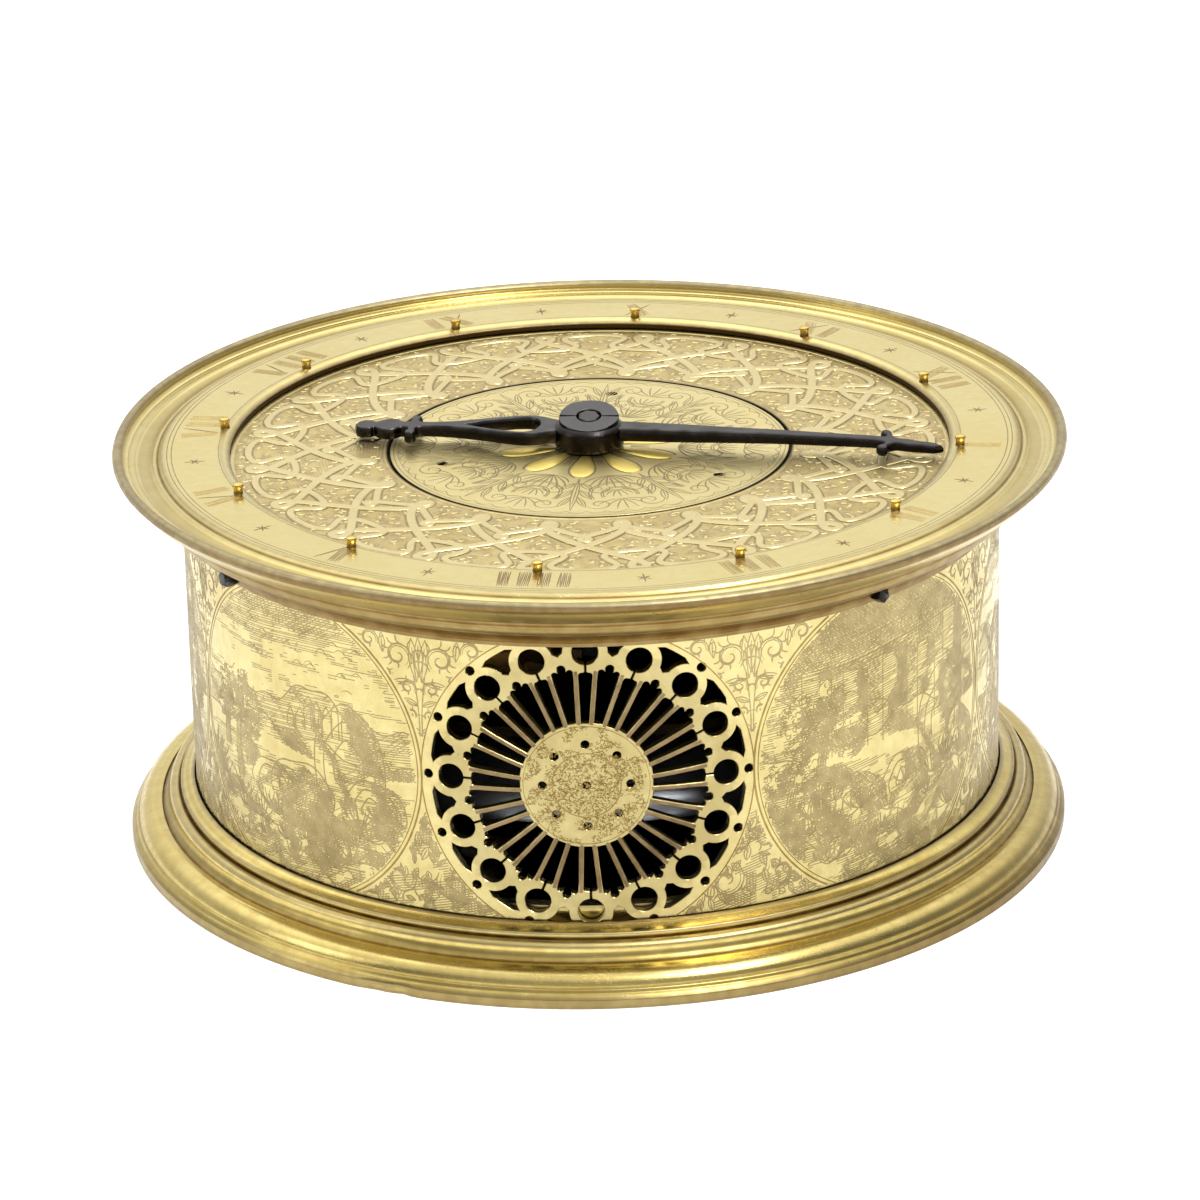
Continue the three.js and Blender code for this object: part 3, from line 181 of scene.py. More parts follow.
def grid_quads(rows: int, columns: int, wrap_rows: bool = False, wrap_columns: bool = False) -> Array:
    """Faces of a grid of points stored row by row.

    Args:
        rows: Number of rows of points.
        columns: Number of points in a row.
        wrap_rows: Whether the last row joins the first.
        wrap_columns: Whether the last column joins the first.

    Returns:
        The four corners of each face, counted round from the point at its low row and low column.
    """
    i = np.arange(rows if wrap_rows else rows - 1)[:, None]
    j = np.arange(columns if wrap_columns else columns - 1)[None, :]
    i2, j2 = (i + 1) % rows, (j + 1) % columns
    corners = [i * columns + j, i2 * columns + j, i2 * columns + j2, i * columns + j2]
    return np.stack(np.broadcast_arrays(*corners), -1).reshape(-1, 4)


def arc(start: tuple[float, float], end: tuple[float, float], bulge: float, steps: int = 9) -> Array:
    """Points along a circular arc without its end: the chord is bent to the left by bulge times its length.

    Args:
        start: First point.
        end: Last point, which is left out.
        bulge: Height of the arc over its chord as a share of the chord; negative bends to the right.
        steps: Number of points.

    Returns:
        The points, one in a row.
    """
    a, b = np.array(start, float), np.array(end, float)
    chord = b - a
    left = np.array([-chord[1], chord[0]])
    half = 2 * math.atan(2 * bulge)
    if abs(half) < 1e-6:
        return a + np.linspace(0, 1, steps, endpoint=False)[:, None] * chord
    angle = np.linspace(-half, half, steps, endpoint=False)
    along = (np.sin(angle) / math.sin(half) + 1) / 2
    aside = (np.cos(angle) - math.cos(half)) / (2 * math.sin(half))
    return a + along[:, None] * chord + aside[:, None] * left


def eased(corners: Array, radius: float, closed: bool = True) -> Array:
    """A profile whose sharp corners are rounded: each is replaced by three points of a quadratic curve.

    Args:
        corners: Points of the profile in order.
        radius: How far from a corner its rounding starts.
        closed: Whether the profile closes on itself.

    Returns:
        The points of the eased profile.
    """
    straight = -0.93
    before, after = np.roll(corners, 1, 0) - corners, np.roll(corners, -1, 0) - corners
    long_before, long_after = (np.linalg.norm(v, axis=1, keepdims=True) + NOTHING for v in (before, after))
    sharp = (before * after).sum(1) / (long_before * long_after)[:, 0] > straight
    if not closed:
        sharp[[0, -1]] = False
    reach = np.minimum(radius, np.minimum(long_before, long_after) / 3)
    first, last = corners + before / long_before * reach, corners + after / long_after * reach
    middle = (first + 2 * corners + last) / 4
    three = np.stack([first, middle, last], 1)
    return np.concatenate([three[i] if s else corners[i : i + 1] for i, s in enumerate(sharp)])


def dense(points: Array, step: float, closed: bool = True) -> Array:
    """A line with its long stretches split evenly.

    Args:
        points: Points of the line.
        step: Longest stretch wanted.
        closed: Whether the last point joins the first.

    Returns:
        The line with more points.
    """
    ends = np.roll(points, -1, 0) if closed else points[1:]
    starts = points if closed else points[:-1]
    count = np.maximum(1, np.ceil(np.linalg.norm(ends - starts, axis=1) / step).astype(int))
    which = np.repeat(np.arange(len(starts)), count)
    share = np.arange(len(which)) - np.repeat(np.cumsum(count) - count, count)
    share = (share / count[which])[:, None]
    line = starts[which] * (1 - share) + ends[which] * share
    return line if closed else np.vstack([line, points[-1:]])


def profile_marks(profile: Array, reach: float = 0.3) -> tuple[Array, Array]:
    """Wear and darkening of a closed profile: the turning of the line near each point, weighted by distance.

    Outward corners are worn and inward corners are darkened.

    Args:
        profile: Points of the profile, with its solid on the left.
        reach: Distance over which a corner tells.

    Returns:
        Wear and darkening of each point, from 0 to 1.
    """
    ahead, back = np.roll(profile, -1, 0) - profile, profile - np.roll(profile, 1, 0)
    turning = np.arctan2(back[:, 0] * ahead[:, 1] - back[:, 1] * ahead[:, 0], (back * ahead).sum(1))
    away = np.linalg.norm(profile[:, None] - profile[None], axis=2)
    total = np.exp(-((away / reach) ** 2)) @ turning
    full_wear, full_dirt = 0.9, 0.7
    return np.clip(total / full_wear, 0, 1), np.clip(-total / full_dirt, 0, 1)


def lathe(profile: Array, segments: int = 320, step: float = 0.5, ease: float = 0.12, reach: float = 0.3) -> Shell:
    """A ring turned about +Z from a closed profile: radius times cosine and sine of the azimuth, and height.

    Args:
        profile: Corners (radius, height) in order, the solid on the left.
        segments: Number of steps round the axis.
        step: Longest step along the profile.
        ease: Rounding of the corners.
        reach: How far the darkening of a groove and the wear of an edge spread.

    Returns:
        The closed ring.
    """
    line = dense(eased(profile, ease), step)
    wear_and_sheen, dirt_and_shade = profile_marks(line, reach)
    azimuth = np.arange(segments) * TURN / segments
    radius, height = line[:, 0][None], line[:, 1][None]
    points = np.stack(
        np.broadcast_arrays(radius * np.cos(azimuth)[:, None], radius * np.sin(azimuth)[:, None], height), -1
    )
    quads = grid_quads(segments, len(line), True, True)
    return Shell(points.reshape(-1, 3), quads, wear_and_sheen=np.tile(wear_and_sheen, segments), dirt_and_shade=np.tile(dirt_and_shade, segments)).outward()


def knob(profile: Array, segments: int = 40) -> Shell:
    """A solid turned about +Z whose profile starts and ends on the axis, closed by a fan at each pole.

    Args:
        profile: Points (radius, height), the first and last at radius 0.
        segments: Number of steps round the axis.

    Returns:
        The closed solid.
    """
    middle = profile[1:-1]
    azimuth = np.arange(segments)[:, None] * TURN / segments
    body = np.stack(
        np.broadcast_arrays(middle[:, 0] * np.cos(azimuth), middle[:, 0] * np.sin(azimuth), middle[:, 1]), -1
    )
    count, width = segments * len(middle), len(middle)
    points = np.vstack([body.reshape(-1, 3), [0, 0, profile[0, 1]], [0, 0, profile[-1, 1]]])
    first = np.arange(segments) * width
    after = np.roll(first, -1)
    fans = np.vstack([
        np.stack([np.full(segments, count), after, first], 1),
        np.stack([np.full(segments, count + 1), first + width - 1, after + width - 1], 1),
    ])
    return Shell(points, grid_quads(segments, width, True), fans).outward()


# Flat outlines, filled and given a thickness


def round_line(radius: float, count: int, middle: tuple[float, float] = (0, 0)) -> Array:
    """Points of a circle: the middle plus the radius times cosine and sine."""
    angle = np.arange(count) * TURN / count
    return np.array(middle) + radius * rays(angle)


def grown(loop: Array, amount: float) -> Array:
    """A loop moved outwards by an amount along the mean normal of its neighbours.

    Args:
        loop: Points of the loop, its solid on the left.
        amount: Distance to move, inwards if negative.

    Returns:
        The moved loop.
    """
    ahead = np.roll(loop, -1, 0) - loop
    ahead /= np.linalg.norm(ahead, axis=1, keepdims=True)
    normal = np.stack([ahead[:, 1], -ahead[:, 0]], 1)
    other = np.roll(normal, 1, 0)
    way = (normal + other) / np.maximum(0.5, 1 + (normal * other).sum(1, keepdims=True))
    return loop + way * amount


def inside(points: Array, loops: list[Array]) -> Array:
    """Whether points lie in the area between loops: a ray crosses their edges an odd number of times.

    Args:
        points: Points to test.
        loops: Outer loops and holes.

    Returns:
        True or false for each point.
    """
    odd = np.zeros(len(points), bool)
    x, y = points[:, 0][:, None], points[:, 1][:, None]
    for loop in loops:
        a, b = loop, np.roll(loop, -1, 0)
        crosses = (a[:, 1] > y) != (b[:, 1] > y)
        rise = np.where(b[:, 1] == a[:, 1], NOTHING, b[:, 1] - a[:, 1])
        odd ^= (crosses & (x < (b[:, 0] - a[:, 0]) * (y - a[:, 1]) / rise + a[:, 0])).sum(1) % 2 == 1
    return odd


def filled(loops: list[Array], step: float) -> tuple[Array, Array]:
    """Triangles that fill the area between loops, with extra points on a staggered grid.

    Args:
        loops: Outer loops and holes, none crossing another.
        step: Distance between the extra points.

    Returns:
        Points and the corners of the triangles, counted round from the left.
    """
    row_gap, clearance, merge = 0.866, 0.45, 1e-5
    outline = np.vstack(loops)
    low, high = outline.min(0), outline.max(0)
    columns, rows = np.ceil((high - low) / [step, step * row_gap]).astype(int)
    i, j = np.meshgrid(np.arange(columns), np.arange(rows), indexing="ij")
    across, up = low[0] + (i + 0.5 * (j % 2) + 0.3) * step, low[1] + (j + 0.5) * step * row_gap
    grid = np.stack([across, up], -1).reshape(-1, 2)
    grid = grid[inside(grid, loops)]
    for loop in loops:
        near = (np.abs(grid - loop.mean(0)) < np.abs(loop - loop.mean(0)).max(0) + step).all(1)
        close = np.zeros(len(grid), bool)
        close[near] = (((grid[near][:, None] - loop[None]) ** 2).sum(2) < (clearance * step) ** 2).any(1)
        grid = grid[~close]
    starts = np.cumsum([0] + [len(loop) for loop in loops[:-1]])
    edges = np.vstack([
        np.stack([np.arange(len(loop)), np.roll(np.arange(len(loop)), -1)], 1) + start
        for loop, start in zip(loops, starts)
    ])
    verts, _, faces, *_ = delaunay_2d_cdt(np.vstack([outline, grid]).tolist(), edges.tolist(), [], 0, merge)
    points, tris = np.array([tuple(v) for v in verts]), np.array(faces)
    tris = tris[inside(points[tris].mean(1), loops)]
    a, b, c = (points[tris[:, k]] for k in range(3))
    turned = (b[:, 0] - a[:, 0]) * (c[:, 1] - a[:, 1]) - (b[:, 1] - a[:, 1]) * (c[:, 0] - a[:, 0]) < 0
    tris[turned] = tris[turned][:, ::-1]
    return points, tris


def thick(points: Array, tris: Array, rings: list[tuple[float, float]], place: Place) -> Shell:
    """A sheet with eased edges: its outline, grown by each ring's amount, is carried down from ring to ring.

    Args:
        points: Flat points.
        tris: Triangles between them.
        rings: (growth, height) from the upper face to the lower.
        place: Puts flat points and their heights into the clock's frame.

    Returns:
        The closed sheet.
    """
    count = len(points)
    edges = np.vstack([tris[:, [0, 1]], tris[:, [1, 2]], tris[:, [2, 0]]])
    rim = edges[~np.isin(edges[:, 0] * count + edges[:, 1], edges[:, 1] * count + edges[:, 0])]
    along = points[rim[:, 1]] - points[rim[:, 0]]
    along /= np.linalg.norm(along, axis=1, keepdims=True)
    normal = np.stack([along[:, 1], -along[:, 0]], 1)
    leaving, coming = np.zeros_like(points), np.zeros_like(points)
    leaving[rim[:, 0]], coming[rim[:, 1]] = normal, normal
    way = (leaving + coming) / np.maximum(0.4, 1 + (leaving * coming).sum(1, keepdims=True))
    on_rim = np.unique(rim)
    slot = np.zeros(count, int)
    slot[on_rim] = np.arange(len(on_rim))
    ends = (0, len(rings) - 1)
    levels = [place(points + way * grow, np.full(count, height)) if i in ends
              else place((points + way * grow)[on_rim], np.full(len(on_rim), height))
              for i, (grow, height) in enumerate(rings)]
    starts = np.cumsum([0] + [len(level) for level in levels])
    index = [(on_rim if i in ends else np.arange(len(on_rim))) + starts[i] for i in range(len(rings))]
    a, b = slot[rim[:, 0]], slot[rim[:, 1]]
    quads = np.vstack([
        np.stack([below[a], below[b], above[b], above[a]], 1) for above, below in zip(index[:-1], index[1:])
    ])
    wear_and_sheen = np.zeros(starts[-1])
    wear_and_sheen[np.concatenate(index[:2])] = 1
    return Shell(np.vstack(levels), quads, np.vstack([tris, tris[:, ::-1] + starts[-2]]), wear_and_sheen)


# Strokes: narrow strips laid on the metal

ENGRAVED_SECTION = np.array([[-1, 0.0], [0, 0.02], [1, 0.0]])
STRAP_SECTION = np.array([[-1, -0.1], [-0.82, 0.03], [0, 0.05], [0.82, 0.03], [1, -0.1]])


def strips(paths: Array, widths: Array | float, place: Place, section: Array = ENGRAVED_SECTION,
           keep: Callable[[Array], Array] | None = None, lift: Array | float = 0.004) -> Shell:
    """Strips along many paths at once: each point plus the section's shares of half the width, sideways.

    Args:
        paths: Paths of equally many flat points.
        widths: Width at each point, or one width for all.
        place: Puts flat points and heights into the clock's frame.
        section: (share of the half width, height) from the right edge to the left.
        keep: Says which flat points belong to the design; faces between others are left out.
        lift: Height of the whole strip.

    Returns:
        The strips.
    """
    paths = np.asarray(paths, float)
    way = np.gradient(paths, axis=1)
    way /= np.linalg.norm(way, axis=2, keepdims=True) + NOTHING
    left = leftwards(way)
    half = np.broadcast_to(np.asarray(widths, float), paths.shape[:2])[..., None, None] / 2
    flat = paths[:, :, None] + left[:, :, None] * half * section[:, 0][None, None, :, None]
    height = np.broadcast_to(section[:, 1] + np.asarray(lift)[..., None], flat.shape[:3])
    count, rows, columns = flat.shape[:3]
    quads = grid_quads(rows, columns)[None] + (np.arange(count) * rows * columns)[:, None, None]
    if keep is not None:
        held = keep(paths.reshape(-1, 2)).reshape(count, rows)
        both = (held[:, :-1] & held[:, 1:]).repeat(columns - 1, axis=1)
        quads = quads[both]
    return Shell(place(flat.reshape(-1, 2), height.ravel()), quads.reshape(-1, 4)).compact()


def bent(starts: Array, ends: Array, sag: Array | float, steps: int = 7) -> Array:
    """Many curved strokes: a straight run from start to end plus a sideways half sine of height sag.

    Args:
        starts: First points.
        ends: Last points.
        sag: Sideways height of each stroke, positive to the left.
        steps: Points in each stroke.

    Returns:
        Paths of that many points.
    """
    t = np.linspace(0, 1, steps)[None, :, None]
    run = (ends - starts)[:, None]
    left = leftwards(run) / (np.linalg.norm(run, axis=2, keepdims=True) + NOTHING)
    return starts[:, None] + run * t + left * np.sin(math.pi * t) * np.reshape(sag, (-1, 1, 1))


def tapered(count: int, width: Array | float, sharp: float = 0.85) -> Array:
    """Widths along strokes: full in the middle, thin at both ends.

    Args:
        count: Points in a stroke.
        width: Full width, or one for each stroke.
        sharp: How much of the width the ends lose.

    Returns:
        One row of widths for each stroke.
    """
    shape = 1 - sharp * np.abs(np.linspace(-1, 1, count)) ** 2.5
    return np.asarray(width, float).reshape(-1, 1) * shape


def spiral(middle: Array, radius: float, first: float, turns: float, shrink: float = 0.25, steps: int = 34) -> Array:
    """A scroll that winds inwards: its radius falls evenly while its angle grows.

    Args:
        middle: Middle of the scroll.
        radius: First radius.
        first: First angle.
        turns: Turns that it winds, negative for clockwise.
        shrink: Last radius as a share of the first.
        steps: Number of points.

    Returns:
        The points of the scroll.
    """
    t = np.linspace(0, 1, steps)
    angle = first + TURN * turns * t
    size = radius * (1 - (1 - shrink) * t)
    return np.asarray(middle) + size[..., None] * rays(angle)


def leaf_pairs(roots: Array, tips: Array, widths: Array | float, steps: int = 9) -> Array:
    """Pointed leaves: for each, two strokes from root to tip that bend to either side, and its rib.

    Args:
        roots: Where the leaves start.
        tips: Where they end.
        widths: How far their sides bend out.
        steps: Points in a stroke.

    Returns:
        Paths of that many points.
    """
    wide = np.broadcast_to(np.asarray(widths, float), len(roots))
    return np.concatenate([bent(roots, tips, wide, steps), bent(roots, tips, -wide, steps),
                           bent(roots, roots + (tips - roots) * 0.8, wide * 0.1, steps)])


def value_noise(points: Array, size: float, seed: int) -> Array:
    """Smooth noise from 0 to 1: random numbers on a square grid, blended with eased weights.

    Args:
        points: Flat points.
        size: Distance between the grid's points.
        seed: Number that picks the grid.

    Returns:
        One value for each point.
    """
    cells, origin = 64, 1000
    table = np.random.default_rng(seed).random((cells, cells))
    cell = points / size + origin
    low = np.floor(cell).astype(int)
    t = cell - low
    t = t * t * (3 - 2 * t)
    i, j = low[:, 0] % cells, low[:, 1] % cells
    i2, j2 = (i + 1) % cells, (j + 1) % cells
    under = table[i, j] * (1 - t[:, 0]) + table[i2, j] * t[:, 0]
    over = table[i, j2] * (1 - t[:, 0]) + table[i2, j2] * t[:, 0]
    return under * (1 - t[:, 1]) + over * t[:, 1]


def in_view(p: Array) -> Array:
    """Whether points on the developed wall lie between base and rim."""
    return (p[:, 1] > WALL_SHOWN[0]) & (p[:, 1] < WALL_SHOWN[1])


def on_drum(radius: float) -> Place:
    """Placing on the drum: s over the radius is the angle from -Y, and the height adds to the radius.

    Args:
        radius: Radius on which the height is nothing.

    Returns:
        The placing.
    """

    def place(flat: Array, height: Array) -> Array:
        """Flat points and their heights on the drum."""
        angle, size = flat[:, 0] / radius, radius + height
        return np.stack([size * np.sin(angle), -size * np.cos(angle), flat[:, 1]], 1)

    return place


def on_plane(level: float, azimuth: float = 0) -> Place:
    """Placing on a level plane, turned about +Z; the height adds to the level.

    Args:
        level: Height of the plane.
        azimuth: Turn of the flat points in degrees.

    Returns:
        The placing.
    """
    cos, sin = math.cos(math.radians(azimuth)), math.sin(math.radians(azimuth))

    def place(flat: Array, height: Array) -> Array:
        """Flat points and their heights on the plane."""
        return np.stack([flat[:, 0] * cos - flat[:, 1] * sin, flat[:, 0] * sin + flat[:, 1] * cos, level + height], 1)

    return place


# Finishes


class Graph:
    """A node tree with short calls that add and join nodes."""

    def __init__(self, tree: bpy.types.NodeTree) -> None:
        """Keeps the tree."""
        self.tree = tree

    def add(self, kind: str, inputs: dict[str | int, object] | None = None, **settings: object) -> bpy.types.Node:
        """A new node.

        Args:
            kind: Blender's name of the node type.
            inputs: Sockets or constants for its inputs, by name or number.
            settings: Properties of the node.

        Returns:
            The node.
        """
        node = self.tree.nodes.new(kind)
        for key, value in settings.items():
            setattr(node, key, value)
        for key, value in (inputs or {}).items():
            self.link(value, node.inputs[key])
        return node

    def math(self, operation: str, *values: object) -> Socket:
        """The result of a sum or comparison of sockets or numbers."""
        return self.add("ShaderNodeMath", dict(enumerate(values)), operation=operation).outputs[0]

    def times(self, a: object, b: object) -> Socket:
        """The product of two sockets or numbers."""
        return self.math("MULTIPLY", a, b)

    def plus(self, a: object, b: object) -> Socket:
        """The sum of two sockets or numbers."""
        return self.math("ADD", a, b)

    def place(self) -> Socket:
        """The place in the object's own frame, which is the clock's."""
        return self.add("ShaderNodeTexCoord").outputs["Object"]

    def link(self, value: object, socket: Socket) -> None:
        """Joins a socket to another, or sets a constant.

        Args:
            value: A socket or a constant.
            socket: Where it goes.
        """
        if isinstance(value, Socket):
            self.tree.links.new(value, socket)
        else:
            socket.default_value = value

    def ramp(self, value: Socket, low: float, high: float, bottom: float = 0, top: float = 1) -> Socket:
        """A value carried from low..high to bottom..top with eased ends.

        Args:
            value: What is carried.
            low: Where the slope starts.
            high: Where it ends.
            bottom: Result at the start.
            top: Result at the end.

        Returns:
            The result.
        """
        inputs = {0: value, 1: low, 2: high, 3: bottom, 4: top}
        return self.add("ShaderNodeMapRange", inputs, interpolation_type="SMOOTHSTEP").outputs[0]

    def blend(self, share: object, a: object, b: object) -> Socket:
        """Colour a turned into colour b by a share."""
        return self.add("ShaderNodeMix", {0: share, 6: a, 7: b}, data_type="RGBA").outputs[2]

    def noise(self, vector: Socket, scale: float, detail: float = 2) -> Socket:
        """Smooth noise from 0 to 1."""
        return self.add("ShaderNodeTexNoise", {"Vector": vector, "Scale": scale, "Detail": detail}).outputs[0]


def new_group(
    name: str, inputs: dict[str, float | Colour], outputs: dict[str, str]
) -> tuple[Graph, dict[str, Socket], bpy.types.Node]:
    """An empty shader node group with its sockets.

    Args:
        name: Name of the group.
        inputs: Default of each input: a number or a colour.
        outputs: Socket type of each output.

    Returns:
        The graph, its input sockets by name, and its output node.
    """
    tree = bpy.data.node_groups.new(name, "ShaderNodeTree")
    for key, value in inputs.items():
        kind = "NodeSocketColor" if isinstance(value, tuple) else "NodeSocketFloat"
        tree.interface.new_socket(key, in_out="INPUT", socket_type=kind).default_value = (
            (*value, 1) if isinstance(value, tuple) else value)
    for key, kind in outputs.items():
        tree.interface.new_socket(key, in_out="OUTPUT", socket_type=kind)
    graph = Graph(tree)
    entry, leaving = graph.add("NodeGroupInput"), graph.add("NodeGroupOutput")
    return graph, {socket.name: socket for socket in entry.outputs if socket.name}, leaving


def grain_group() -> bpy.types.NodeTree:
    """Surface marks of handled metal, as masks: mottling, scratches, turning lines, pits and slow waves.

    Returns:
        The node group.
    """
    kinds = dict.fromkeys(["Mottle", "Scratch", "Turned", "Fine", "Wave"], "NodeSocketFloat")
    graph, _, leaving = new_group(Workshop.GRAIN.value, {}, kinds)
    place = graph.place()
    broad, small = graph.noise(place, 90, 4), graph.noise(place, 520, 3)
    mottle = graph.plus(graph.times(broad, 0.55), graph.times(small, 0.45))
    scratch: Socket | None = None
    for turn, stretch in (((0.2, 0.1, 0.5), 90), ((0.5, 0.3, 2.1), 60), ((1.2, 0.4, -0.7), 75)):
        mapped = graph.add("ShaderNodeMapping", {"Vector": place, "Rotation": turn, "Scale": (5200, stretch, 5200)})
        line = graph.math("ABSOLUTE", graph.math("SUBTRACT", graph.noise(mapped.outputs[0], 1, 0), 0.5))
        mask = graph.times(graph.ramp(line, 0.006, 0.0), graph.ramp(graph.noise(place, 260 + stretch, 1), 0.52, 0.62))
        scratch = mask if scratch is None else graph.math("MAXIMUM", scratch, mask)
    split = graph.add("ShaderNodeSeparateXYZ", {0: place}).outputs
    level = graph.add("ShaderNodeCombineXYZ", {0: split[0], 1: split[1]}).outputs[0]
    radius = graph.add("ShaderNodeVectorMath", {0: level}, operation="LENGTH").outputs["Value"]
    turned = graph.add("ShaderNodeCombineXYZ", {0: graph.times(radius, 4200), 1: graph.times(split[2], 4200)})
    wave = graph.plus(graph.noise(place, 150, 1), graph.times(graph.noise(place, 430, 2), 0.4))
    for key, value in (("Mottle", graph.ramp(mottle, 0.32, 0.68)), ("Scratch", scratch), ("Wave", wave),
                       ("Turned", graph.noise(turned.outputs[0], 1, 1)), ("Fine", graph.noise(place, 2600, 2))):
        graph.link(value, leaving.inputs[key])
    return graph.tree


def tarnish_group() -> bpy.types.NodeTree:
    """Colour and gloss of aged metal: deeper where mottled, brown where dirt and painted shade lie, dull where wear and
    painted sheen lie, with dark specks.

    Returns:
        The node group.
    """
    inputs = {"Bright": (0.9, 0.78, 0.4), "Deep": (0.7, 0.5, 0.2), "WornAndSheen": (0.3, 0.26, 0.18),
              "GrimeAndShade": (0.06, 0.035, 0.012), "Mottle": 0.0, "WearAndSheen": 0.0, "DirtAndShade": 0.0, "Specks": 0.3}
    outputs = {"Color": "NodeSocketColor", "Dull": "NodeSocketFloat"}
    graph, given, leaving = new_group(Workshop.TARNISH.value, inputs, outputs)
    place = graph.place()
    colour = graph.blend(given["Mottle"], given["Bright"], given["Deep"])
    patch = graph.ramp(graph.noise(place, 520, 4), 0.38, 0.62, 0.86, 1)
    worn_and_sheen = graph.times(given["WearAndSheen"], patch)
    colour = graph.blend(worn_and_sheen, colour, given["WornAndSheen"])
    dirt_and_shade_share = graph.times(given["DirtAndShade"], graph.ramp(graph.noise(place, 260, 5), 0.3, 0.65, 0.88, 1))
    colour = graph.blend(dirt_and_shade_share, colour, given["GrimeAndShade"])
    dots = graph.add("ShaderNodeTexVoronoi", {"Vector": place, "Scale": 620.0}).outputs["Distance"]
    speck = graph.times(graph.ramp(dots, 0.13, 0.05), graph.ramp(graph.noise(place, 190, 2), 0.5, 0.66))
    speck = graph.times(speck, given["Specks"])
    graph.link(graph.blend(speck, colour, given["GrimeAndShade"]), leaving.inputs["Color"])
    dull = graph.math("MAXIMUM", graph.math("MAXIMUM", worn_and_sheen, dirt_and_shade_share), speck)
    graph.link(dull, leaving.inputs["Dull"])
    return graph.tree


@dataclass(frozen=True)
class Metal:
    """A metal finish: its colours, gloss and how strongly each kind of mark shows.

    Dulling, cloudy and scuffed say how much roughness the tarnish, the mottling and the scratches add.
    """

    name: str
    bright: Colour
    deep: Colour
    # The worn colour lies where the wear mark is: real wear, and in places a painted sheen. The grime colour lies where
    # the dirt mark is: real dirt, and in places painted shade.
    worn_and_sheen: Colour = (0.30, 0.255, 0.17)
    grime_and_shade: Colour = (0.075, 0.042, 0.012)
    roughness: float = 0.24
    mottling: float = 0.5
    wear_and_sheen: float = 0.8
    dirt_and_shade: float = 0.9
    specks: float = 0.35
    scratches: float = 0.5
    turning: float = 0.0
    fine: float = 0.4
    relief: float = 0.3
    waves: float = 0.12
    dulling: float = 0.22
    cloudy: float = 0.07
    scuffed: float = 0.12

    def material(self) -> bpy.types.Material:
        """The finish as a Blender material, made once.

        Returns:
            The material.
        """
        known = bpy.data.materials.get(self.name)
        if known:
            return known
        made = bpy.data.materials.new(self.name)
        made.use_nodes = True
        made.diffuse_color = (*self.bright, 1)
        graph = Graph(made.node_tree)
        shader = made.node_tree.nodes["Principled BSDF"]
        marks = graph.add("ShaderNodeGroup", node_tree=Workshop.GRAIN.tree())
        mottle = graph.times(marks.outputs["Mottle"], self.mottling)
        wear_and_sheen, dirt_and_shade = (graph.add("ShaderNodeAttribute", attribute_name=name).outputs["Fac"] for name in ("wear_and_sheen", "dirt_and_shade"))
        tarnish = graph.add("ShaderNodeGroup", node_tree=Workshop.TARNISH.tree())
        given = {"Bright": (*self.bright, 1), "Deep": (*self.deep, 1), "WornAndSheen": (*self.worn_and_sheen, 1),
                 "GrimeAndShade": (*self.grime_and_shade, 1), "Mottle": mottle, "WearAndSheen": graph.times(wear_and_sheen, self.wear_and_sheen),
                 "DirtAndShade": graph.times(dirt_and_shade, self.dirt_and_shade), "Specks": self.specks}
        for key, value in given.items():
            graph.link(value, tarnish.inputs[key])
        rough = graph.plus(self.roughness, graph.times(tarnish.outputs["Dull"], self.dulling))
        for mark, amount in (("Mottle", self.cloudy), ("Scratch", self.scuffed)):
            rough = graph.plus(rough, graph.times(marks.outputs[mark], amount))
        height = graph.times(marks.outputs["Scratch"], -self.scratches)
        for mark, amount in (("Turned", self.turning), ("Fine", self.fine)):
            height = graph.plus(height, graph.times(marks.outputs[mark], amount))
        slow = graph.add("ShaderNodeBump", {"Strength": 1.0, "Distance": self.waves * METRES,
                                            "Height": marks.outputs["Wave"]})
        bump = graph.add("ShaderNodeBump", {"Strength": self.relief, "Distance": GRAIN_HEIGHT * METRES,
                                            "Height": height, "Normal": slow.outputs[0]})
        shader.inputs["Metallic"].default_value = 1.0
        graph.link(tarnish.outputs["Color"], shader.inputs["Base Color"])
        graph.link(rough, shader.inputs["Roughness"])
        graph.link(bump.outputs[0], shader.inputs["Normal"])
        return made


class Workshop(Enum):
    """Shared node groups, each made once: their names."""

    GRAIN = "surface_marks"
    TARNISH = "tarnish"

    def tree(self) -> bpy.types.NodeTree:
        """The group's tree."""
        return bpy.data.node_groups.get(self.value) or (grain_group if self is Workshop.GRAIN else tarnish_group)()


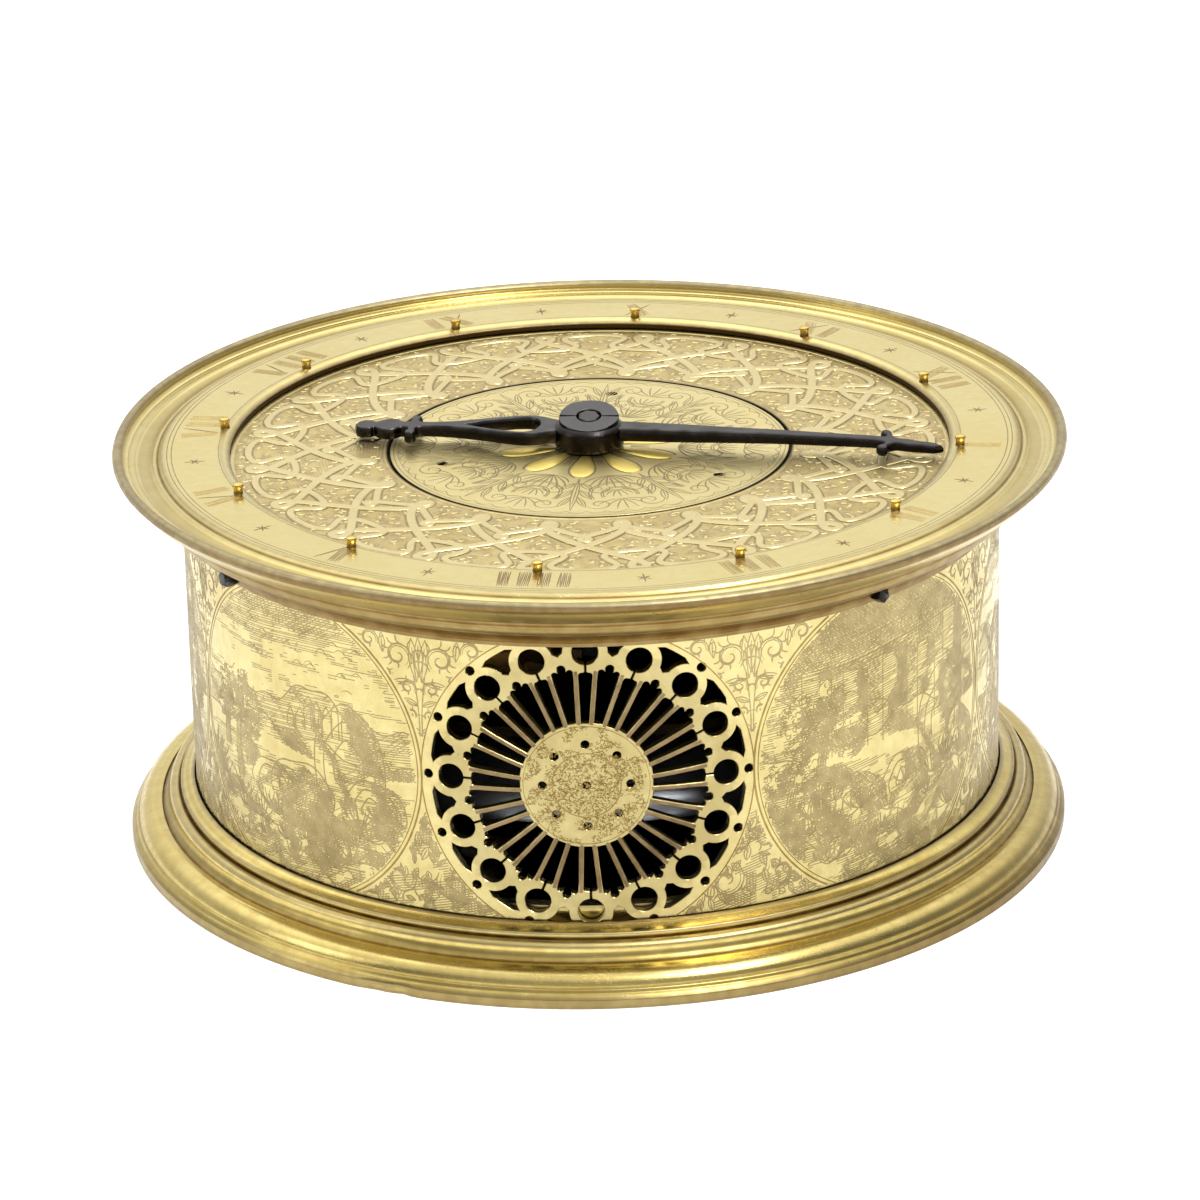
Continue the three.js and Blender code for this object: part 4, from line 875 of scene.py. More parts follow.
class Finish(Enum):
    """The finishes of the clock's pieces."""

    RIM = Metal("gilt_rim", (0.83, 0.71, 0.315), (0.68, 0.515, 0.165), worn_and_sheen=(0.29, 0.235, 0.14),
        grime_and_shade=(0.15, 0.075, 0.013), roughness=0.19, turning=0.8, mottling=0.4, waves=0.02, wear_and_sheen=0.9, dirt_and_shade=1.0)
    BASE = Metal("gilt_base", (0.80, 0.655, 0.235), (0.58, 0.41, 0.10), worn_and_sheen=(0.34, 0.275, 0.16),
        grime_and_shade=(0.10, 0.052, 0.012), roughness=0.17, turning=0.9, mottling=0.55, waves=0.03, dirt_and_shade=1.0)
    DRUM = Metal("gilt_drum", (0.62, 0.535, 0.25), (0.46, 0.355, 0.13), worn_and_sheen=(0.55, 0.44, 0.2),
        grime_and_shade=(0.05, 0.03, 0.01), roughness=0.2, mottling=0.6, wear_and_sheen=0.25, dirt_and_shade=1.0, scratches=0.9, fine=0.7,
        waves=0.2)
    SPOKE = Metal("filed_spokes", (0.27, 0.19, 0.095), (0.13, 0.085, 0.042), roughness=0.3, mottling=1.0,
        fine=1.2, relief=0.6)
    DIAL = Metal("gilt_dial", (0.83, 0.71, 0.335), (0.69, 0.55, 0.215), roughness=0.29, mottling=0.5,
        waves=0.12, wear_and_sheen=0.3, grime_and_shade=(0.045, 0.03, 0.014), dirt_and_shade=1.0)
    GROUND = Metal("matted_ground", (0.70, 0.57, 0.24), (0.52, 0.39, 0.15), roughness=0.34, mottling=0.9,
        fine=1.3, relief=0.7, waves=0.2, grime_and_shade=(0.045, 0.03, 0.014), dirt_and_shade=1.0)
    STRAP = Metal("gilt_straps", (0.74, 0.63, 0.33), (0.60, 0.49, 0.235), roughness=0.36, mottling=0.5,
        dirt_and_shade=0.8, waves=0.12)
    # The petals' deeper yellow is partly their gilding and partly a painted reflection of the gold and the dark hub
    # round them.
    PETAL = Metal("gilt_petals_reflection_tint", (0.90, 0.73, 0.22), (0.76, 0.56, 0.13), roughness=0.34, mottling=0.6,
        waves=0.1)
    ENGRAVED = Metal("engraved_lines", (0.40, 0.32, 0.155), (0.265, 0.205, 0.095), roughness=0.36, mottling=0.9,
        specks=0.0)
    SHALLOW = Metal("shallow_lines", (0.56, 0.45, 0.23), (0.42, 0.33, 0.17), roughness=0.34, mottling=0.9,
        specks=0.0)
    BORDER = Metal("engraved_borders", (0.36, 0.255, 0.085), (0.22, 0.145, 0.045), roughness=0.34, mottling=0.9,
        specks=0.0)
    # The light worn colour of the hours is partly rubbed gilding and partly a painted glint.
    NUMERAL = Metal("engraved_hours", (0.36, 0.25, 0.115), (0.21, 0.13, 0.05), worn_and_sheen=(0.68, 0.54, 0.24),
        roughness=0.4, mottling=0.9, wear_and_sheen=1.2, specks=0.0)
    # Near-black colour: painted shade on the lip's inner wall.
    LIP_SHADE = Metal("painted_lip_shade", (0.05, 0.033, 0.013), (0.022, 0.014, 0.006), roughness=0.5, mottling=0.9)
    PIN = Metal("gilt_pins", (0.82, 0.62, 0.2), (0.5, 0.32, 0.08), roughness=0.2, mottling=0.8)
    # The movement's plate and wheels are far darker than brass: painted shade for the inside of the closed case.
    PLATE_IN_SHADE = Metal("shaded_dull_brass", (0.014, 0.010, 0.005), (0.009, 0.006, 0.003), roughness=0.6, mottling=0.8)
    BRASS_IN_SHADE = Metal("wheel_brass", (0.055, 0.038, 0.016), (0.035, 0.024, 0.01), roughness=0.45, mottling=0.8)
    # The lighter worn colour is partly worn steel and partly the painted sheen of the hand's upper faces.
    BLACK = Metal("blackened_steel", (0.027, 0.024, 0.023), (0.016, 0.012, 0.011), worn_and_sheen=(0.12, 0.116, 0.115),
        grime_and_shade=(0.025, 0.015, 0.01), roughness=0.24, mottling=0.9, wear_and_sheen=1.0, specks=0.4, scratches=0.9, fine=1.0,
        relief=0.6, waves=0.1)
    # The steel is darkened as painted shade for the inside of the case, and the bell partly so.
    STEEL = Metal("shaded_grey_steel", (0.13, 0.13, 0.14), (0.08, 0.08, 0.085), worn_and_sheen=(0.2, 0.2, 0.21), roughness=0.4,
        mottling=0.7)
    BELL = Metal("bell_metal", (0.21, 0.225, 0.262), (0.12, 0.125, 0.142), worn_and_sheen=(0.3, 0.3, 0.32),
        roughness=0.42, mottling=0.8, turning=1.0)
    GUT = Metal("gut", (0.4, 0.28, 0.14), (0.3, 0.2, 0.09), roughness=0.6, mottling=0.8)

    def paint(self, piece: bpy.types.Object) -> None:
        """Gives a piece this finish."""
        piece.data.materials.clear()
        piece.data.materials.append(self.value.material())


class Slot(Enum):
    """The record's material slots named for the new pieces."""

    GILT = "gilt_brass"
    BLACK = "black_steel"
    STEEL = "steel"
    BELL = "bell_metal"


def shown(name: str, data: object) -> bpy.types.Object:
    """Puts a mesh, a light or a camera into the scene.

    Args:
        name: Name of the object.
        data: What it holds.

    Returns:
        The new object.
    """
    made = bpy.data.objects.new(name, data)
    bpy.context.scene.collection.objects.link(made)
    return made


def make_piece(name: str, shell: Shell, finish: Finish, replaces: Iterable[str] = (), body: str = "case",
               slot: Slot = Slot.GILT, sharp: float = 34) -> bpy.types.Object:
    """Writes a shell into a mesh, dresses it and lets it ride on its body.

    Args:
        name: The piece's name.
        shell: Its points and faces.
        finish: Its finish.
        replaces: CAD nodes that it stands for.
        body: The CAD body that it moves with.
        slot: The record's material slot; not used.
        sharp: Angle in degrees between faces above which their edge stays sharp.

    Returns:
        The object.
    """
    mesh = bpy.data.meshes.new(name)
    mesh.vertices.add(len(shell.points))
    mesh.vertices.foreach_set("co", (shell.points * METRES).astype(np.float32).ravel())
    loops = np.concatenate([shell.quads.ravel(), shell.tris.ravel()])
    mesh.loops.add(len(loops))
    mesh.loops.foreach_set("vertex_index", loops.astype(np.int32))
    fours, threes = len(shell.quads), len(shell.tris)
    mesh.polygons.add(fours + threes)
    starts = np.concatenate([np.arange(fours) * 4, fours * 4 + np.arange(threes) * 3])
    mesh.polygons.foreach_set("loop_start", starts.astype(np.int32))
    mesh.polygons.foreach_set("use_smooth", np.ones(fours + threes, bool))
    for label, values in zip(("wear_and_sheen", "dirt_and_shade"), shell.marks()):
        mesh.attributes.new(label, "FLOAT", "POINT").data.foreach_set("value", values.astype(np.float32))
    mesh.update(calc_edges=True)
    mesh.validate()
    mesh.set_sharp_from_angle(angle=math.radians(sharp))
    piece = shown(name, mesh)
    finish.paint(piece)
    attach(piece, body)
    if replaces:
        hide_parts(*replaces)
    LOG.info("%s: %d points, %d faces", name, len(shell.points), fours + threes)
    return piece


def round_normals(piece: bpy.types.Object) -> None:
    """Gives the drum's upright faces the true normals of a cylinder: the point's direction from the axis.

    Args:
        piece: The drum's wall.
    """
    upright = 0.985
    mesh = piece.data
    corner = np.zeros(len(mesh.loops), np.int32)
    mesh.loops.foreach_get("vertex_index", corner)
    place = np.zeros(len(mesh.vertices) * 3, np.float32)
    mesh.vertices.foreach_get("co", place)
    face = np.zeros(len(mesh.polygons) * 3, np.float32)
    mesh.polygons.foreach_get("normal", face)
    start, total = np.zeros(len(mesh.polygons), np.int32), np.zeros(len(mesh.polygons), np.int32)
    mesh.polygons.foreach_get("loop_start", start)
    mesh.polygons.foreach_get("loop_total", total)
    now = np.zeros(len(mesh.loops) * 3, np.float32)
    mesh.corner_normals.foreach_get("vector", now)
    way = place.reshape(-1, 3)[corner] * [1, 1, 0]
    way /= np.linalg.norm(way, axis=1, keepdims=True) + NOTHING
    normal = np.repeat(face.reshape(-1, 3), total, axis=0)
    facing = (normal * way).sum(1)
    chosen = np.where((np.abs(facing) > upright)[:, None], way * np.sign(facing)[:, None], now.reshape(-1, 3))
    mesh.normals_split_custom_set(chosen.tolist())


# Case


@dataclass
class Case:
    """Base, cover, rim, hours, touch pins and retaining pins.

    The twelve rubbing numbers say how far each hour's bars are lightened, partly worn bright and partly given a
    painted glint, from I to XII. The dents of the foot are (depth, azimuth from the first, half width in degrees).
    The line circles are (radius, width). The two rows that end the fields are heights on the outside of the rim and
    how much dirt and painted shade darken it there.
    """

    bead_radius: float = 0.8
    bead_middle: tuple[float, float] = (74.2, 64.0)
    chapter_height: float = 63.6
    first_hour: float = -6.6
    touch_circle: float = 58.4
    star_circle: float = 62.2
    letter_heights: tuple[float, float] = (58.9, 64.9)
    letter_widths: tuple[float, ...] = (3.0, 4.9, 4.9)
    rubbed_and_glint: tuple[float, ...] = (0.9, 0.8, 0.35, 0.0, 0.25, 0.75, 0.95, 0.5, 0.45, 0.3, 0.4, 0.55)
    line_circles: tuple[tuple[float, float], ...] = ((65.75, 0.16), (66.45, 0.16), (58.35, 0.12))
    dent_azimuth: float = -112.4
    dents: tuple[tuple[float, float, float], ...] = ((0.55, 0.0, 1.1), (0.35, -3.2, 1.6))
    base_segments: int = 340
    rim_segments: int = 360
    lip_segments: int = 240
    profile_step: float = 0.3
    groove_reach: float = 0.42
    underside_dirt_and_shade: tuple[tuple[float, ...], ...] = (
        (54.2, 54.8, 55.6, 56.6, 57.2, 58.5, 59.6, 60.5, 61.8, 62.8, 63.1, 63.4, 64.05, 64.4),
        (0.5, 0.9, 1.0, 0.95, 0.7, 0.75, 0.9, 0.62, 0.5, 0.25, 0.45, 0.8, 0.75, 0.0))

    def base(self) -> None:
        """The moulded base: foot, broad ovolo, bead and cavetto outside, groove and spigot inside."""
        profile = np.vstack([
            [[62.3, 0], [75.2, 0], [75.2, 1.45]],
            arc((75.0, 1.7), (74.2, 2.3), -0.12, 4), [[74.2, 2.75], [73.95, 2.85]],
            arc((73.95, 3.1), (71.25, 5.15), -0.17, 12), [[71.1, 5.25], [70.2, 5.2], [70.15, 5.0]],
            arc((70.1, 5.05), (69.0, 6.45), 0.14, 7), [[68.95, 6.6]], arc((68.95, 6.7), (67.25, 7.65), -0.3, 9),
            [[67.1, 7.6], [67.05, 8.5]], arc((66.9, 8.65), (65.0, 9.6), 0.07, 6), [[64.8, 9.6], [64.8, 4]],
            [[62.8, 4], [62.8, 11.3], [60.8, 11.3], [60.8, 4.5], [57, 4.5], [57, 2.5], [62.3, 2.5]],
        ])
        shell = lathe(profile, self.base_segments, self.profile_step, 0.1, self.groove_reach)
        azimuth = np.degrees(np.arctan2(shell.points[:, 1], shell.points[:, 0])) - self.dent_azimuth
        low = np.clip(1.9 - shell.points[:, 2], 0, 1) * (shell.across() > 72)
        push = -sum(depth * np.exp(-(((azimuth - at) / wide) ** 2)) for depth, at, wide in self.dents)
        shell.points[:, :2] *= 1 + (push * low / 75)[:, None]
        size, height = shell.across(), shell.points[:, 2]
        # Darker towards the bottom of the foot; painted shade round the groove where the drum stands and on the side
        # towards +X.
        foot = 0.45 * np.clip((4.6 - height) / 2, 0, 1) + 0.5 * (size < 64.95) * (height < 9.7)
        shaded_side = 0.32 * np.clip(np.cos(np.radians(azimuth + self.dent_azimuth + 12)), 0, 1) ** 2 * (size > 65)
        shell.dirt_and_shade = np.maximum(shell.dirt_and_shade, foot + shaded_side)
        shell.wear_and_sheen = np.maximum(shell.wear_and_sheen, 0.7 * (size > 74.9))
        make_piece("base_moulding", shell, Finish.BASE, ["base_ring"])

    def cover(self) -> None:
        """The cover in the base, a disc with the two winding holes."""
        holes = [round_line(WINDING_RADIUS, 40, spot)[::-1] for spot in WINDING_SPOTS]
        points, tris = filled([round_line(61.9, 160), *holes], 4)
        rings = [(0, 2.2), (0.1, 2.1), (0.1, 0.8), (0, 0.7)]
        make_piece("base_cover", thick(points, tris, rings, on_plane(0)), Finish.BASE, ["bottom_cover"])

    def rim(self) -> None:
        """The rim: chapter flat, shallow cavetto and bead on top, cavetto mouldings and skirt below."""
        r, (x, z) = self.bead_radius, self.bead_middle
        angle = np.radians(np.linspace(-48, 205, 16))
        bead = np.stack([x + r * np.cos(angle), z + r * np.sin(angle)], 1)
        profile = np.vstack([
            [[56.6, 62.2], [64.8, 62.2], [64.8, 54.2], [65.3, 54.2], [65.35, 54.85]],
            arc((65.45, 54.95), (67.95, 57.15), 0.13, 9), [[68.0, 57.2], [68.4, 57.25]],
            arc((68.4, 57.3), (69.5, 58.85), -0.14, 7), [[69.65, 58.9], [69.65, 59.4], [70.3, 59.45], [70.45, 59.95]],
            arc((70.5, 60.05), (74.5, 63.3), -0.075, 12), bead,
            [[73.35, 63.45], [72.55, 63.2], [72.5, 63.0], [71.5, 62.95]],
            arc((71.4, 62.85), (68.7, 62.85), 0.13, 11), [[68.6, 63.0], [68.0, 63.0], [67.85, 63.15], [67.35, 63.6]],
            [[58.0, 63.6], [57.0, 63.2], [56.65, 63.05], [56.6, 62.95]],
        ])
        shell = lathe(profile, self.rim_segments, self.profile_step, 0.09, self.groove_reach)
        size, height = shell.across(), shell.points[:, 2]
        # Dirt and painted shade darken the underside and skirt by height, the top cavetto inside the bead keeps less of
        # its corner darkening, and painted shade darkens the lip's inner edge.
        under = (size > 65) * ((height < 62.45) | (size > 73.7)) * np.interp(height, *self.underside_dirt_and_shade)
        shell.dirt_and_shade *= np.where((size > 71) & (size < 73.8) & (height > 62.5), 0.45, 1)
        shell.dirt_and_shade = np.maximum(shell.dirt_and_shade, under + 0.25 * (size < 57.4) * (height < 63.45))
        shell.wear_and_sheen = np.maximum(shell.wear_and_sheen, 0.3 * np.clip((size - 74.35) / 0.4, 0, 1))
        make_piece("rim_moulding", shell, Finish.RIM, ["rim_ring"])
        # A dark band on the lip's inner wall: painted shade in the gap between lip and dial.
        wall = np.array([[56.57, 62.22], [56.57, 62.88], [56.75, 62.92], [56.75, 62.22]])
        make_piece("lip_painted_shade", lathe(wall, self.lip_segments, 1.0), Finish.LIP_SHADE)
        lines = [strips(ring_path(radius), width, on_plane(self.chapter_height)) for radius, width in self.line_circles]
        make_piece("rim_lines", joined(lines), Finish.ENGRAVED)

    def hours(self) -> None:
        """Roman hours as hatched bars and thin strokes, tops outwards, and a star at each half hour."""
        bars, thin, glint_and_wear = [], [], []
        wide = dict(zip("IVX", self.letter_widths))
        for hour, letters in enumerate(("I", "II", "III", "IIII", "V", "VI", "VII", "VIII", "IX", "X", "XI", "XII")):
            azimuth = self.hour_azimuth(hour)
            right = np.array([math.sin(azimuth), -math.cos(azimuth)])
            out = np.array([math.cos(azimuth), math.sin(azimuth)])
            x = -sum(wide[c] for c in letters) / 2
            for letter in letters:
                x += wide[letter] / 2
                for a, b, heavy in self.letter(letter, x):
                    path = np.array([a, b])
                    path = path[:, :1] * right + path[:, 1:] * out
                    (bars if heavy else thin).append(path)
                    glint_and_wear += [self.rubbed_and_glint[hour]] * heavy
                x += wide[letter] / 2
            star = self.hour_azimuth(hour + 0.5)
            middle = self.star_circle * np.array([math.cos(star), math.sin(star)])
            ray = star + np.arange(3)[:, None] * math.pi / 3
            ends = np.hstack([np.cos(ray), np.sin(ray)]) * np.array([[1.6], [1.1], [1.1]])
            thin += [np.array([middle - e, middle + e]) for e in ends]
        bars, thin = np.array(bars), np.array(thin)
        place, rng = on_plane(self.chapter_height), np.random.default_rng(8)
        steps, strokes = 7, 7
        t = np.linspace(0, 1, steps)[None, :, None]
        way = bars[:, 1] - bars[:, 0]
        left = leftwards(way) / np.linalg.norm(way, axis=1, keepdims=True)
        hatch = []
        for share in np.linspace(-0.8, 0.8, strokes):
            lean, trim = rng.normal(0.1, 0.05, (len(bars), 1)), rng.uniform(0, 0.07, (2, len(bars), 1))
            starts = bars[:, 0] + left * (share - lean) + way * trim[0]
            ends = bars[:, 1] + left * (share + lean) - way * trim[1]
            hatch.append(bent(starts, ends, rng.normal(0, 0.05, len(bars)), steps))
        widths = tapered(steps, rng.uniform(0.15, 0.25, len(bars) * strokes), 0.6)
        bar = strips(np.concatenate(hatch), widths, place, lift=0.012)
        # Each bar is lightened by its hour's rubbing number: partly wear and partly a painted glint.
        bar.wear_and_sheen = np.repeat(np.tile(glint_and_wear, strokes), len(bar.points) // (strokes * len(bars)))
        fine = strips(thin[:, :1] * (1 - t) + thin[:, 1:] * t, tapered(steps, 0.3, 0.75), place, lift=0.012)
        make_piece("hours_hatched", joined([bar, fine]), Finish.NUMERAL)

    def hour_azimuth(self, hour: float) -> float:
        """Azimuth of an hour in radians, where 0 is one o'clock; the hours run clockwise."""
        return math.radians(self.first_hour - 30 * hour)

    def letter(self, letter: str, x: float) -> list[tuple[tuple[float, float], tuple[float, float], bool]]:
        """Strokes of a Roman letter.

        Args:
            letter: I, V or X.
            x: Middle of the letter, clockwise from the hour's own line.

        Returns:
            (start, end, heavy) for each stroke; the second number of a point is its distance from the centre.
        """
        low, high = self.letter_heights
        if letter == "I":
            return [((x, low), (x, high), True)]
        if letter == "V":
            return [((x - 1.45, high), (x - 0.1, low), True), ((x + 1.9, high), (x + 0.3, low), False)]
        return [((x - 1.5, high), (x + 1.5, low), True), ((x + 1.8, high), (x - 1.8, low), False)]

    def touch_pins(self) -> None:
        """A small peg at each hour with a slightly swollen, rounded head."""
        z = self.chapter_height
        profile = [[0, -0.2], [0.78, -0.2], [0.72, 0.1], [0.68, 0.4], [0.72, 0.8], [0.84, 1.05], [0.87, 1.25],
                   [0.8, 1.42], [0.56, 1.54], [0.26, 1.6], [0, 1.62]]
        shape = knob(np.array([[radius, z + height] for radius, height in profile]), 28)
        angle = np.arctan2(shape.points[:, 1], shape.points[:, 0])
        shape.points[:, :2] *= 1 + 0.05 * np.cos(3 * angle + 1)[:, None]
        # The pegs darken towards their feet.
        shape.dirt_and_shade = np.clip(1.3 - (shape.points[:, 2] - z) * 1.5, 0, 1)
        rng = np.random.default_rng(12)
        for hour in range(12):
            azimuth = self.hour_azimuth(hour)
            lean = rng.normal(0, 0.03, 2)
            matrix = np.eye(4)
            matrix[:2, 2] = lean
            spot = np.array([self.touch_circle * math.cos(azimuth), self.touch_circle * math.sin(azimuth)])
            matrix[:2, 3] = spot - lean * z
            make_piece(f"touch_pin_turned_{hour + 1:02d}", shape.moved(matrix), Finish.PIN,
                       [f"touch_pin_{hour + 1:02d}"])

    def retaining_pins(self) -> None:
        """Four hand-filed steel pins through the skirt, some with a blunt head and some with a pointed end."""
        for i, azimuth in enumerate(PIN_AZIMUTHS):
            blunt = i % 2 == 0
            end = ([[1.3, 65.4], [1.5, 66.3], [1.4, 67.2], [0.9, 67.7], [0, 67.75]] if blunt
                   else [[1.5, 65.2], [1.6, 66.0], [1.2, 66.9], [0.4, 67.6], [0, 67.6]])
            profile = np.array([[0, 61.8], [0.7, 61.8], [0.9, 65.0], *end])
            shape = knob(profile, 16 if blunt else 5)
            rng = np.random.default_rng(i)
            shape.points[:, :2] *= 1 + rng.normal(0, 0.08, (len(shape.points), 1))
            shape.wear_and_sheen = rng.random(len(shape.points)) ** 2 * (shape.points[:, 2] > 66)
            lie, a = np.array([[0, 0, 1.0], [0, 1, 0], [-1, 0, 0]]), math.radians(azimuth)
            turn = np.array([[math.cos(a), -math.sin(a), 0], [math.sin(a), math.cos(a), 0], [0, 0, 1]])
            matrix = np.eye(4)
            matrix[:3, :3] = turn @ lie
            matrix[2, 3] = PIN_HEIGHT
            make_piece(f"filed_pin_{i + 1}", shape.moved(matrix), Finish.BLACK,
                       [f"retaining_pin_{i + 1}"], slot=Slot.BLACK, sharp=20)

    def build(self) -> None:
        """Makes every piece of the case."""
        self.base()
        self.cover()
        self.rim()
        self.hours()
        self.touch_pins()
        self.retaining_pins()


def ring_path(radius: float, steps: int = 240, middle: tuple[float, float] = (0, 0)) -> Array:
    """One closed path round a circle, its first point repeated at the end."""
    angle = np.linspace(0, TURN, steps + 1)
    return (np.array(middle) + radius * rays(angle))[None]


# Drum


@dataclass
class Rosette:
    """The pierced rosette: rings with keyhole slots, wide lobed slots, border openings and drilled holes.

    The disc's shift from the middle fades over shift_run up to shift_end. The rings under undrilled have no
    hole at the border.
    """

    middle: tuple[float, float] = (0.15, 32.1)
    count: int = 16
    ring_circle: float = 20.95
    hole: float = 2.08
    ring: float = 3.3
    disc: float = 9.9
    disc_shift: tuple[float, float] = (-0.25, -0.4)
    shift_end: float = 18.0
    shift_run: float = 8.0
    kerf: float = 0.24
    slot_end: float = 17.75
    spoke: float = 0.27
    spoke_in: float = 0.97
    spoke_out: float = 1.5
    spoke_end: float = 18.3
    middle_hole: float = 0.72
    disc_hole: float = 0.74
    disc_hole_circle: float = 6.6
    border_hole: float = 0.8
    border_hole_circle: float = 24.55
    undrilled: tuple[int, ...] = (4, 12)
    border_edge: float = 24.3
    small_lobe: float = 0.6
    large_lobe: float = 0.74
    sides: int = 16
    engraved_circles: tuple[tuple[float, float], ...] = ((5.15, 0.2), (9.5, 0.12))
    punches: int = 3600

    def turned(self, points: Array, azimuth: float) -> Array:
        """Points given as (outwards, aside) turned to an azimuth about the rosette's middle.

        Args:
            points: Points (outwards, aside); near the disc they follow the disc, which sits slightly off the middle.
            azimuth: Angle to turn to.

        Returns:
            The points on the developed wall.
        """
        flat = np.asarray(points, float)
        share = np.clip((self.shift_end - np.linalg.norm(flat, axis=1)) / self.shift_run, 0, 1)[:, None]
        return flat @ turn_matrix(azimuth) + self.middle + share * self.disc_shift

    def aside(self, out: Array | float, side: float) -> Array | float:
        """Distance of a spoke's edge from the ring's own line.

        Args:
            out: Distance from the rosette's middle.
            side: -1 for the spoke's inner and 1 for its outer edge.

        Returns:
            The distance.
        """
        share = (self.spoke_out - self.spoke_in) * (np.asarray(out) - self.disc) / (self.spoke_end - self.disc)
        return self.spoke_in + share + side * self.spoke

    def keyhole(self) -> Array:
        """A ring's hole, its saw kerf and the narrow slot between the two spokes.

        Returns:
            The loop.
        """
        gap = math.asin(self.kerf / self.hole)
        angle = np.linspace(math.pi - gap, gap - math.pi, 34)
        hole = np.stack([self.ring_circle + self.hole * np.cos(angle), self.hole * np.sin(angle)], 1)
        out = np.linspace(self.disc, self.slot_end - 0.55, 8)
        side = np.stack([out, self.aside(out, -1)], 1)
        top = arc((self.slot_end - 0.4, float(side[-1, 1]) - 0.02), (self.slot_end - 0.05, self.kerf + 0.12), 0.25, 5)
        upper = np.vstack([side, top, [[self.slot_end + 0.1, self.kerf]]])
        return np.vstack([upper, hole, upper[::-1] * [1, -1]])

    def wide_slot(self) -> Array:
        """The wide slot between two rings, with three lobes at its outer end.

        Returns:
            The loop.
        """
        half = math.pi / self.count
        out = np.linspace(self.disc + 0.05, 17.6, 8)
        edge = np.stack([out, self.aside(out, 1)], 1)
        edge = edge @ turn_matrix(-half)
        edge[:, 1] = np.minimum(edge[:, 1], -0.4)
        x, y = edge[-1]
        lobe = np.radians(np.linspace(-80, 60, 7))
        small = np.stack([x + 0.15 + self.small_lobe * np.cos(lobe), y + 0.62 + self.small_lobe * np.sin(lobe)], 1)
        middle = np.radians(np.linspace(-105, 0, 7))
        large = np.stack([x + 0.95 + self.large_lobe * np.cos(middle), self.large_lobe * np.sin(middle)], 1)
        whole = np.vstack([edge[:-1], small, large])
        return np.vstack([whole, (whole[:-1] * [1, -1])[::-1]])

    def border_opening(self) -> Array:
        """The three-cornered opening between two rings and the border.

        Returns:
            The loop.
        """
        half = math.pi / self.count
        angle = np.radians(np.linspace(92, 32, 8))
        along, aside = self.ring_circle + self.ring * np.cos(angle), self.ring * np.sin(angle)
        x, y = along * math.cos(half) + aside * math.sin(half), aside * math.cos(half) - along * math.sin(half)
        side = np.stack([x, y], 1)[y < -0.12]
        outer = self.border_edge * rays(np.array([-0.075, -0.035, 0]))
        whole = np.vstack([[[20.5, 0]], side[np.hypot(*side.T) < 24.15], outer])
        return np.vstack([whole, (whole[1:-1] * [1, -1])[::-1]])

    def openings(self) -> list[Array]:
        """All openings on the developed wall.

        Returns:
            Their loops.
        """
        pitch = TURN / self.count
        holes, slant = 8, 0.01
        loops = [self.turned(round_line(self.middle_hole, self.sides), 0)]
        drilled = round_line(self.disc_hole, self.sides, (self.disc_hole_circle, 0))
        loops += [self.turned(drilled, i * TURN / holes + slant) for i in range(holes)]
        outer = round_line(self.border_hole, self.sides, (self.border_hole_circle, 0))
        for i in range(self.count):
            loops += [self.turned(self.keyhole(), i * pitch), self.turned(self.wide_slot(), (i + 0.5) * pitch),
                      self.turned(self.border_opening(), (i + 0.5) * pitch)]
            if i not in self.undrilled:
                loops.append(self.turned(outer, i * pitch))
        return loops

    def spokes(self, place: Place) -> Shell:
        """Half-round filed bars on the spokes: their section rises in a curve between the spoke's edges.

        Args:
            place: Puts flat points on the wall.

        Returns:
            The bars.
        """
        out = np.linspace(self.disc - 0.15, self.slot_end + 0.2, 9)
        half = np.array([[-1.15, -0.5], [-1.15, -0.05], [-0.95, 0.01], [0, 0.05]])
        section = np.vstack([half, half[-2::-1] * [-1, 1]])
        lines = [self.turned(np.stack([out, k * self.aside(out, 0)], 1), i * TURN / self.count)
                 for i in range(self.count) for k in (-1, 1)]
        return strips(np.array(lines), 2 * self.spoke, place, section, lift=0.0)

    def marks(self, place: Place) -> Shell:
        """Engraving on the rosette's disc: circles, a matted middle and scattered punch marks.

        Args:
            place: Puts flat points on the wall.

        Returns:
            The strokes.
        """
        rng = np.random.default_rng(5)
        middle = np.array(self.middle) + self.disc_shift
        shells = [strips(ring_path(radius, 90, middle), width, place) for radius, width in self.engraved_circles]
        edge, matted = 9.7, 4.9
        angle, size = rng.random(self.punches) * TURN, edge * np.sqrt(rng.random(self.punches))
        spots = size[..., None] * rays(angle)
        spots = spots[(size < matted) | (value_noise(spots, 1.3, 4) > 0.45)] + middle
        way = rng.random(len(spots)) * TURN
        run = rays(way) * rng.uniform(0.12, 0.36, (len(spots), 1))
        dents = bent(spots - run, spots + run, rng.normal(0, 0.08, len(spots)), 4)
        shells.append(strips(dents, tapered(4, 0.13), place, keep=lambda p: np.hypot(*(p - middle).T) < edge))
        return joined(shells)


class Scene(Enum):
    """What a landscape shows besides its hills."""

    RIVER_TOWN = "river_town"
    RUINS = "ruins"
    WOOD = "wood"
    TOWER = "tower"


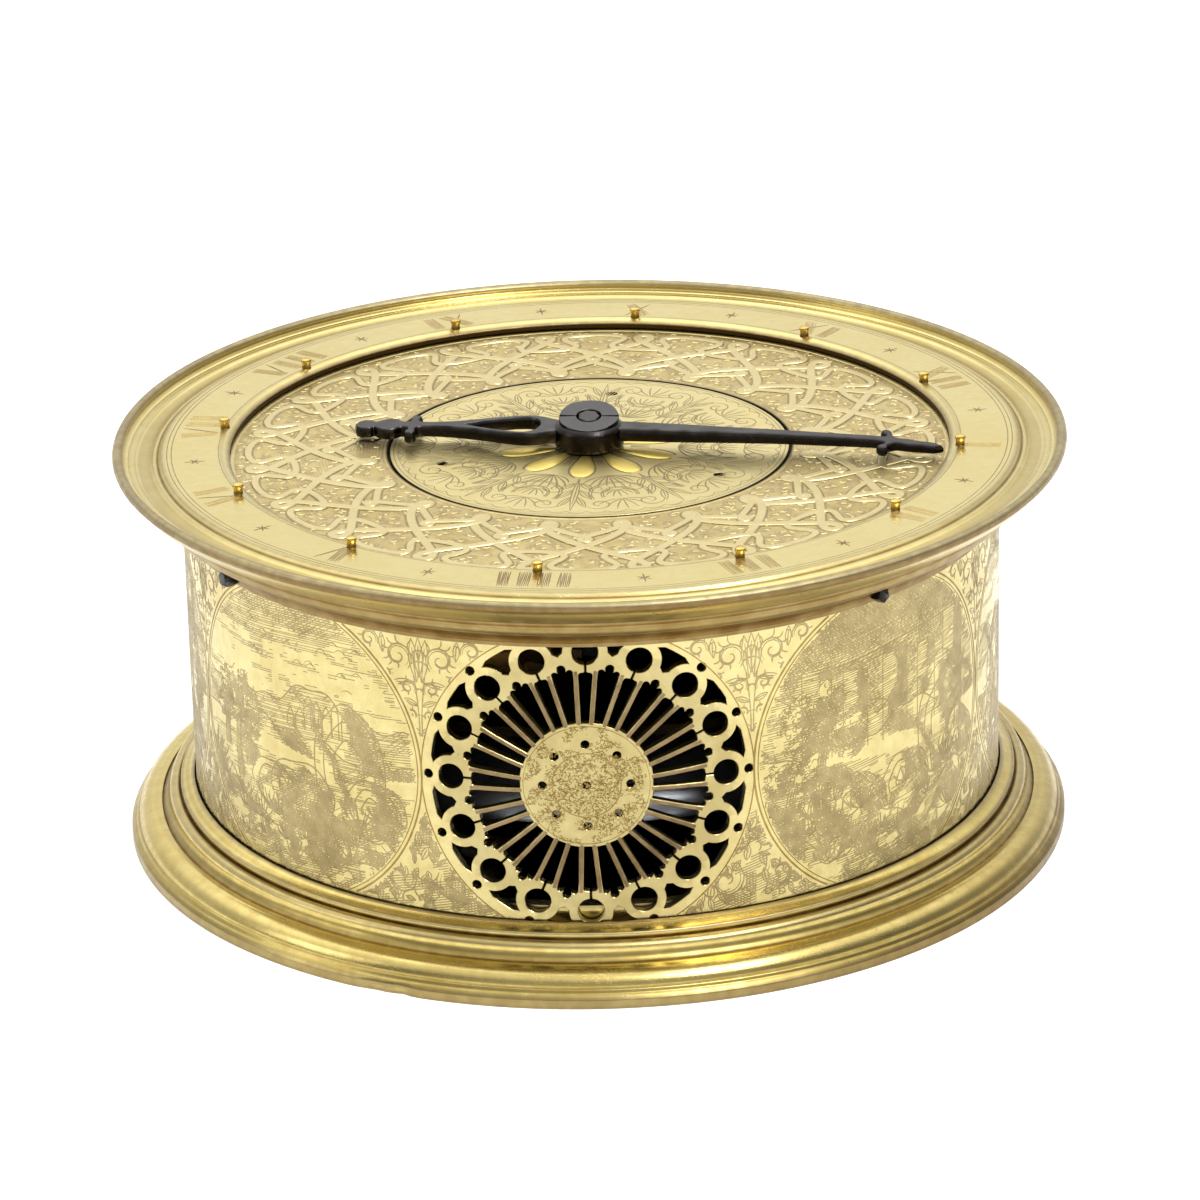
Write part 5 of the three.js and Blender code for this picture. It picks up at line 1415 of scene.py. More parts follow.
@dataclass
class Landscape:
    """An engraved landscape in a round border: sky, mountains, buildings, hills, trees and plants, drawn by seed.

    The crowns of a tree are (aside, height, size) as shares of its height. The directions of the hatching are
    (degrees, gap, tone above which it starts).
    """

    middle: tuple[float, float]
    seed: int
    kind: Scene
    radius: float = 24.3
    reach: float = 25.0
    crowns: tuple[tuple[float, float, float], ...] = (
        (0, 0.78, 0.3), (-0.22, 0.62, 0.22), (0.24, 0.66, 0.24), (0.08, 0.95, 0.18), (-0.12, 0.9, 0.17))
    directions: tuple[tuple[float, float, float], ...] = (
        (4, 0.38, 0.18), (33, 0.38, 0.34), (-41, 0.4, 0.5), (80, 0.4, 0.68))

    def __post_init__(self) -> None:
        """Draws the numbers that place the hills, trees and buildings."""
        rng = np.random.default_rng(self.seed)
        self.rng = rng
        self.side = 1 if rng.random() < 0.5 else -1
        self.horizon = rng.uniform(2.5, 5.0)
        self.phases = rng.random(8) * TURN
        crowded = self.kind is Scene.WOOD
        count = 5 if crowded else 3
        self.trees = [(self.side * rng.uniform(6, 19) if i else self.side * 13.5, rng.uniform(-13, -5),
                       rng.uniform(15, 24) if crowded or not i else rng.uniform(7, 12)) for i in range(count)]
        side = -self.side
        self.rocks = [(side * rng.uniform(9, 13), rng.uniform(-4, 1), rng.uniform(5, 8), rng.uniform(7, 11)),
                      (side * rng.uniform(2, 6), rng.uniform(-9, -6), rng.uniform(5, 8), rng.uniform(4, 6)),
                      (-side * rng.uniform(3, 7), rng.uniform(-12, -8), rng.uniform(4, 7), rng.uniform(4, 6)),
                      (side * rng.uniform(15, 19), rng.uniform(-10, -4), rng.uniform(4, 6), rng.uniform(5, 9))]
        if self.kind is Scene.WOOD:
            self.buildings = []
        else:
            self.buildings = self.ruin() if self.kind is Scene.RUINS else self.town()

    def town(self) -> list[tuple[float, float, float, float]]:
        """Houses and towers on the horizon.

        Returns:
            (left, bottom, width, height) of each.
        """
        rng, single = self.rng, self.kind is Scene.TOWER
        start = -self.side * (12 if single else 15)
        boxes = [(start + self.side * i * 1.9, self.horizon - 0.6, rng.uniform(1.3, 2.4), rng.uniform(1.6, 4.6))
                 for i in range(9)]
        if single:
            boxes.append((start, self.horizon - 4, 5.5, 17))
        return boxes

    def ruin(self) -> list[tuple[float, float, float, float]]:
        """Broken walls with arches that reach high into the sky."""
        rng = self.rng
        return [(x, self.horizon - 5, rng.uniform(4.5, 6), rng.uniform(12, 19)) for x in (-17, -9.5, -1.5, 6.5, 13.5)]

    def ridge(self, s: Array, which: int) -> Array:
        """Height of a ridge: a level plus three waves of s.

        Args:
            s: Places along the wall.
            which: 0 for the mountains, 1 for the far hills, 2 for the near bank.

        Returns:
            The heights.
        """
        a, b, c = self.phases[which], self.phases[which + 2], self.phases[which + 4]
        level = (self.horizon + 3.5, self.horizon - 2.5, -11.5)[which]
        size = (2.2, 1.6, 2.4)[which]
        return level + size * (np.sin(s * 0.16 + a) + 0.5 * np.sin(s * 0.37 + b) + 0.25 * np.sin(s * 0.9 + c))

    def tone(self, p: Array) -> Array:
        """Darkness at points on the developed wall, painted from the back to the front.

        Args:
            p: The points.

        Returns:
            Numbers from 0 to 1.
        """
        s, z = p[:, 0] - self.middle[0], p[:, 1] - self.middle[1]
        q = np.stack([s, z], 1)
        broad, small, fine = (value_noise(q * np.array(k), size, self.seed + i)
                              for i, (size, k) in enumerate(((7, (1, 2.2)), (2.2, (1, 1)), (0.8, (1, 1)))))
        streak = np.clip(np.sin(z * 1.9 + 5 * broad + s * 0.1), 0, 1)
        heavy = 0.32 if self.kind is Scene.RUINS else 0.04
        tone = heavy + 0.42 * broad * streak + 0.32 * np.clip((z - 12) / 10, 0, 1) + 0.15 * small
        under = z < self.ridge(s, 0)
        tone = np.where(under, 0.3 + 0.5 * np.clip(np.sin(s * 0.8 + z * 0.9 + self.phases[3]), 0, 1) * small, tone)
        for left, bottom, width, height in self.buildings:
            wall = (s > left) & (s < left + width) & (z > bottom) & (z < bottom + height + 0.5 * np.sin(s * 3 + height))
            shade = np.where(s > left + width * 0.55, 0.78, 0.3)
            if height > 9:
                over = np.maximum(z - bottom - height * 0.45, 0) / 1.6
                arch = np.hypot((s - left - width / 2) / (width * 0.3), over) < 1
                shade = np.where(arch, 0.98, shade + 0.2 * (np.sin(z * 3.2) > 0.8))
            tone = np.where(wall, shade, tone)
        hill = z < self.ridge(s, 1)
        rolls = np.clip(np.sin(s * 0.33 + z * 0.5 + self.phases[5]) + small - 0.5, 0, 1)
        tone = np.where(hill, 0.24 + 0.6 * rolls, tone)
        water = hill & (np.abs(z - self.horizon + 6 + 1.2 * np.sin(s * 0.12)) < 1.4)
        tone = np.where(water, 0.1, tone)
        for x, y, wide, tall in self.rocks:
            u, v = (s - x) / wide, (z - y) / tall
            bulge = u**2 + v**2 + 0.35 * (small - 0.5) + 0.12 * np.sin(4 * u + 6 * v + x)
            fold = np.sin(5.5 * u + 2.6 * np.sin(2.2 * v + x) + 0.9 * x)
            shade = 0.2 + 0.35 * (u > -0.1) * np.clip(u + 0.5, 0, 1) + 0.5 * np.clip(fold, 0, 1) ** 2
            shade = shade + 0.2 * (fine - 0.5)
            tone = np.where(bulge < 1, shade, tone)
        for x, base, tall in self.trees:
            trunk = np.abs(s - x - 0.6 * np.sin(z * 0.4)) < 0.75 + 0.04 * (base + tall * 0.5 - z)
            trunk &= (z > base) & (z < base + tall * 0.62)
            tone = np.where(trunk, np.where(s > x, 0.95, 0.4), tone)
            for dx, dz, size in self.crowns:
                cx, cz, r = x + dx * tall, base + dz * tall, size * tall * 0.72
                away = np.hypot(s - cx, z - cz) / r + 0.55 * (fine - 0.5) + 0.3 * (small - 0.5)
                light = ((s - cx) * 0.6 - (z - cz) * 0.75) / r
                tone = np.where(away < 1, np.clip(0.58 + 0.42 * light + 0.7 * (fine - 0.5), 0.08, 1), tone)
        bank = z < self.ridge(s, 2)
        tone = np.where(bank, np.clip(0.5 + 0.95 * (small - 0.42) + 0.5 * (fine - 0.5), 0, 1), tone)
        return np.clip(tone + 0.25 * (fine - 0.5) + 0.04, 0, 1)

    def keep(self, p: Array) -> Array:
        """Whether points lie in the round border and on the wall that shows."""
        return (np.hypot(*(p - self.middle).T) < self.radius) & in_view(p)

    def hatching(self, place: Place) -> list[Shell]:
        """Hatched tone: long wavy lines in four directions, kept where the tone passes each line's threshold.

        Args:
            place: Puts flat points on the wall.

        Returns:
            The strokes of each direction.
        """
        shells = []
        for k, (angle, gap, low) in enumerate(self.directions):
            a = math.radians(angle)
            along = np.arange(-self.reach, self.reach + 0.01, 0.85)
            across = np.arange(-self.reach, self.reach, gap)
            rng = np.random.default_rng(self.seed * 7 + k)
            t, c = np.meshgrid(along, across)
            c = c + 0.22 * np.sin(t * 0.21 + rng.random(c.shape[:1])[:, None] * 0.6 + k)
            c = c + rng.normal(0, 0.05, (len(across), 1))
            paths = np.stack([t * math.cos(a) - c * math.sin(a), t * math.sin(a) + c * math.cos(a)], -1) + self.middle
            flat = paths.reshape(-1, 2)
            tone = self.tone(flat).reshape(t.shape)
            chance = rng.random(t.shape) * 0.1 + low
            held = (tone > chance).ravel() & self.keep(flat)
            width = 0.1 + 0.12 * tone
            shells.append(strips(paths, width, place, keep=lambda p, held=held: held, lift=0.004 + 0.003 * k))
        return shells

    def outlines(self, place: Place) -> list[Shell]:
        """Contours: ridges, rocks, walls, leaf curls in the trees, plants on the bank and clouds.

        Args:
            place: Puts flat points on the wall.

        Returns:
            The strokes.
        """
        rng = np.random.default_rng(self.seed + 99)

        def drawn(paths: Array, width: Array | float, lift: float) -> Shell:
            """Strokes of the design that lie in the border."""
            return strips(paths, width, place, keep=self.keep, lift=lift)

        s = np.linspace(-self.reach, self.reach, 90)
        ridges = np.array([np.stack([s, self.ridge(s, k)], 1) for k in range(3)]) + self.middle
        turn = np.linspace(-0.4, math.pi + 0.4, 90)
        edges = [np.stack([x + w * size * np.cos(turn), y + h * size * np.sin(turn) + 0.3 * np.sin(5 * turn + x)], 1)
                 for x, y, w, h in self.rocks for size in (0.97, 0.7, 0.42)]
        shells = [drawn(np.concatenate([ridges, np.array(edges) + self.middle]), 0.22, 0.014)]
        runs = [[(x, z), (x, z + h), (x + w, z + h), (x + w, z)] for x, z, w, h in self.buildings]
        if runs:
            corner = np.array(runs, float) + self.middle
            t = np.linspace(0, 1, 8)[None, :, None]
            lines = np.concatenate([corner[:, i, None] * (1 - t) + corner[:, i + 1, None] * t for i in range(3)])
            gable = (corner[:, 1] + corner[:, 2]) / 2 + [0, 1.4]
            roofs = [bent(corner[:, i], gable, 0.0, 8) for i in (1, 2)]
            shells.append(drawn(np.concatenate([lines, *roofs]), 0.17, 0.014))
        for x, base, tall in self.trees:
            count = int(tall * 16)
            angle, size = rng.random(count) * TURN, np.sqrt(rng.random(count))
            spots = np.stack([x + size * np.cos(angle) * tall * 0.4,
                              base + tall * 0.76 + size * np.sin(angle) * tall * 0.32], 1)
            spots = spots[value_noise(spots, 1.6, self.seed + 3) > 0.42] + self.middle
            way = rng.uniform(0, math.pi, len(spots))
            run = rays(way) * rng.uniform(0.3, 0.6, (len(spots), 1))
            curls = bent(spots - run, spots + run, rng.uniform(0.25, 0.45, len(spots)), 5)
            shells.append(drawn(curls, tapered(5, 0.2), 0.016))
            trunk = [[[x + k * 0.8, base - 0.5], [x + k * 0.65 + 0.3, base + tall * 0.6]] for k in (-1, -0.3, 0.4, 1)]
            foot, fork = (np.array(trunk)[:, i] + self.middle for i in (0, 1))
            shells.append(drawn(bent(foot, fork, 0.5, 12), 0.2, 0.016))
        plants, blades = 46, 9
        roots = np.stack([rng.uniform(-23, 23, plants), rng.uniform(-21, -8, plants)], 1)
        fans = np.repeat(roots, blades, 0) + self.middle
        spread = np.tile(np.linspace(-1.15, 1.15, blades), plants) + rng.normal(0, 0.12, plants * blades)
        reach = np.repeat(rng.uniform(1.6, 4.6, plants), blades) * rng.uniform(0.6, 1.1, plants * blades)
        tips = fans + rays(spread)[:, ::-1] * reach[:, None]
        widths = tapered(7, rng.uniform(0.16, 0.34, plants * blades))
        shells.append(drawn(bent(fans, tips, spread * -0.45, 7), widths, 0.018))
        clouds = np.stack([rng.uniform(-16, 16, 26), rng.uniform(10, 21, 26)], 1) + self.middle
        puffs = bent(clouds - [1.1, 0], clouds + [1.1, 0], rng.uniform(0.35, 0.9, 26), 8)
        shells.append(drawn(puffs, tapered(8, 0.14), 0.014))
        return shells


@dataclass
class Drum:
    """The drum wall, pierced in front, with engraved roundels and foliage between them."""

    radius: float = 64.5
    wall: float = 1.4
    bottom: float = 4.3
    top: float = 60.0
    roundel: float = 25.3
    roundel_height: float = 31.7
    handled_radius: float = 22.5
    columns: int = 240
    rows: int = 24
    seam: float = 1e-4
    ease: float = 0.09
    pin_hole: float = 1.2
    roundel_lines: tuple[tuple[float, float], ...] = ((25.15, 0.3), (24.5, 0.16))
    rosette_lines: tuple[tuple[float, float], ...] = ((25.55, 0.2),)
    rosette: Rosette = field(default_factory=Rosette)

    def place(self) -> Place:
        """Placing on the outside of the wall."""
        return on_drum(self.radius)

    def pin_spot(self, azimuth: float) -> tuple[float, float]:
        """Where a retaining pin goes through, on the developed wall."""
        turn = (azimuth + 90 + 180) % 360 - 180
        return math.radians(turn) * self.radius, PIN_HEIGHT

    def sheet(self) -> None:
        """The whole wall as one developed sheet, pierced, closed at the back and bent round."""
        half = math.pi * self.radius
        heights = np.linspace(self.bottom, self.top, self.rows + 1)
        along = np.linspace(-half, half, self.columns + 1)
        edge = np.vstack([
            np.stack([along[:-1], np.full(self.columns, self.bottom)], 1),
            np.stack([np.full(self.rows, half), heights[:-1]], 1),
            np.stack([along[:0:-1], np.full(self.columns, self.top)], 1),
            np.stack([np.full(self.rows, -half), heights[:0:-1]], 1),
        ])
        pins = [round_line(self.pin_hole, 20, self.pin_spot(azimuth)) for azimuth in PIN_AZIMUTHS]
        points, tris = filled([edge, *self.rosette.openings(), *pins], 2.2)
        at_left, at_right = (np.flatnonzero(np.abs(points[:, 0] - x) < self.seam) for x in (-half, half))
        match = np.abs(points[at_right][:, None, 1] - points[at_left][None, :, 1]).argmin(1)
        index = np.arange(len(points))
        index[at_right] = at_left[match]
        tris = index[tris]
        rings = [(0, 0), (self.ease, -self.ease), (self.ease, self.ease - self.wall), (0, -self.wall)]
        shell = thick(points, tris, rings, self.place()).compact()
        depth = self.radius - shell.across()
        along = self.radius * (np.arctan2(shell.points[:, 1], shell.points[:, 0]) + 0.5 * math.pi)
        handled = 0.26 * (np.hypot(along, shell.points[:, 2] - self.roundel_height) < self.handled_radius)
        # Painted shade: the walls of the openings darken with depth and the drum's inner face is dark.
        shell.dirt_and_shade = np.maximum(np.interp(depth, [0.02, 0.12, 1.3, 1.38], [0, 0.3, 0.5, 1]), handled)
        piece = make_piece("drum_wall", shell, Finish.DRUM, ["drum_band"], sharp=30)
        round_normals(piece)

    def borders(self) -> None:
        """Double lines round each roundel and round the rosette."""
        shells = []
        for i in range(BAYS):
            middle = (i * TURN * self.radius / BAYS, self.roundel_height)
            for radius, width in self.roundel_lines if i else self.rosette_lines:
                shells.append(strips(ring_path(radius, 200, middle), width, self.place(), keep=in_view, lift=0.02))
        make_piece("roundel_borders", joined(shells), Finish.BORDER)
        make_piece("rosette_spokes", self.rosette.spokes(self.place()), Finish.SPOKE)
        make_piece("rosette_engraving", self.rosette.marks(self.place()), Finish.BORDER)

    def landscapes(self) -> None:
        """A landscape in each of the seven closed roundels."""
        kinds = [Scene.RUINS, Scene.WOOD, Scene.TOWER, Scene.RIVER_TOWN, Scene.WOOD, Scene.RUINS, Scene.RIVER_TOWN]
        for i, kind in enumerate(kinds, 1):
            view = Landscape((i * TURN * self.radius / BAYS, self.roundel_height), 20 + i, kind)
            shell = joined([*view.hatching(self.place()), *view.outlines(self.place())])
            make_piece(f"landscape_{i}", shell, Finish.ENGRAVED)

    def foliage(self) -> None:
        """Scrolls and leaves above and hatched leaves below, between neighbouring roundels."""
        shells = []
        for i in range(BAYS):
            x = (i + 0.5) * TURN * self.radius / BAYS
            shells += self.spandrel_above(x) + self.spandrel_below(x, i)
        make_piece("spandrel_foliage", joined(shells), Finish.ENGRAVED)

    def between(self, x: float) -> Callable[[Array], Array]:
        """Keeps what lies outside the roundels on both sides of a spandrel.

        Args:
            x: Middle of the spandrel.

        Returns:
            Says of flat points whether they are kept.
        """
        pitch = TURN * self.radius / BAYS

        def keep(p: Array) -> Array:
            """Whether points lie in the spandrel.

            Args:
                p: Points on the developed wall.

            Returns:
                True or false for each point.
            """
            left, right = (np.hypot(p[:, 0] - x - k * pitch / 2, p[:, 1] - self.roundel_height) for k in (-1, 1))
            outside = np.minimum(left, right) > self.roundel + 0.4
            return outside & in_view(p) & (np.abs(p[:, 0] - x) < pitch / 2)

        return keep

    def scroll(
        self, middle: tuple[float, float], radius: float, first: float, turns: float, leaves: int
    ) -> list[tuple[Array, Array]]:
        """A scroll with leaf lobes along its outer side.

        Args:
            middle: Middle of the scroll.
            radius: Its first radius.
            first: Angle at which it starts.
            turns: Turns that it winds inwards, negative for clockwise.
            leaves: Number of lobes.

        Returns:
            (paths, widths) of its strokes.
        """
        line = spiral(np.array(middle), radius, first, turns, 0.16)
        along = np.linspace(1, 20, leaves).astype(int)
        roots, before = line[along], line[along - 1]
        ahead = (roots - before) / np.linalg.norm(roots - before, axis=1, keepdims=True)
        away = roots - middle
        away /= np.linalg.norm(away, axis=1, keepdims=True)
        tips = roots + (away * 1.1 + ahead * 1.2) * np.linspace(1.5, 0.8, leaves)[:, None] * radius / 3
        wide = math.copysign(0.16 * radius, turns)
        lobes = np.concatenate([bent(roots, tips, wide, 9), bent(roots - ahead * 0.3 * radius, tips, wide * 1.6, 9)])
        inner = np.array(middle) + (line - middle) * 0.8
        return [(line[None], tapered(34, 0.26, 0.6)), (inner[None, :26], tapered(26, 0.13, 0.6)),
                (lobes, tapered(9, 0.17, 0.5))]

    def spandrel_above(self, x: float) -> list[Shell]:
        """A forked stem with paired, leafy scrolls and a bud on plain metal.

        Args:
            x: Middle of the spandrel.

        Returns:
            The strokes.
        """
        place, keep, strokes = self.place(), self.between(x), []
        rows = ((3.5, 50.5, 2.5, 1.25, -1.35, 9), (8.4, 52.4, 1.7, 1.1, -1.25, 6), (1.9, 45.6, 1.45, 1.2, -1.3, 6),
                (5.6, 47.3, 0.95, 0.6, 1.2, 4), (1.5, 41.4, 0.9, 1.2, -1.2, 4), (11.6, 50.6, 0.9, 0.7, 1.2, 4))
        for k in (-1, 1):
            for aside, high, radius, first, turns, leaves in rows:
                start = math.pi * (first if k > 0 else 1 - first)
                strokes += self.scroll((x + k * aside, high), radius, start, k * turns, leaves)
            roots = np.array([[0, 35.6], [0, 38.0], [k * 0.3, 42.8], [k * 0.9, 46.6], [k * 6.0, 50.6], [k * 0.4, 46.6]])
            tips = np.array([[k * 1.3, 37.0], [k * 1.5, 39.6], [k * 2.6, 43.8], [k * 4.6, 46.2], [k * 6.2, 53.8],
                             [k * 1.2, 53.6]])
            leaves = leaf_pairs(roots + [x, 0], tips + [x, 0], [0.3, 0.35, 0.4, 0.5, 0.5, 0.75])
            strokes.append((leaves, tapered(9, 0.18, 0.5)))
        foot, fork = (np.array([[x - aside, z], [x + aside, z]]) for aside, z in ((0.3, 35.0), (0.9, 47.6)))
        strokes.append((bent(foot, fork, [-0.35, 0.35], 14), 0.2))
        strokes.append((leaf_pairs(np.array([[x, 47.4]]), np.array([[x, 53.9]]), [0.7]), tapered(9, 0.2, 0.5)))
        return [strips(paths, widths, place, keep=keep, lift=0.014) for paths, widths in strokes]

    def spandrel_below(self, x: float, seed: int) -> list[Shell]:
        """Crowded scrolls and leaves over hatching.

        Args:
            x: Middle of the spandrel.
            seed: Number that varies the leaves.

        Returns:
            The strokes.
        """
        place, keep, rng = self.place(), self.between(x), np.random.default_rng(seed + 40)
        shells = []
        for slope, low in ((0.25, 0.34), (-0.6, 0.55)):
            t, c = np.meshgrid(np.arange(-15, 15, 0.85), np.arange(0, 40, 0.42))
            lines = np.stack([t + x, c + slope * t], -1)
            flat = lines.reshape(-1, 2)
            held = keep(flat) & (value_noise(flat, 1.9, seed + 5) > low) & (flat[:, 1] < self.roundel_height - 1.7)
            shells.append(strips(lines, 0.17, place, keep=lambda p, held=held: held))
        for k in (-1, 1):
            for aside, high, radius, leaves in ((4.4, 14.2, 2.9, 7), (9.8, 12.0, 2.0, 5), (2.2, 20.4, 1.7, 5)):
                parts = self.scroll((x + k * aside, high), radius, math.pi * (0.8 if k > 0 else 0.2), k * 1.3, leaves)
                shells += [strips(paths, widths * 1.2, place, keep=keep, lift=0.016) for paths, widths in parts]
        count = 150
        roots = np.stack([rng.uniform(-13, 13, count) + x, rng.uniform(9.5, 27, count)], 1)
        way = rng.uniform(-1.4, 1.4, count)
        tips = roots + rays(way)[:, ::-1] * rng.uniform(1.2, 2.8, (count, 1))
        leaves = leaf_pairs(roots, tips, rng.uniform(0.3, 0.6, count))
        shells.append(strips(leaves, tapered(9, 0.2, 0.5), place, keep=keep, lift=0.014))
        return shells

    def build(self) -> None:
        """Makes every piece of the drum."""
        self.sheet()
        self.borders()
        self.landscapes()
        self.foliage()


# Dial


@dataclass
class Dial:
    """The dial plate with its raised straps on a matted ground, and the alarm disc in its middle."""

    level: float = 61.9
    ground: float = 61.8
    inner: float = 32.2
    outer: float = 55.9
    disc: float = 31.6
    hole_spots: tuple[tuple[float, float], ...] = ((24.6, 82.5), (24.0, -163.0), (24.7, -34.5))
    hole_radius: float = 0.95
    hub_hole: float = 2.1
    disc_gap: float = 0.22
    petal_phase: float = -95.0
    petal_count: int = 10
    petal_start: float = 5.2
    petal_length: float = 9.0
    dash_gap: float = 0.5
    curl_tries: int = 9000

    def plate(self) -> None:
        """The plate: a lowered ground between two plain borders, and the ledge under the alarm disc."""
        g, top = self.ground, self.level
        profile = np.array([[28.4, 60.3], [64.5, 60.3], [64.5, top], [self.outer + 0.1, top], [self.outer, g],
                            [self.inner + 0.25, g], [self.inner + 0.1, top], [31.9, top], [31.9, 60.9], [28.4, 60.9]])
        shell = lathe(profile, 256, 0.8, 0.05)
        # Painted shade: the ledge under the alarm disc is darkened.
        shell.dirt_and_shade = np.maximum(shell.dirt_and_shade, 1.0 * (shell.across() < 31.98))
        make_piece("dial_plate_turned", shell, Finish.GROUND, ["dial_plate"])
        inner, outer, low, high = self.outer + 0.15, 58.2, 61.7, top + 0.02
        border = np.array([[inner, low], [outer, low], [outer, high], [inner, high]])
        make_piece("dial_border", lathe(border, 256, 0.8, 0.05), Finish.DIAL)

    def straps(self) -> tuple[Array, Array]:
        """Middle lines and widths of the straps: radius and angle both follow sines, so the bands bulge.

        Returns:
            The lines, one in a row, and their widths.
        """
        t = np.linspace(0, TURN, 2161)
        rows = ((10, 0.0, 44.0, 9.8, 0.085, 1.45), (10, math.pi, 44.0, 9.8, 0.085, 1.45),
                (20, 0.5 * math.pi, 50.2, 3.7, -0.05, 1.2), (20, 0.5 * math.pi, 38.0, 3.7, 0.05, 1.2))
        radius = np.array([middle + wave * np.sin(count * t + phase) for count, phase, middle, wave, _, _ in rows])
        angle = np.array([t + swing * np.sin(2 * (count * t + phase)) for count, phase, _, _, swing, _ in rows])
        return radius[..., None] * rays(angle), np.array([row[-1] for row in rows])[:, None]

    def strapwork(self) -> None:
        """Raised interlaced straps, passing over and under by turns, with dark outlines on the ground."""
        lines, width = self.straps()
        t = np.linspace(0, TURN, lines.shape[1])
        over = 0.05 + 0.03 * np.sin(20 * t[None] + np.arange(len(lines))[:, None] * 1.9)
        made = strips(lines, width, on_plane(self.level), STRAP_SECTION, lift=over)
        make_piece("dial_straps", made, Finish.STRAP)
        way = np.gradient(lines, axis=1)
        way /= np.linalg.norm(way, axis=2, keepdims=True)
        left = leftwards(way)
        edges = np.concatenate([lines + left * (width[..., None] / 2 + 0.1) * k for k in (-1, 1)])
        made = strips(edges[:, ::2], 0.34, on_plane(self.ground), lift=0.012)
        make_piece("dial_strap_outlines", made, Finish.ENGRAVED)

    def ground_work(self) -> None:
        """Fine dashes round the dial, and small curls and sprigs wherever the straps leave room."""
        lines, place, rng = self.straps()[0][:, ::12].reshape(-1, 2), on_plane(self.ground), np.random.default_rng(3)

        def clear(p: Array, gap: float) -> Array:
            """Whether points lie on the ground, well away from the straps' middle lines.

            Args:
                p: The points.
                gap: Distance that they need.

            Returns:
                True or false for each point.
            """
            size = np.hypot(p[:, 0], p[:, 1])
            found = (size > self.inner + 0.4) & (size < self.outer - 0.4)
            found[found] = (((p[found][:, None] - lines[None]) ** 2).sum(2) > gap**2).all(1)
            return found

        t = np.linspace(0, TURN, 720)
        dashes = np.arange(self.inner + self.dash_gap, self.outer, self.dash_gap)[:, None, None] * rays(t)
        patchy = value_noise(dashes.reshape(-1, 2), 1.2, 6) > 0.42
        shells = [strips(dashes, 0.17, place, keep=lambda p: clear(p, 0.75) & patchy)]
        angle = rng.random(self.curl_tries) * TURN
        size = np.sqrt(rng.uniform(33**2, 55.5**2, self.curl_tries))
        spots = size[..., None] * rays(angle)
        spots = spots[clear(spots, 1.35)]
        spots = spots[np.unique((spots / 2.2).astype(int) @ [1, 1000], return_index=True)[1]]
        run = np.linspace(0, 1, 14)[None]
        turn = rng.random((len(spots), 1)) * TURN + np.where(rng.random((len(spots), 1)) < 0.5, -8, 8) * run
        reach = rng.uniform(0.7, 1.0, (len(spots), 1)) * (1 - 0.75 * run)
        curls = spots[:, None] + reach[..., None] * rays(turn)
        shells.append(strips(curls, tapered(14, 0.3, 0.5), place, lift=0.02))
        make_piece("dial_hatching", joined(shells), Finish.SHALLOW)
        way = rng.random(len(spots)) * TURN
        tips = spots + 0.95 * rays(way)
        leaf = np.array([[-1, 0.0], [-0.5, 0.05], [0, 0.06], [0.5, 0.05], [1, 0.0]])
        made = strips(bent(spots, tips, 0.25, 6), tapered(6, 0.5, 0.8), place, leaf, lift=0.01)
        make_piece("dial_leaves", made, Finish.DIAL)

    def alarm(self) -> None:
        """The alarm disc: a plain disc with petals round the hub, engraved sprays and three setting holes."""
        spots = [(r * math.cos(math.radians(a)), r * math.sin(math.radians(a))) for r, a in self.hole_spots]
        holes = [round_line(self.hole_radius, 20, spot) for spot in spots]
        points, tris = filled([round_line(self.disc - self.disc_gap, 200), round_line(self.hub_hole, 24), *holes], 1.8)
        rings = [(0, 0), (0.08, -0.08), (0.08, -0.65), (0, -0.7)]
        plate = thick(points, tris, rings, on_plane(self.level))
        # Painted shade: the disc's edge and underside are darkened.
        plate.dirt_and_shade = 1.0 * (plate.points[:, 2] < self.level - 0.05)
        make_piece("alarm_plate", plate, Finish.DIAL, ["alarm_disc"], "alarm")
        make_piece("alarm_petals", self.petals(), Finish.PETAL, body="alarm")
        make_piece("alarm_engraving", self.sprays(), Finish.ENGRAVED, body="alarm")

    def petal(self, u: Array) -> Array:
        """Half width of a petal at shares u of its length: narrow at the hub and round at its outer end."""
        return 0.7 + 1.2 * np.clip(np.sin(math.pi * u**1.6), 0, 1) ** 0.7

    def petal_place(self, i: float) -> Place:
        """Placing on the disc, turned to a petal or, at a half, between two."""
        return on_plane(self.level, i * 360 / self.petal_count + self.petal_phase)

    def petals(self) -> Shell:
        """Ten drop-shaped petals, each a low dome over its outline.

        Returns:
            The petals.
        """
        u, v = np.meshgrid(np.linspace(0, 1, 21), np.linspace(-1, 1, 11), indexing="ij")
        x, y = self.petal_start + self.petal_length * u, self.petal(u) * v * np.where(u > 0.97, 0.4, 1)
        z = 0.3 * (1 - v**2) ** 0.5 * np.clip(np.sin(math.pi * (0.1 + 0.9 * u)), 0, 1) ** 0.5
        shells = []
        for i in range(self.petal_count):
            place = self.petal_place(i)
            shells.append(Shell(place(np.stack([x.ravel(), y.ravel()], 1), z.ravel() - 0.01), grid_quads(21, 11)))
        return joined(shells)

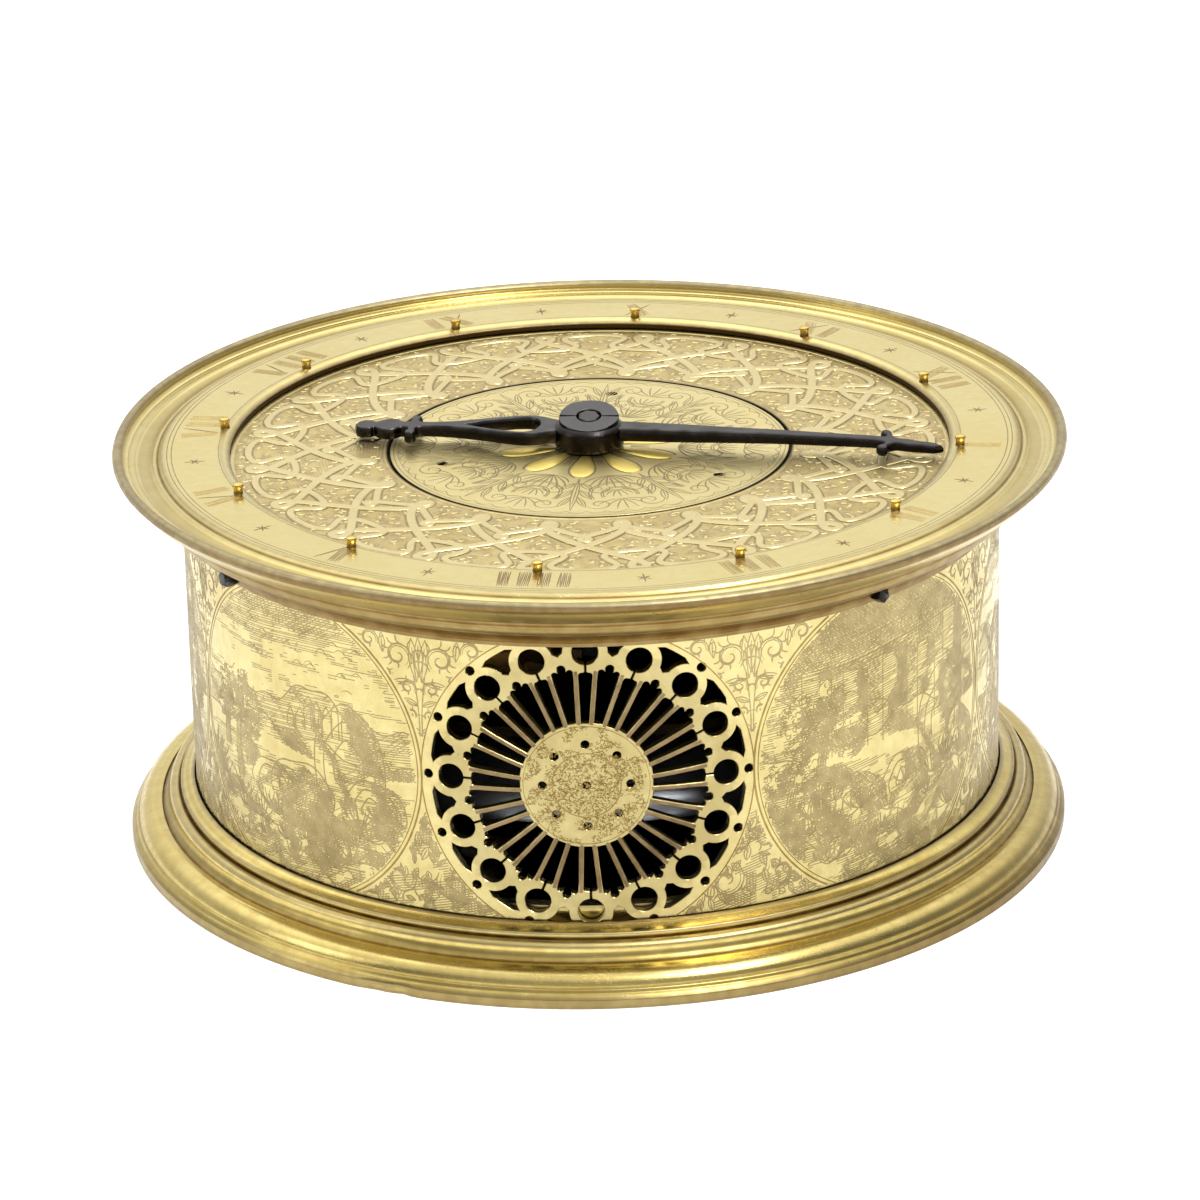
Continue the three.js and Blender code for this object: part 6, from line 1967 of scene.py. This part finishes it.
    def sprays(self) -> Shell:
        """Engraved petal outlines, fans of leaves, scrolls and arches between them, and fine border lines.

        Returns:
            The strokes.
        """
        place, rng = on_plane(self.level), np.random.default_rng(21)
        shells = [strips(ring_path(radius, 240), width, place) for radius, width in ((30.9, 0.14), (30.2, 0.1))]
        u = np.linspace(0, 1, 21)
        for i in range(self.petal_count):
            turned = self.petal_place(i)
            along, half = self.petal_start + (self.petal_length + 0.2) * u, self.petal(u) + 0.15
            outline = np.array([np.stack([along, k * half], 1) for k in (-1, 1)])
            shells.append(strips(outline, 0.36, turned, lift=0.01))
            between = self.petal_place(i + 0.5)
            fan = np.linspace(-1.0, 1.0, 9)
            roots = np.tile([[14.0, 0]], (9, 1))
            tips = roots + rays(fan) * rng.uniform(4.5, 6.5, (9, 1))
            shells.append(strips(bent(roots, tips, fan * 0.7, 9), tapered(9, 0.3, 0.7), between, lift=0.008))
            darts = np.array([[[6.5, k * 0.25], [9.5, k * 0.5]] for k in (-1, 0, 1)])
            shells.append(strips(bent(darts[:, 0], darts[:, 1], 0.05, 5), tapered(5, 0.22), between))
            rolls = np.array([spiral((19.5, k * 3.3), 2.0, k * 2.2, -k * 1.25, 0.2) for k in (-1, 1)]
                             + [spiral((26.0, k * 4.2), 2.2, k * -1.4, k * 1.3, 0.2) for k in (-1, 1)])
            shells.append(strips(rolls, tapered(34, 0.24, 0.5), turned))
            roots = np.array([[15, 0], [17, 0.4], [17, -0.4], [20, 0.5], [20, -0.5], [23, 0.4], [23, -0.4]], float)
            tips = np.array([[29, 0], [20, 2.6], [20, -2.6], [24, 2.8], [24, -2.8], [27.5, 2.2], [27.5, -2.2]], float)
            leaves = leaf_pairs(roots, tips, [0.5, 0.6, 0.6, 0.6, 0.6, 0.5, 0.5])
            shells.append(strips(leaves, tapered(9, 0.2, 0.5), turned))
            arches = np.concatenate([ring_path(r, 60, (22.6, 0))[:, 13:48] * [1, 0.86] for r in (5.6, 5.1, 3.4, 3.0)])
            shells.append(strips(arches, 0.2, between))
            roots, way = np.array([[20.5, 0], [24.5, 0]]), np.linspace(-1.2, 1.2, 7)
            for root, long in zip(roots, (3.0, 4.4)):
                tips = root + rays(way) * long
                shells.append(strips(bent(np.tile(root, (7, 1)), tips, way * 0.5, 8), tapered(8, 0.24, 0.7), between))
        t = np.linspace(0, TURN, 1441)
        edge = 29.3 + 0.75 * np.abs(np.sin(t * 30))
        shells.append(strips(edge[..., None] * rays(t)[None], 0.14, place))
        return joined(shells)

    def build(self) -> None:
        """Makes every piece of the dial."""
        self.plate()
        self.strapwork()
        self.ground_work()
        self.alarm()


# Hand


@dataclass
class Hand:
    """The hour hand: a filed, slightly bowed arm with wings and a point, a looped tail, and the riveted boss."""

    azimuth: float = -8.0
    slit_azimuth: float = -3.0
    tilt: float = 0.19
    boss_top: float = 65.9
    cap_height: float = 66.95
    cap_radius: float = 4.72
    rivet_room: float = 1.95
    arm_bevel: float = 0.4
    tail_bevel: float = 0.24
    arm_top: tuple[tuple[float, ...], ...] = ((0, 6, 18, 30, 45, 50, 56), (65.6, 65.6, 65.45, 65.3, 64.85, 64.4, 63.85))
    tail_top: tuple[tuple[float, ...], ...] = ((0, 8, 15, 24, 32, 38), (65.25, 65.2, 65.1, 64.8, 64.5, 64.3))
    depths: tuple[tuple[float, ...], ...] = ((0, 8, 30, 56), (2.3, 2.15, 1.8, 1.35))

    def arm(self) -> Array:
        """Outline of the arm and its point, from the hub outwards on one side and back on the other.

        Returns:
            The loop.
        """
        side = np.array([
            [3.0, -1.9], [8, -1.86], [16, -1.68], [22, -1.4], [30, -1.18], [38, -1.08], [45.2, -1.04], [46.5, -1.2],
            [46.7, -2.0], [46.1, -2.7], [45.75, -3.4], [46.2, -4.15], [47.0, -4.2], [47.55, -3.6], [47.5, -2.75],
            [47.95, -1.9], [48.7, -1.25], [49.4, -1.15], [50.4, -1.25], [52.2, -0.95], [53.4, -1.0], [54.6, -0.85],
            [55.5, -0.3],
        ])
        return np.vstack([smooth_open(side, 4), [[55.8, 0]], smooth_open(side, 4)[::-1] * [1, -1]])

    def tail(self) -> list[Array]:
        """Outline of the tail and of its loop's opening.

        Returns:
            Both loops.
        """
        side = np.array([
            [3.0, -2.2], [5.2, -2.5], [7.5, -3.7], [9.8, -4.25], [12.5, -3.9], [16.5, -2.75], [20.5, -1.65],
            [23.5, -1.15], [26.0, -1.05], [27.2, -1.4], [27.5, -2.3], [27.2, -3.2], [27.7, -3.95], [28.7, -3.95],
            [29.1, -3.1], [28.8, -2.3], [29.0, -1.5], [29.9, -1.3], [30.9, -2.3], [32.3, -2.6],
            [33.6, -1.9], [34.3, -1.2], [34.9, -1.75], [36.2, -1.95], [37.2, -1.2],
        ])
        line = smooth_open(side, 4)
        outer = np.vstack([line, [[37.6, 0]], line[::-1] * [1, -1]])
        hole = np.array([[7.9, 0], [8.3, 1.9], [9.6, 3.15], [11.5, 3.15], [14.5, 2.35], [17.5, 1.2]])
        curve = smooth_open(hole, 4)
        opening = np.vstack([curve, [[19.8, 0]], curve[:0:-1] * [1, -1]])
        return [outer, opening]

    def slab(self, loops: list[Array], azimuth: float, tops: tuple[tuple[float, ...], ...], bevel: float) -> Shell:
        """A filed, bowed bar with chamfered edges, its upper faces lightened in patches by wear and a painted sheen.

        Args:
            loops: Outer loop and openings at full size.
            azimuth: Way in which +X of the loops points.
            tops: Distances from the hub and the heights of the upper face there.
            bevel: Width of the chamfer.

        Returns:
            The closed bar.
        """
        shrunk = [grown(dense(loop if area(loop) > 0 else loop[::-1], 0.7), -bevel if i == 0 else bevel)
                  for i, loop in enumerate(loops)]
        points, tris = filled(shrunk, 0.8)
        rings = [(0, 1.0), (bevel * 0.55, 0.9), (bevel, 0.6), (bevel, 0.2), (bevel * 0.4, 0)]
        cos, sin = math.cos(math.radians(azimuth)), math.sin(math.radians(azimuth))

        def place(flat: Array, height: Array) -> Array:
            """Flat points laid along the bowed bar.

            Args:
                flat: The points.
                height: Their heights as shares of the bar's depth.

            Returns:
                Points in the clock's frame.
            """
            along = np.clip(flat[:, 0], 0, 60)
            z = np.interp(along, *tops) - (1 - height) * np.interp(along, *self.depths)
            return np.stack([flat[:, 0] * cos - flat[:, 1] * sin, flat[:, 0] * sin + flat[:, 1] * cos, z], 1)

        shell = thick(points, tris, rings, place)
        # Painted sheen with wear: the upper faces are lighter, in patches, more so near the hub.
        away = shell.across()
        high = np.clip((shell.points[:, 2] - np.interp(away, *tops) + 0.35) / 0.3, 0, 1)
        patch = np.clip((value_noise(shell.points[:, :2], 1.5, 2) - 0.25) * 2, 0, 1) * np.clip(1.4 - away / 40, 0.4, 1)
        shell.wear_and_sheen = np.clip(high * (0.35 + 0.65 * patch), 0, 1)
        return shell

    def tilted(self, flat: Array) -> Array:
        """Height of the cap's filed upper face, which leans across the slit."""
        a = math.radians(self.slit_azimuth)
        return self.cap_height + self.tilt * (flat[:, 1] * math.cos(a) - flat[:, 0] * math.sin(a))

    def build(self) -> None:
        """Makes the arm with its tail, the boss with its split cap, and the rivet."""
        arm = self.slab([self.arm()], self.azimuth, self.arm_top, self.arm_bevel)
        tail = self.slab(self.tail(), self.azimuth + 180, self.tail_top, self.tail_bevel)
        corners = np.array([[0, 62.25], [5.35, 62.25], [5.5, 62.6], [5.5, 65.0], [5.3, 65.4], [4.9, 65.92], [0, 65.95]])
        boss = knob(eased(corners, 0.12, False), 72)
        # Painted sheen: the top of the boss is lighter.
        boss.wear_and_sheen = 0.5 * np.clip(boss.points[:, 2] - 65.2, 0, 0.6)
        make_piece("hand_forged", joined([arm, tail, boss]), Finish.BLACK, ["hour_hand"], "hand", Slot.BLACK, 24)
        make_piece("hand_cap_filed", self.cap(), Finish.BLACK, ["hand_cap"], "hand", Slot.BLACK, 24)
        corners = np.array([[0, 55.2], [1.8, 55.2], [1.8, 66.1], [1.74, 66.84], [1.55, 66.95], [1.0, 67.0],
                            [0.5, 67.02], [0, 67.02]])
        rivet, sides = knob(corners, 28), 7
        angle = np.arctan2(rivet.points[:, 1], rivet.points[:, 0]) % (TURN / sides) - math.pi / sides
        flat = math.cos(math.pi / sides) / np.cos(angle)
        rivet.points[:, :2] *= np.where(rivet.points[:, 2] > 66.2, flat, 1)[:, None]
        # Painted sheen: the rivet's top is lighter than its sides.
        rivet.wear_and_sheen = 0.8 * (rivet.points[:, 2] > 66.9)
        rivet.points[:, 2] += np.where(rivet.points[:, 2] > 66.8, self.tilt * rivet.points[:, 1], 0)
        make_piece("hour_arbor_riveted", rivet, Finish.BLACK, ["hour_arbor"], "hand", Slot.STEEL, 20)

    def cap(self) -> Shell:
        """The cap: two halves of a disc on either side of a saw slit, their upper faces filed to one leaning plane.

        Returns:
            Both halves.
        """
        shells = []
        for k in (-1, 1):
            angle = np.linspace(0.05, math.pi - 0.05, 40) + (0 if k > 0 else math.pi)
            loop = self.cap_radius * rays(angle) * (1 + 0.012 * np.cos(5 * angle + 1))[:, None]
            turn = turn_matrix(math.radians(self.slit_azimuth))
            loop = loop @ turn
            gap = self.rivet_room * rays(angle[::-1]) @ turn
            points, tris = filled([grown(np.vstack([loop, gap]), -0.1)], 0.8)

            def place(flat: Array, height: Array) -> Array:
                """Flat points between the boss and the leaning plane.

                Args:
                    flat: The points.
                    height: Their heights as shares of the cap's depth.

                Returns:
                    Points in the clock's frame.
                """
                top = self.tilted(flat)
                return np.stack([flat[:, 0], flat[:, 1], self.boss_top + height * (top - self.boss_top)], 1)

            shells.append(thick(points, tris, [(0, 1.0), (0.06, 0.96), (0.1, 0.85), (0.1, 0)], place))
        shell = joined(shells)
        # Painted reflection: the filed upper faces are light grey.
        shell.wear_and_sheen = 1.0 * (shell.points[:, 2] > self.tilted(shell.points[:, :2]) - 0.06)
        return shell


def smooth_open(corners: Array, steps: int) -> Array:
    """An open Catmull-Rom curve through the corners, its ends continued straight.

    Args:
        corners: Points that the curve passes.
        steps: Points on each stretch.

    Returns:
        The points of the curve.
    """
    ends = np.vstack([2 * corners[:1] - corners[1:2], corners, 2 * corners[-1:] - corners[-2:-1]])
    p0, p1, p2, p3 = (ends[k : len(ends) - 3 + k][:, None] for k in range(4))
    t = np.arange(steps)[None, :, None] / steps
    curve = 2 * p1 + (p2 - p0) * t + (2 * p0 - 5 * p1 + 4 * p2 - p3) * t**2 + (3 * p1 - p0 - 3 * p2 + p3) * t**3
    return np.vstack([(curve / 2).reshape(-1, 2), corners[-1:]])


def area(loop: Array) -> float:
    """Signed area of a loop: half the sum of the cross products of its points."""
    other = np.roll(loop, -1, 0)
    return float((loop[:, 0] * other[:, 1] - loop[:, 1] * other[:, 0]).sum() / 2)


def cut_away(piece: bpy.types.Object, cutter: Shell) -> None:
    """Cuts a closed shell out of a piece and keeps the result as its mesh.

    Args:
        piece: The piece.
        cutter: What is taken away.
    """
    cutter = cutter.outward()
    mesh = bpy.data.meshes.new("cutter")
    faces = [*cutter.quads.tolist(), *cutter.tris.tolist()]
    mesh.from_pydata((cutter.points * METRES).tolist(), [], faces)
    tool = shown("cutter", mesh)
    step = piece.modifiers.new("cut", "BOOLEAN")
    step.object, step.operation, step.solver = tool, "DIFFERENCE", "EXACT"
    done = bpy.data.meshes.new_from_object(piece.evaluated_get(bpy.context.evaluated_depsgraph_get()))
    piece.modifiers.clear()
    piece.data = done
    bpy.data.objects.remove(tool)


# Movement


@dataclass
class Movement:
    """The bell and the wheelwork inside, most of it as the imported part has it."""

    bell_top: float = 30.5
    bell_radius: float = 50.0
    bell_rim: float = 19.0
    bell_bore: float = 1.9
    bell_lip: float = 1.6
    bell_crown: float = 1.2

    def bell(self) -> None:
        """The bell: a flat crown that falls in a curve to a thick lip, bored for its post and the winding arbors."""
        t = np.linspace(0, 1, 26)
        fall = self.bell_top - self.bell_rim
        radius = self.bell_bore + (self.bell_radius - self.bell_bore) * np.sin(t * math.pi / 2) ** 0.9
        outside = np.stack([radius, self.bell_top - fall * (1 - np.cos(t * math.pi / 2)) ** 1.25], 1)
        inside = outside * [0.968, 1] - [0, self.bell_crown]
        inside[0, 0], inside[-1] = self.bell_bore, [self.bell_radius - self.bell_lip, self.bell_rim]
        piece = make_piece("bell_turned", lathe(np.vstack([outside[::-1], inside]), 160, 1.5), Finish.BELL,
                           ["bell"], slot=Slot.BELL)
        for spot in WINDING_SPOTS:
            opening = filled([round_line(WINDING_RADIUS, 32, spot)], 3)
            cut_away(piece, thick(*opening, [(0, 40), (0, 10)], on_plane(0)))

    def dress(self, nodes: dict[str, bpy.types.Object]) -> None:
        """Gives each shown CAD node the finish of its metal.

        Args:
            nodes: The CAD nodes by name.
        """
        steel = ("arbor", "pinion", "pillar", "verge", "balance_wheel", "fly", "hammer", "post", "nut")
        for name, node in nodes.items():
            if node.hide_render:
                continue
            # The movement's finishes are darkened: painted shade for the inside of the case.
            metal = Finish.STEEL if any(word in name for word in steel) else Finish.BRASS_IN_SHADE
            {"gut_line": Finish.GUT, "lower_plate": Finish.PLATE_IN_SHADE}.get(name, metal).paint(node)

    def build(self, nodes: dict[str, bpy.types.Object]) -> None:
        """Makes the bell and dresses the wheelwork."""
        self.bell()
        self.dress(nodes)


# Studio


@dataclass(frozen=True)
class Lamp:
    """A square soft lamp aimed at the clock."""

    name: str
    spot: tuple[float, float, float]
    size: float
    power: float

    def place(self) -> None:
        """Adds the lamp to the scene, its face towards the origin."""
        data = bpy.data.lights.new(self.name, "AREA")
        data.shape, data.size, data.energy = "SQUARE", self.size, self.power
        lamp = shown(self.name, data)
        back = np.array(self.spot) / np.linalg.norm(self.spot)
        x_axis = np.cross([0, 0, 1], back)
        x_axis /= np.linalg.norm(x_axis)
        y_axis = np.cross(back, x_axis)
        lamp.matrix_world = Matrix([[x_axis[i], y_axis[i], back[i], self.spot[i]] for i in range(3)] + [[0, 0, 0, 1]])


@dataclass
class Studio:
    """Floor, light and camera. The camera's numbers follow from matching circles of the rim and base."""

    lens: float = 160.63
    distance: float = 843.69
    elevation: float = 19.902
    azimuth: float = -88.58
    roll: float = 1.3926
    aim: tuple[float, float] = (1.059, 35.662)
    rim_height: float = 64.0
    glow: float = 0.47
    glow_starts: tuple[float, float] = (0.062, 0.074)
    lamps: tuple[Lamp, ...] = (
        Lamp("lamp_above", (-0.25, 0.15, 1.7), 1.1, 3.5),
        Lamp("lamp_right", (0.75, -1.05, 1.5), 0.6, 16.0),
        Lamp("lamp_left", (-1.6, -0.5, 0.75), 0.8, 5.0),
        Lamp("lamp_front", (0.6, -0.43, 1.53), 0.35, 4.0),
    )

    def camera(self) -> None:
        """The camera: it stands at a distance, azimuth and elevation from the rim's middle and looks at the aim."""
        e, a, r = (math.radians(x) for x in (self.elevation, self.azimuth, self.roll))
        level = np.array([math.cos(a), math.sin(a), 0])
        side = np.array([-math.sin(a), math.cos(a), 0])
        spot = self.distance * (level * math.cos(e) + np.array([0, 0, math.sin(e)])) + [0, 0, self.rim_height]
        target = side * self.aim[0] + np.array([0, 0, self.aim[1]])
        ahead = (target - spot) / np.linalg.norm(target - spot)
        right = np.cross(ahead, [0, 0, 1])
        right /= np.linalg.norm(right)
        up = np.cross(right, ahead)
        x_axis, y_axis = right * math.cos(r) - up * math.sin(r), right * math.sin(r) + up * math.cos(r)
        matrix = Matrix([[x_axis[i], y_axis[i], -ahead[i], spot[i] * METRES] for i in range(3)] + [[0, 0, 0, 1]])
        data = bpy.data.cameras.new("camera")
        data.lens, data.sensor_width, data.clip_start, data.clip_end = self.lens, 36, 0.05, 50
        camera = shown("camera", data)
        camera.matrix_world = matrix
        bpy.context.scene.camera = camera

    def floor(self) -> None:
        """A wide pale floor with a faint glow of its own, so that it stays white."""
        mesh = bpy.data.meshes.new("floor")
        mesh.from_pydata([(-5, -5, 0), (5, -5, 0), (5, 5, 0), (-5, 5, 0)], [], [(0, 1, 2, 3)])
        floor = shown("floor", mesh)
        made = bpy.data.materials.new("floor_paper")
        made.use_nodes = True
        shader = made.node_tree.nodes["Principled BSDF"]
        shader.inputs["Base Color"].default_value = (0.8, 0.8, 0.8, 1)
        shader.inputs["Roughness"].default_value = 0.9
        shader.inputs["Specular IOR Level"].default_value = 0.1
        shader.inputs["Emission Color"].default_value = (1, 1, 1, 1)
        graph = Graph(made.node_tree)
        away = graph.add("ShaderNodeVectorMath", {0: graph.place()}, operation="LENGTH")
        glow = graph.ramp(away.outputs["Value"], *self.glow_starts, 0, self.glow)
        graph.link(glow, shader.inputs["Emission Strength"])
        mesh.materials.append(made)

    def light(self) -> None:
        """Soft light: a bright sky low behind the clock, dim above and in front, and large soft lamps.

        The sky's strength is a sum of eased slopes of the direction: behind (+Y), high up, to the sides and, low
        and faint, straight in front.
        """
        world = bpy.data.worlds.new("studio")
        bpy.context.scene.world = world
        world.use_nodes = True
        graph = Graph(world.node_tree)
        way = graph.add("ShaderNodeTexCoord").outputs["Generated"]
        split = graph.add("ShaderNodeSeparateXYZ", {0: way}).outputs
        behind, high = graph.ramp(split[1], -0.35, 0.45), graph.ramp(split[2], 0.55, 0.95, 1, 0.8)
        aside = graph.times(graph.ramp(split[0], 0.35, 0.95, 1, 0.38), graph.ramp(split[0], -0.95, -0.5, 0.75, 1))
        share = graph.times(graph.times(graph.times(behind, high), aside), 0.84)
        share = graph.plus(graph.plus(share, 0.13), graph.ramp(split[2], 0.42, 0.8, 0, 0.95))
        share = graph.times(share, graph.ramp(split[2], 0.9, 0.985, 1, 0.62))
        facing = graph.times(graph.ramp(split[1], -0.6, -0.9, 0, 0.45), graph.ramp(split[2], 0.4, 0.6, 1, 0))
        share = graph.plus(share, facing)
        ground = world.node_tree.nodes["Background"]
        ground.inputs["Color"].default_value = (1, 0.99, 0.965, 1)
        graph.link(share, ground.inputs["Strength"])
        for lamp in self.lamps:
            lamp.place()

    def build(self) -> None:
        """Sets the floor, the lights and the camera."""
        self.floor()
        self.light()
        self.camera()
        bpy.context.scene.view_settings.view_transform = "Standard"


def main() -> None:
    """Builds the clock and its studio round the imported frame."""
    logging.basicConfig(level=logging.INFO, format="%(message)s")
    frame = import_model()
    Studio().build()
    Case().build()
    Drum().build()
    Dial().build()
    Hand().build()
    Movement().build(frame["nodes"])


if __name__ == "__main__":
    main()
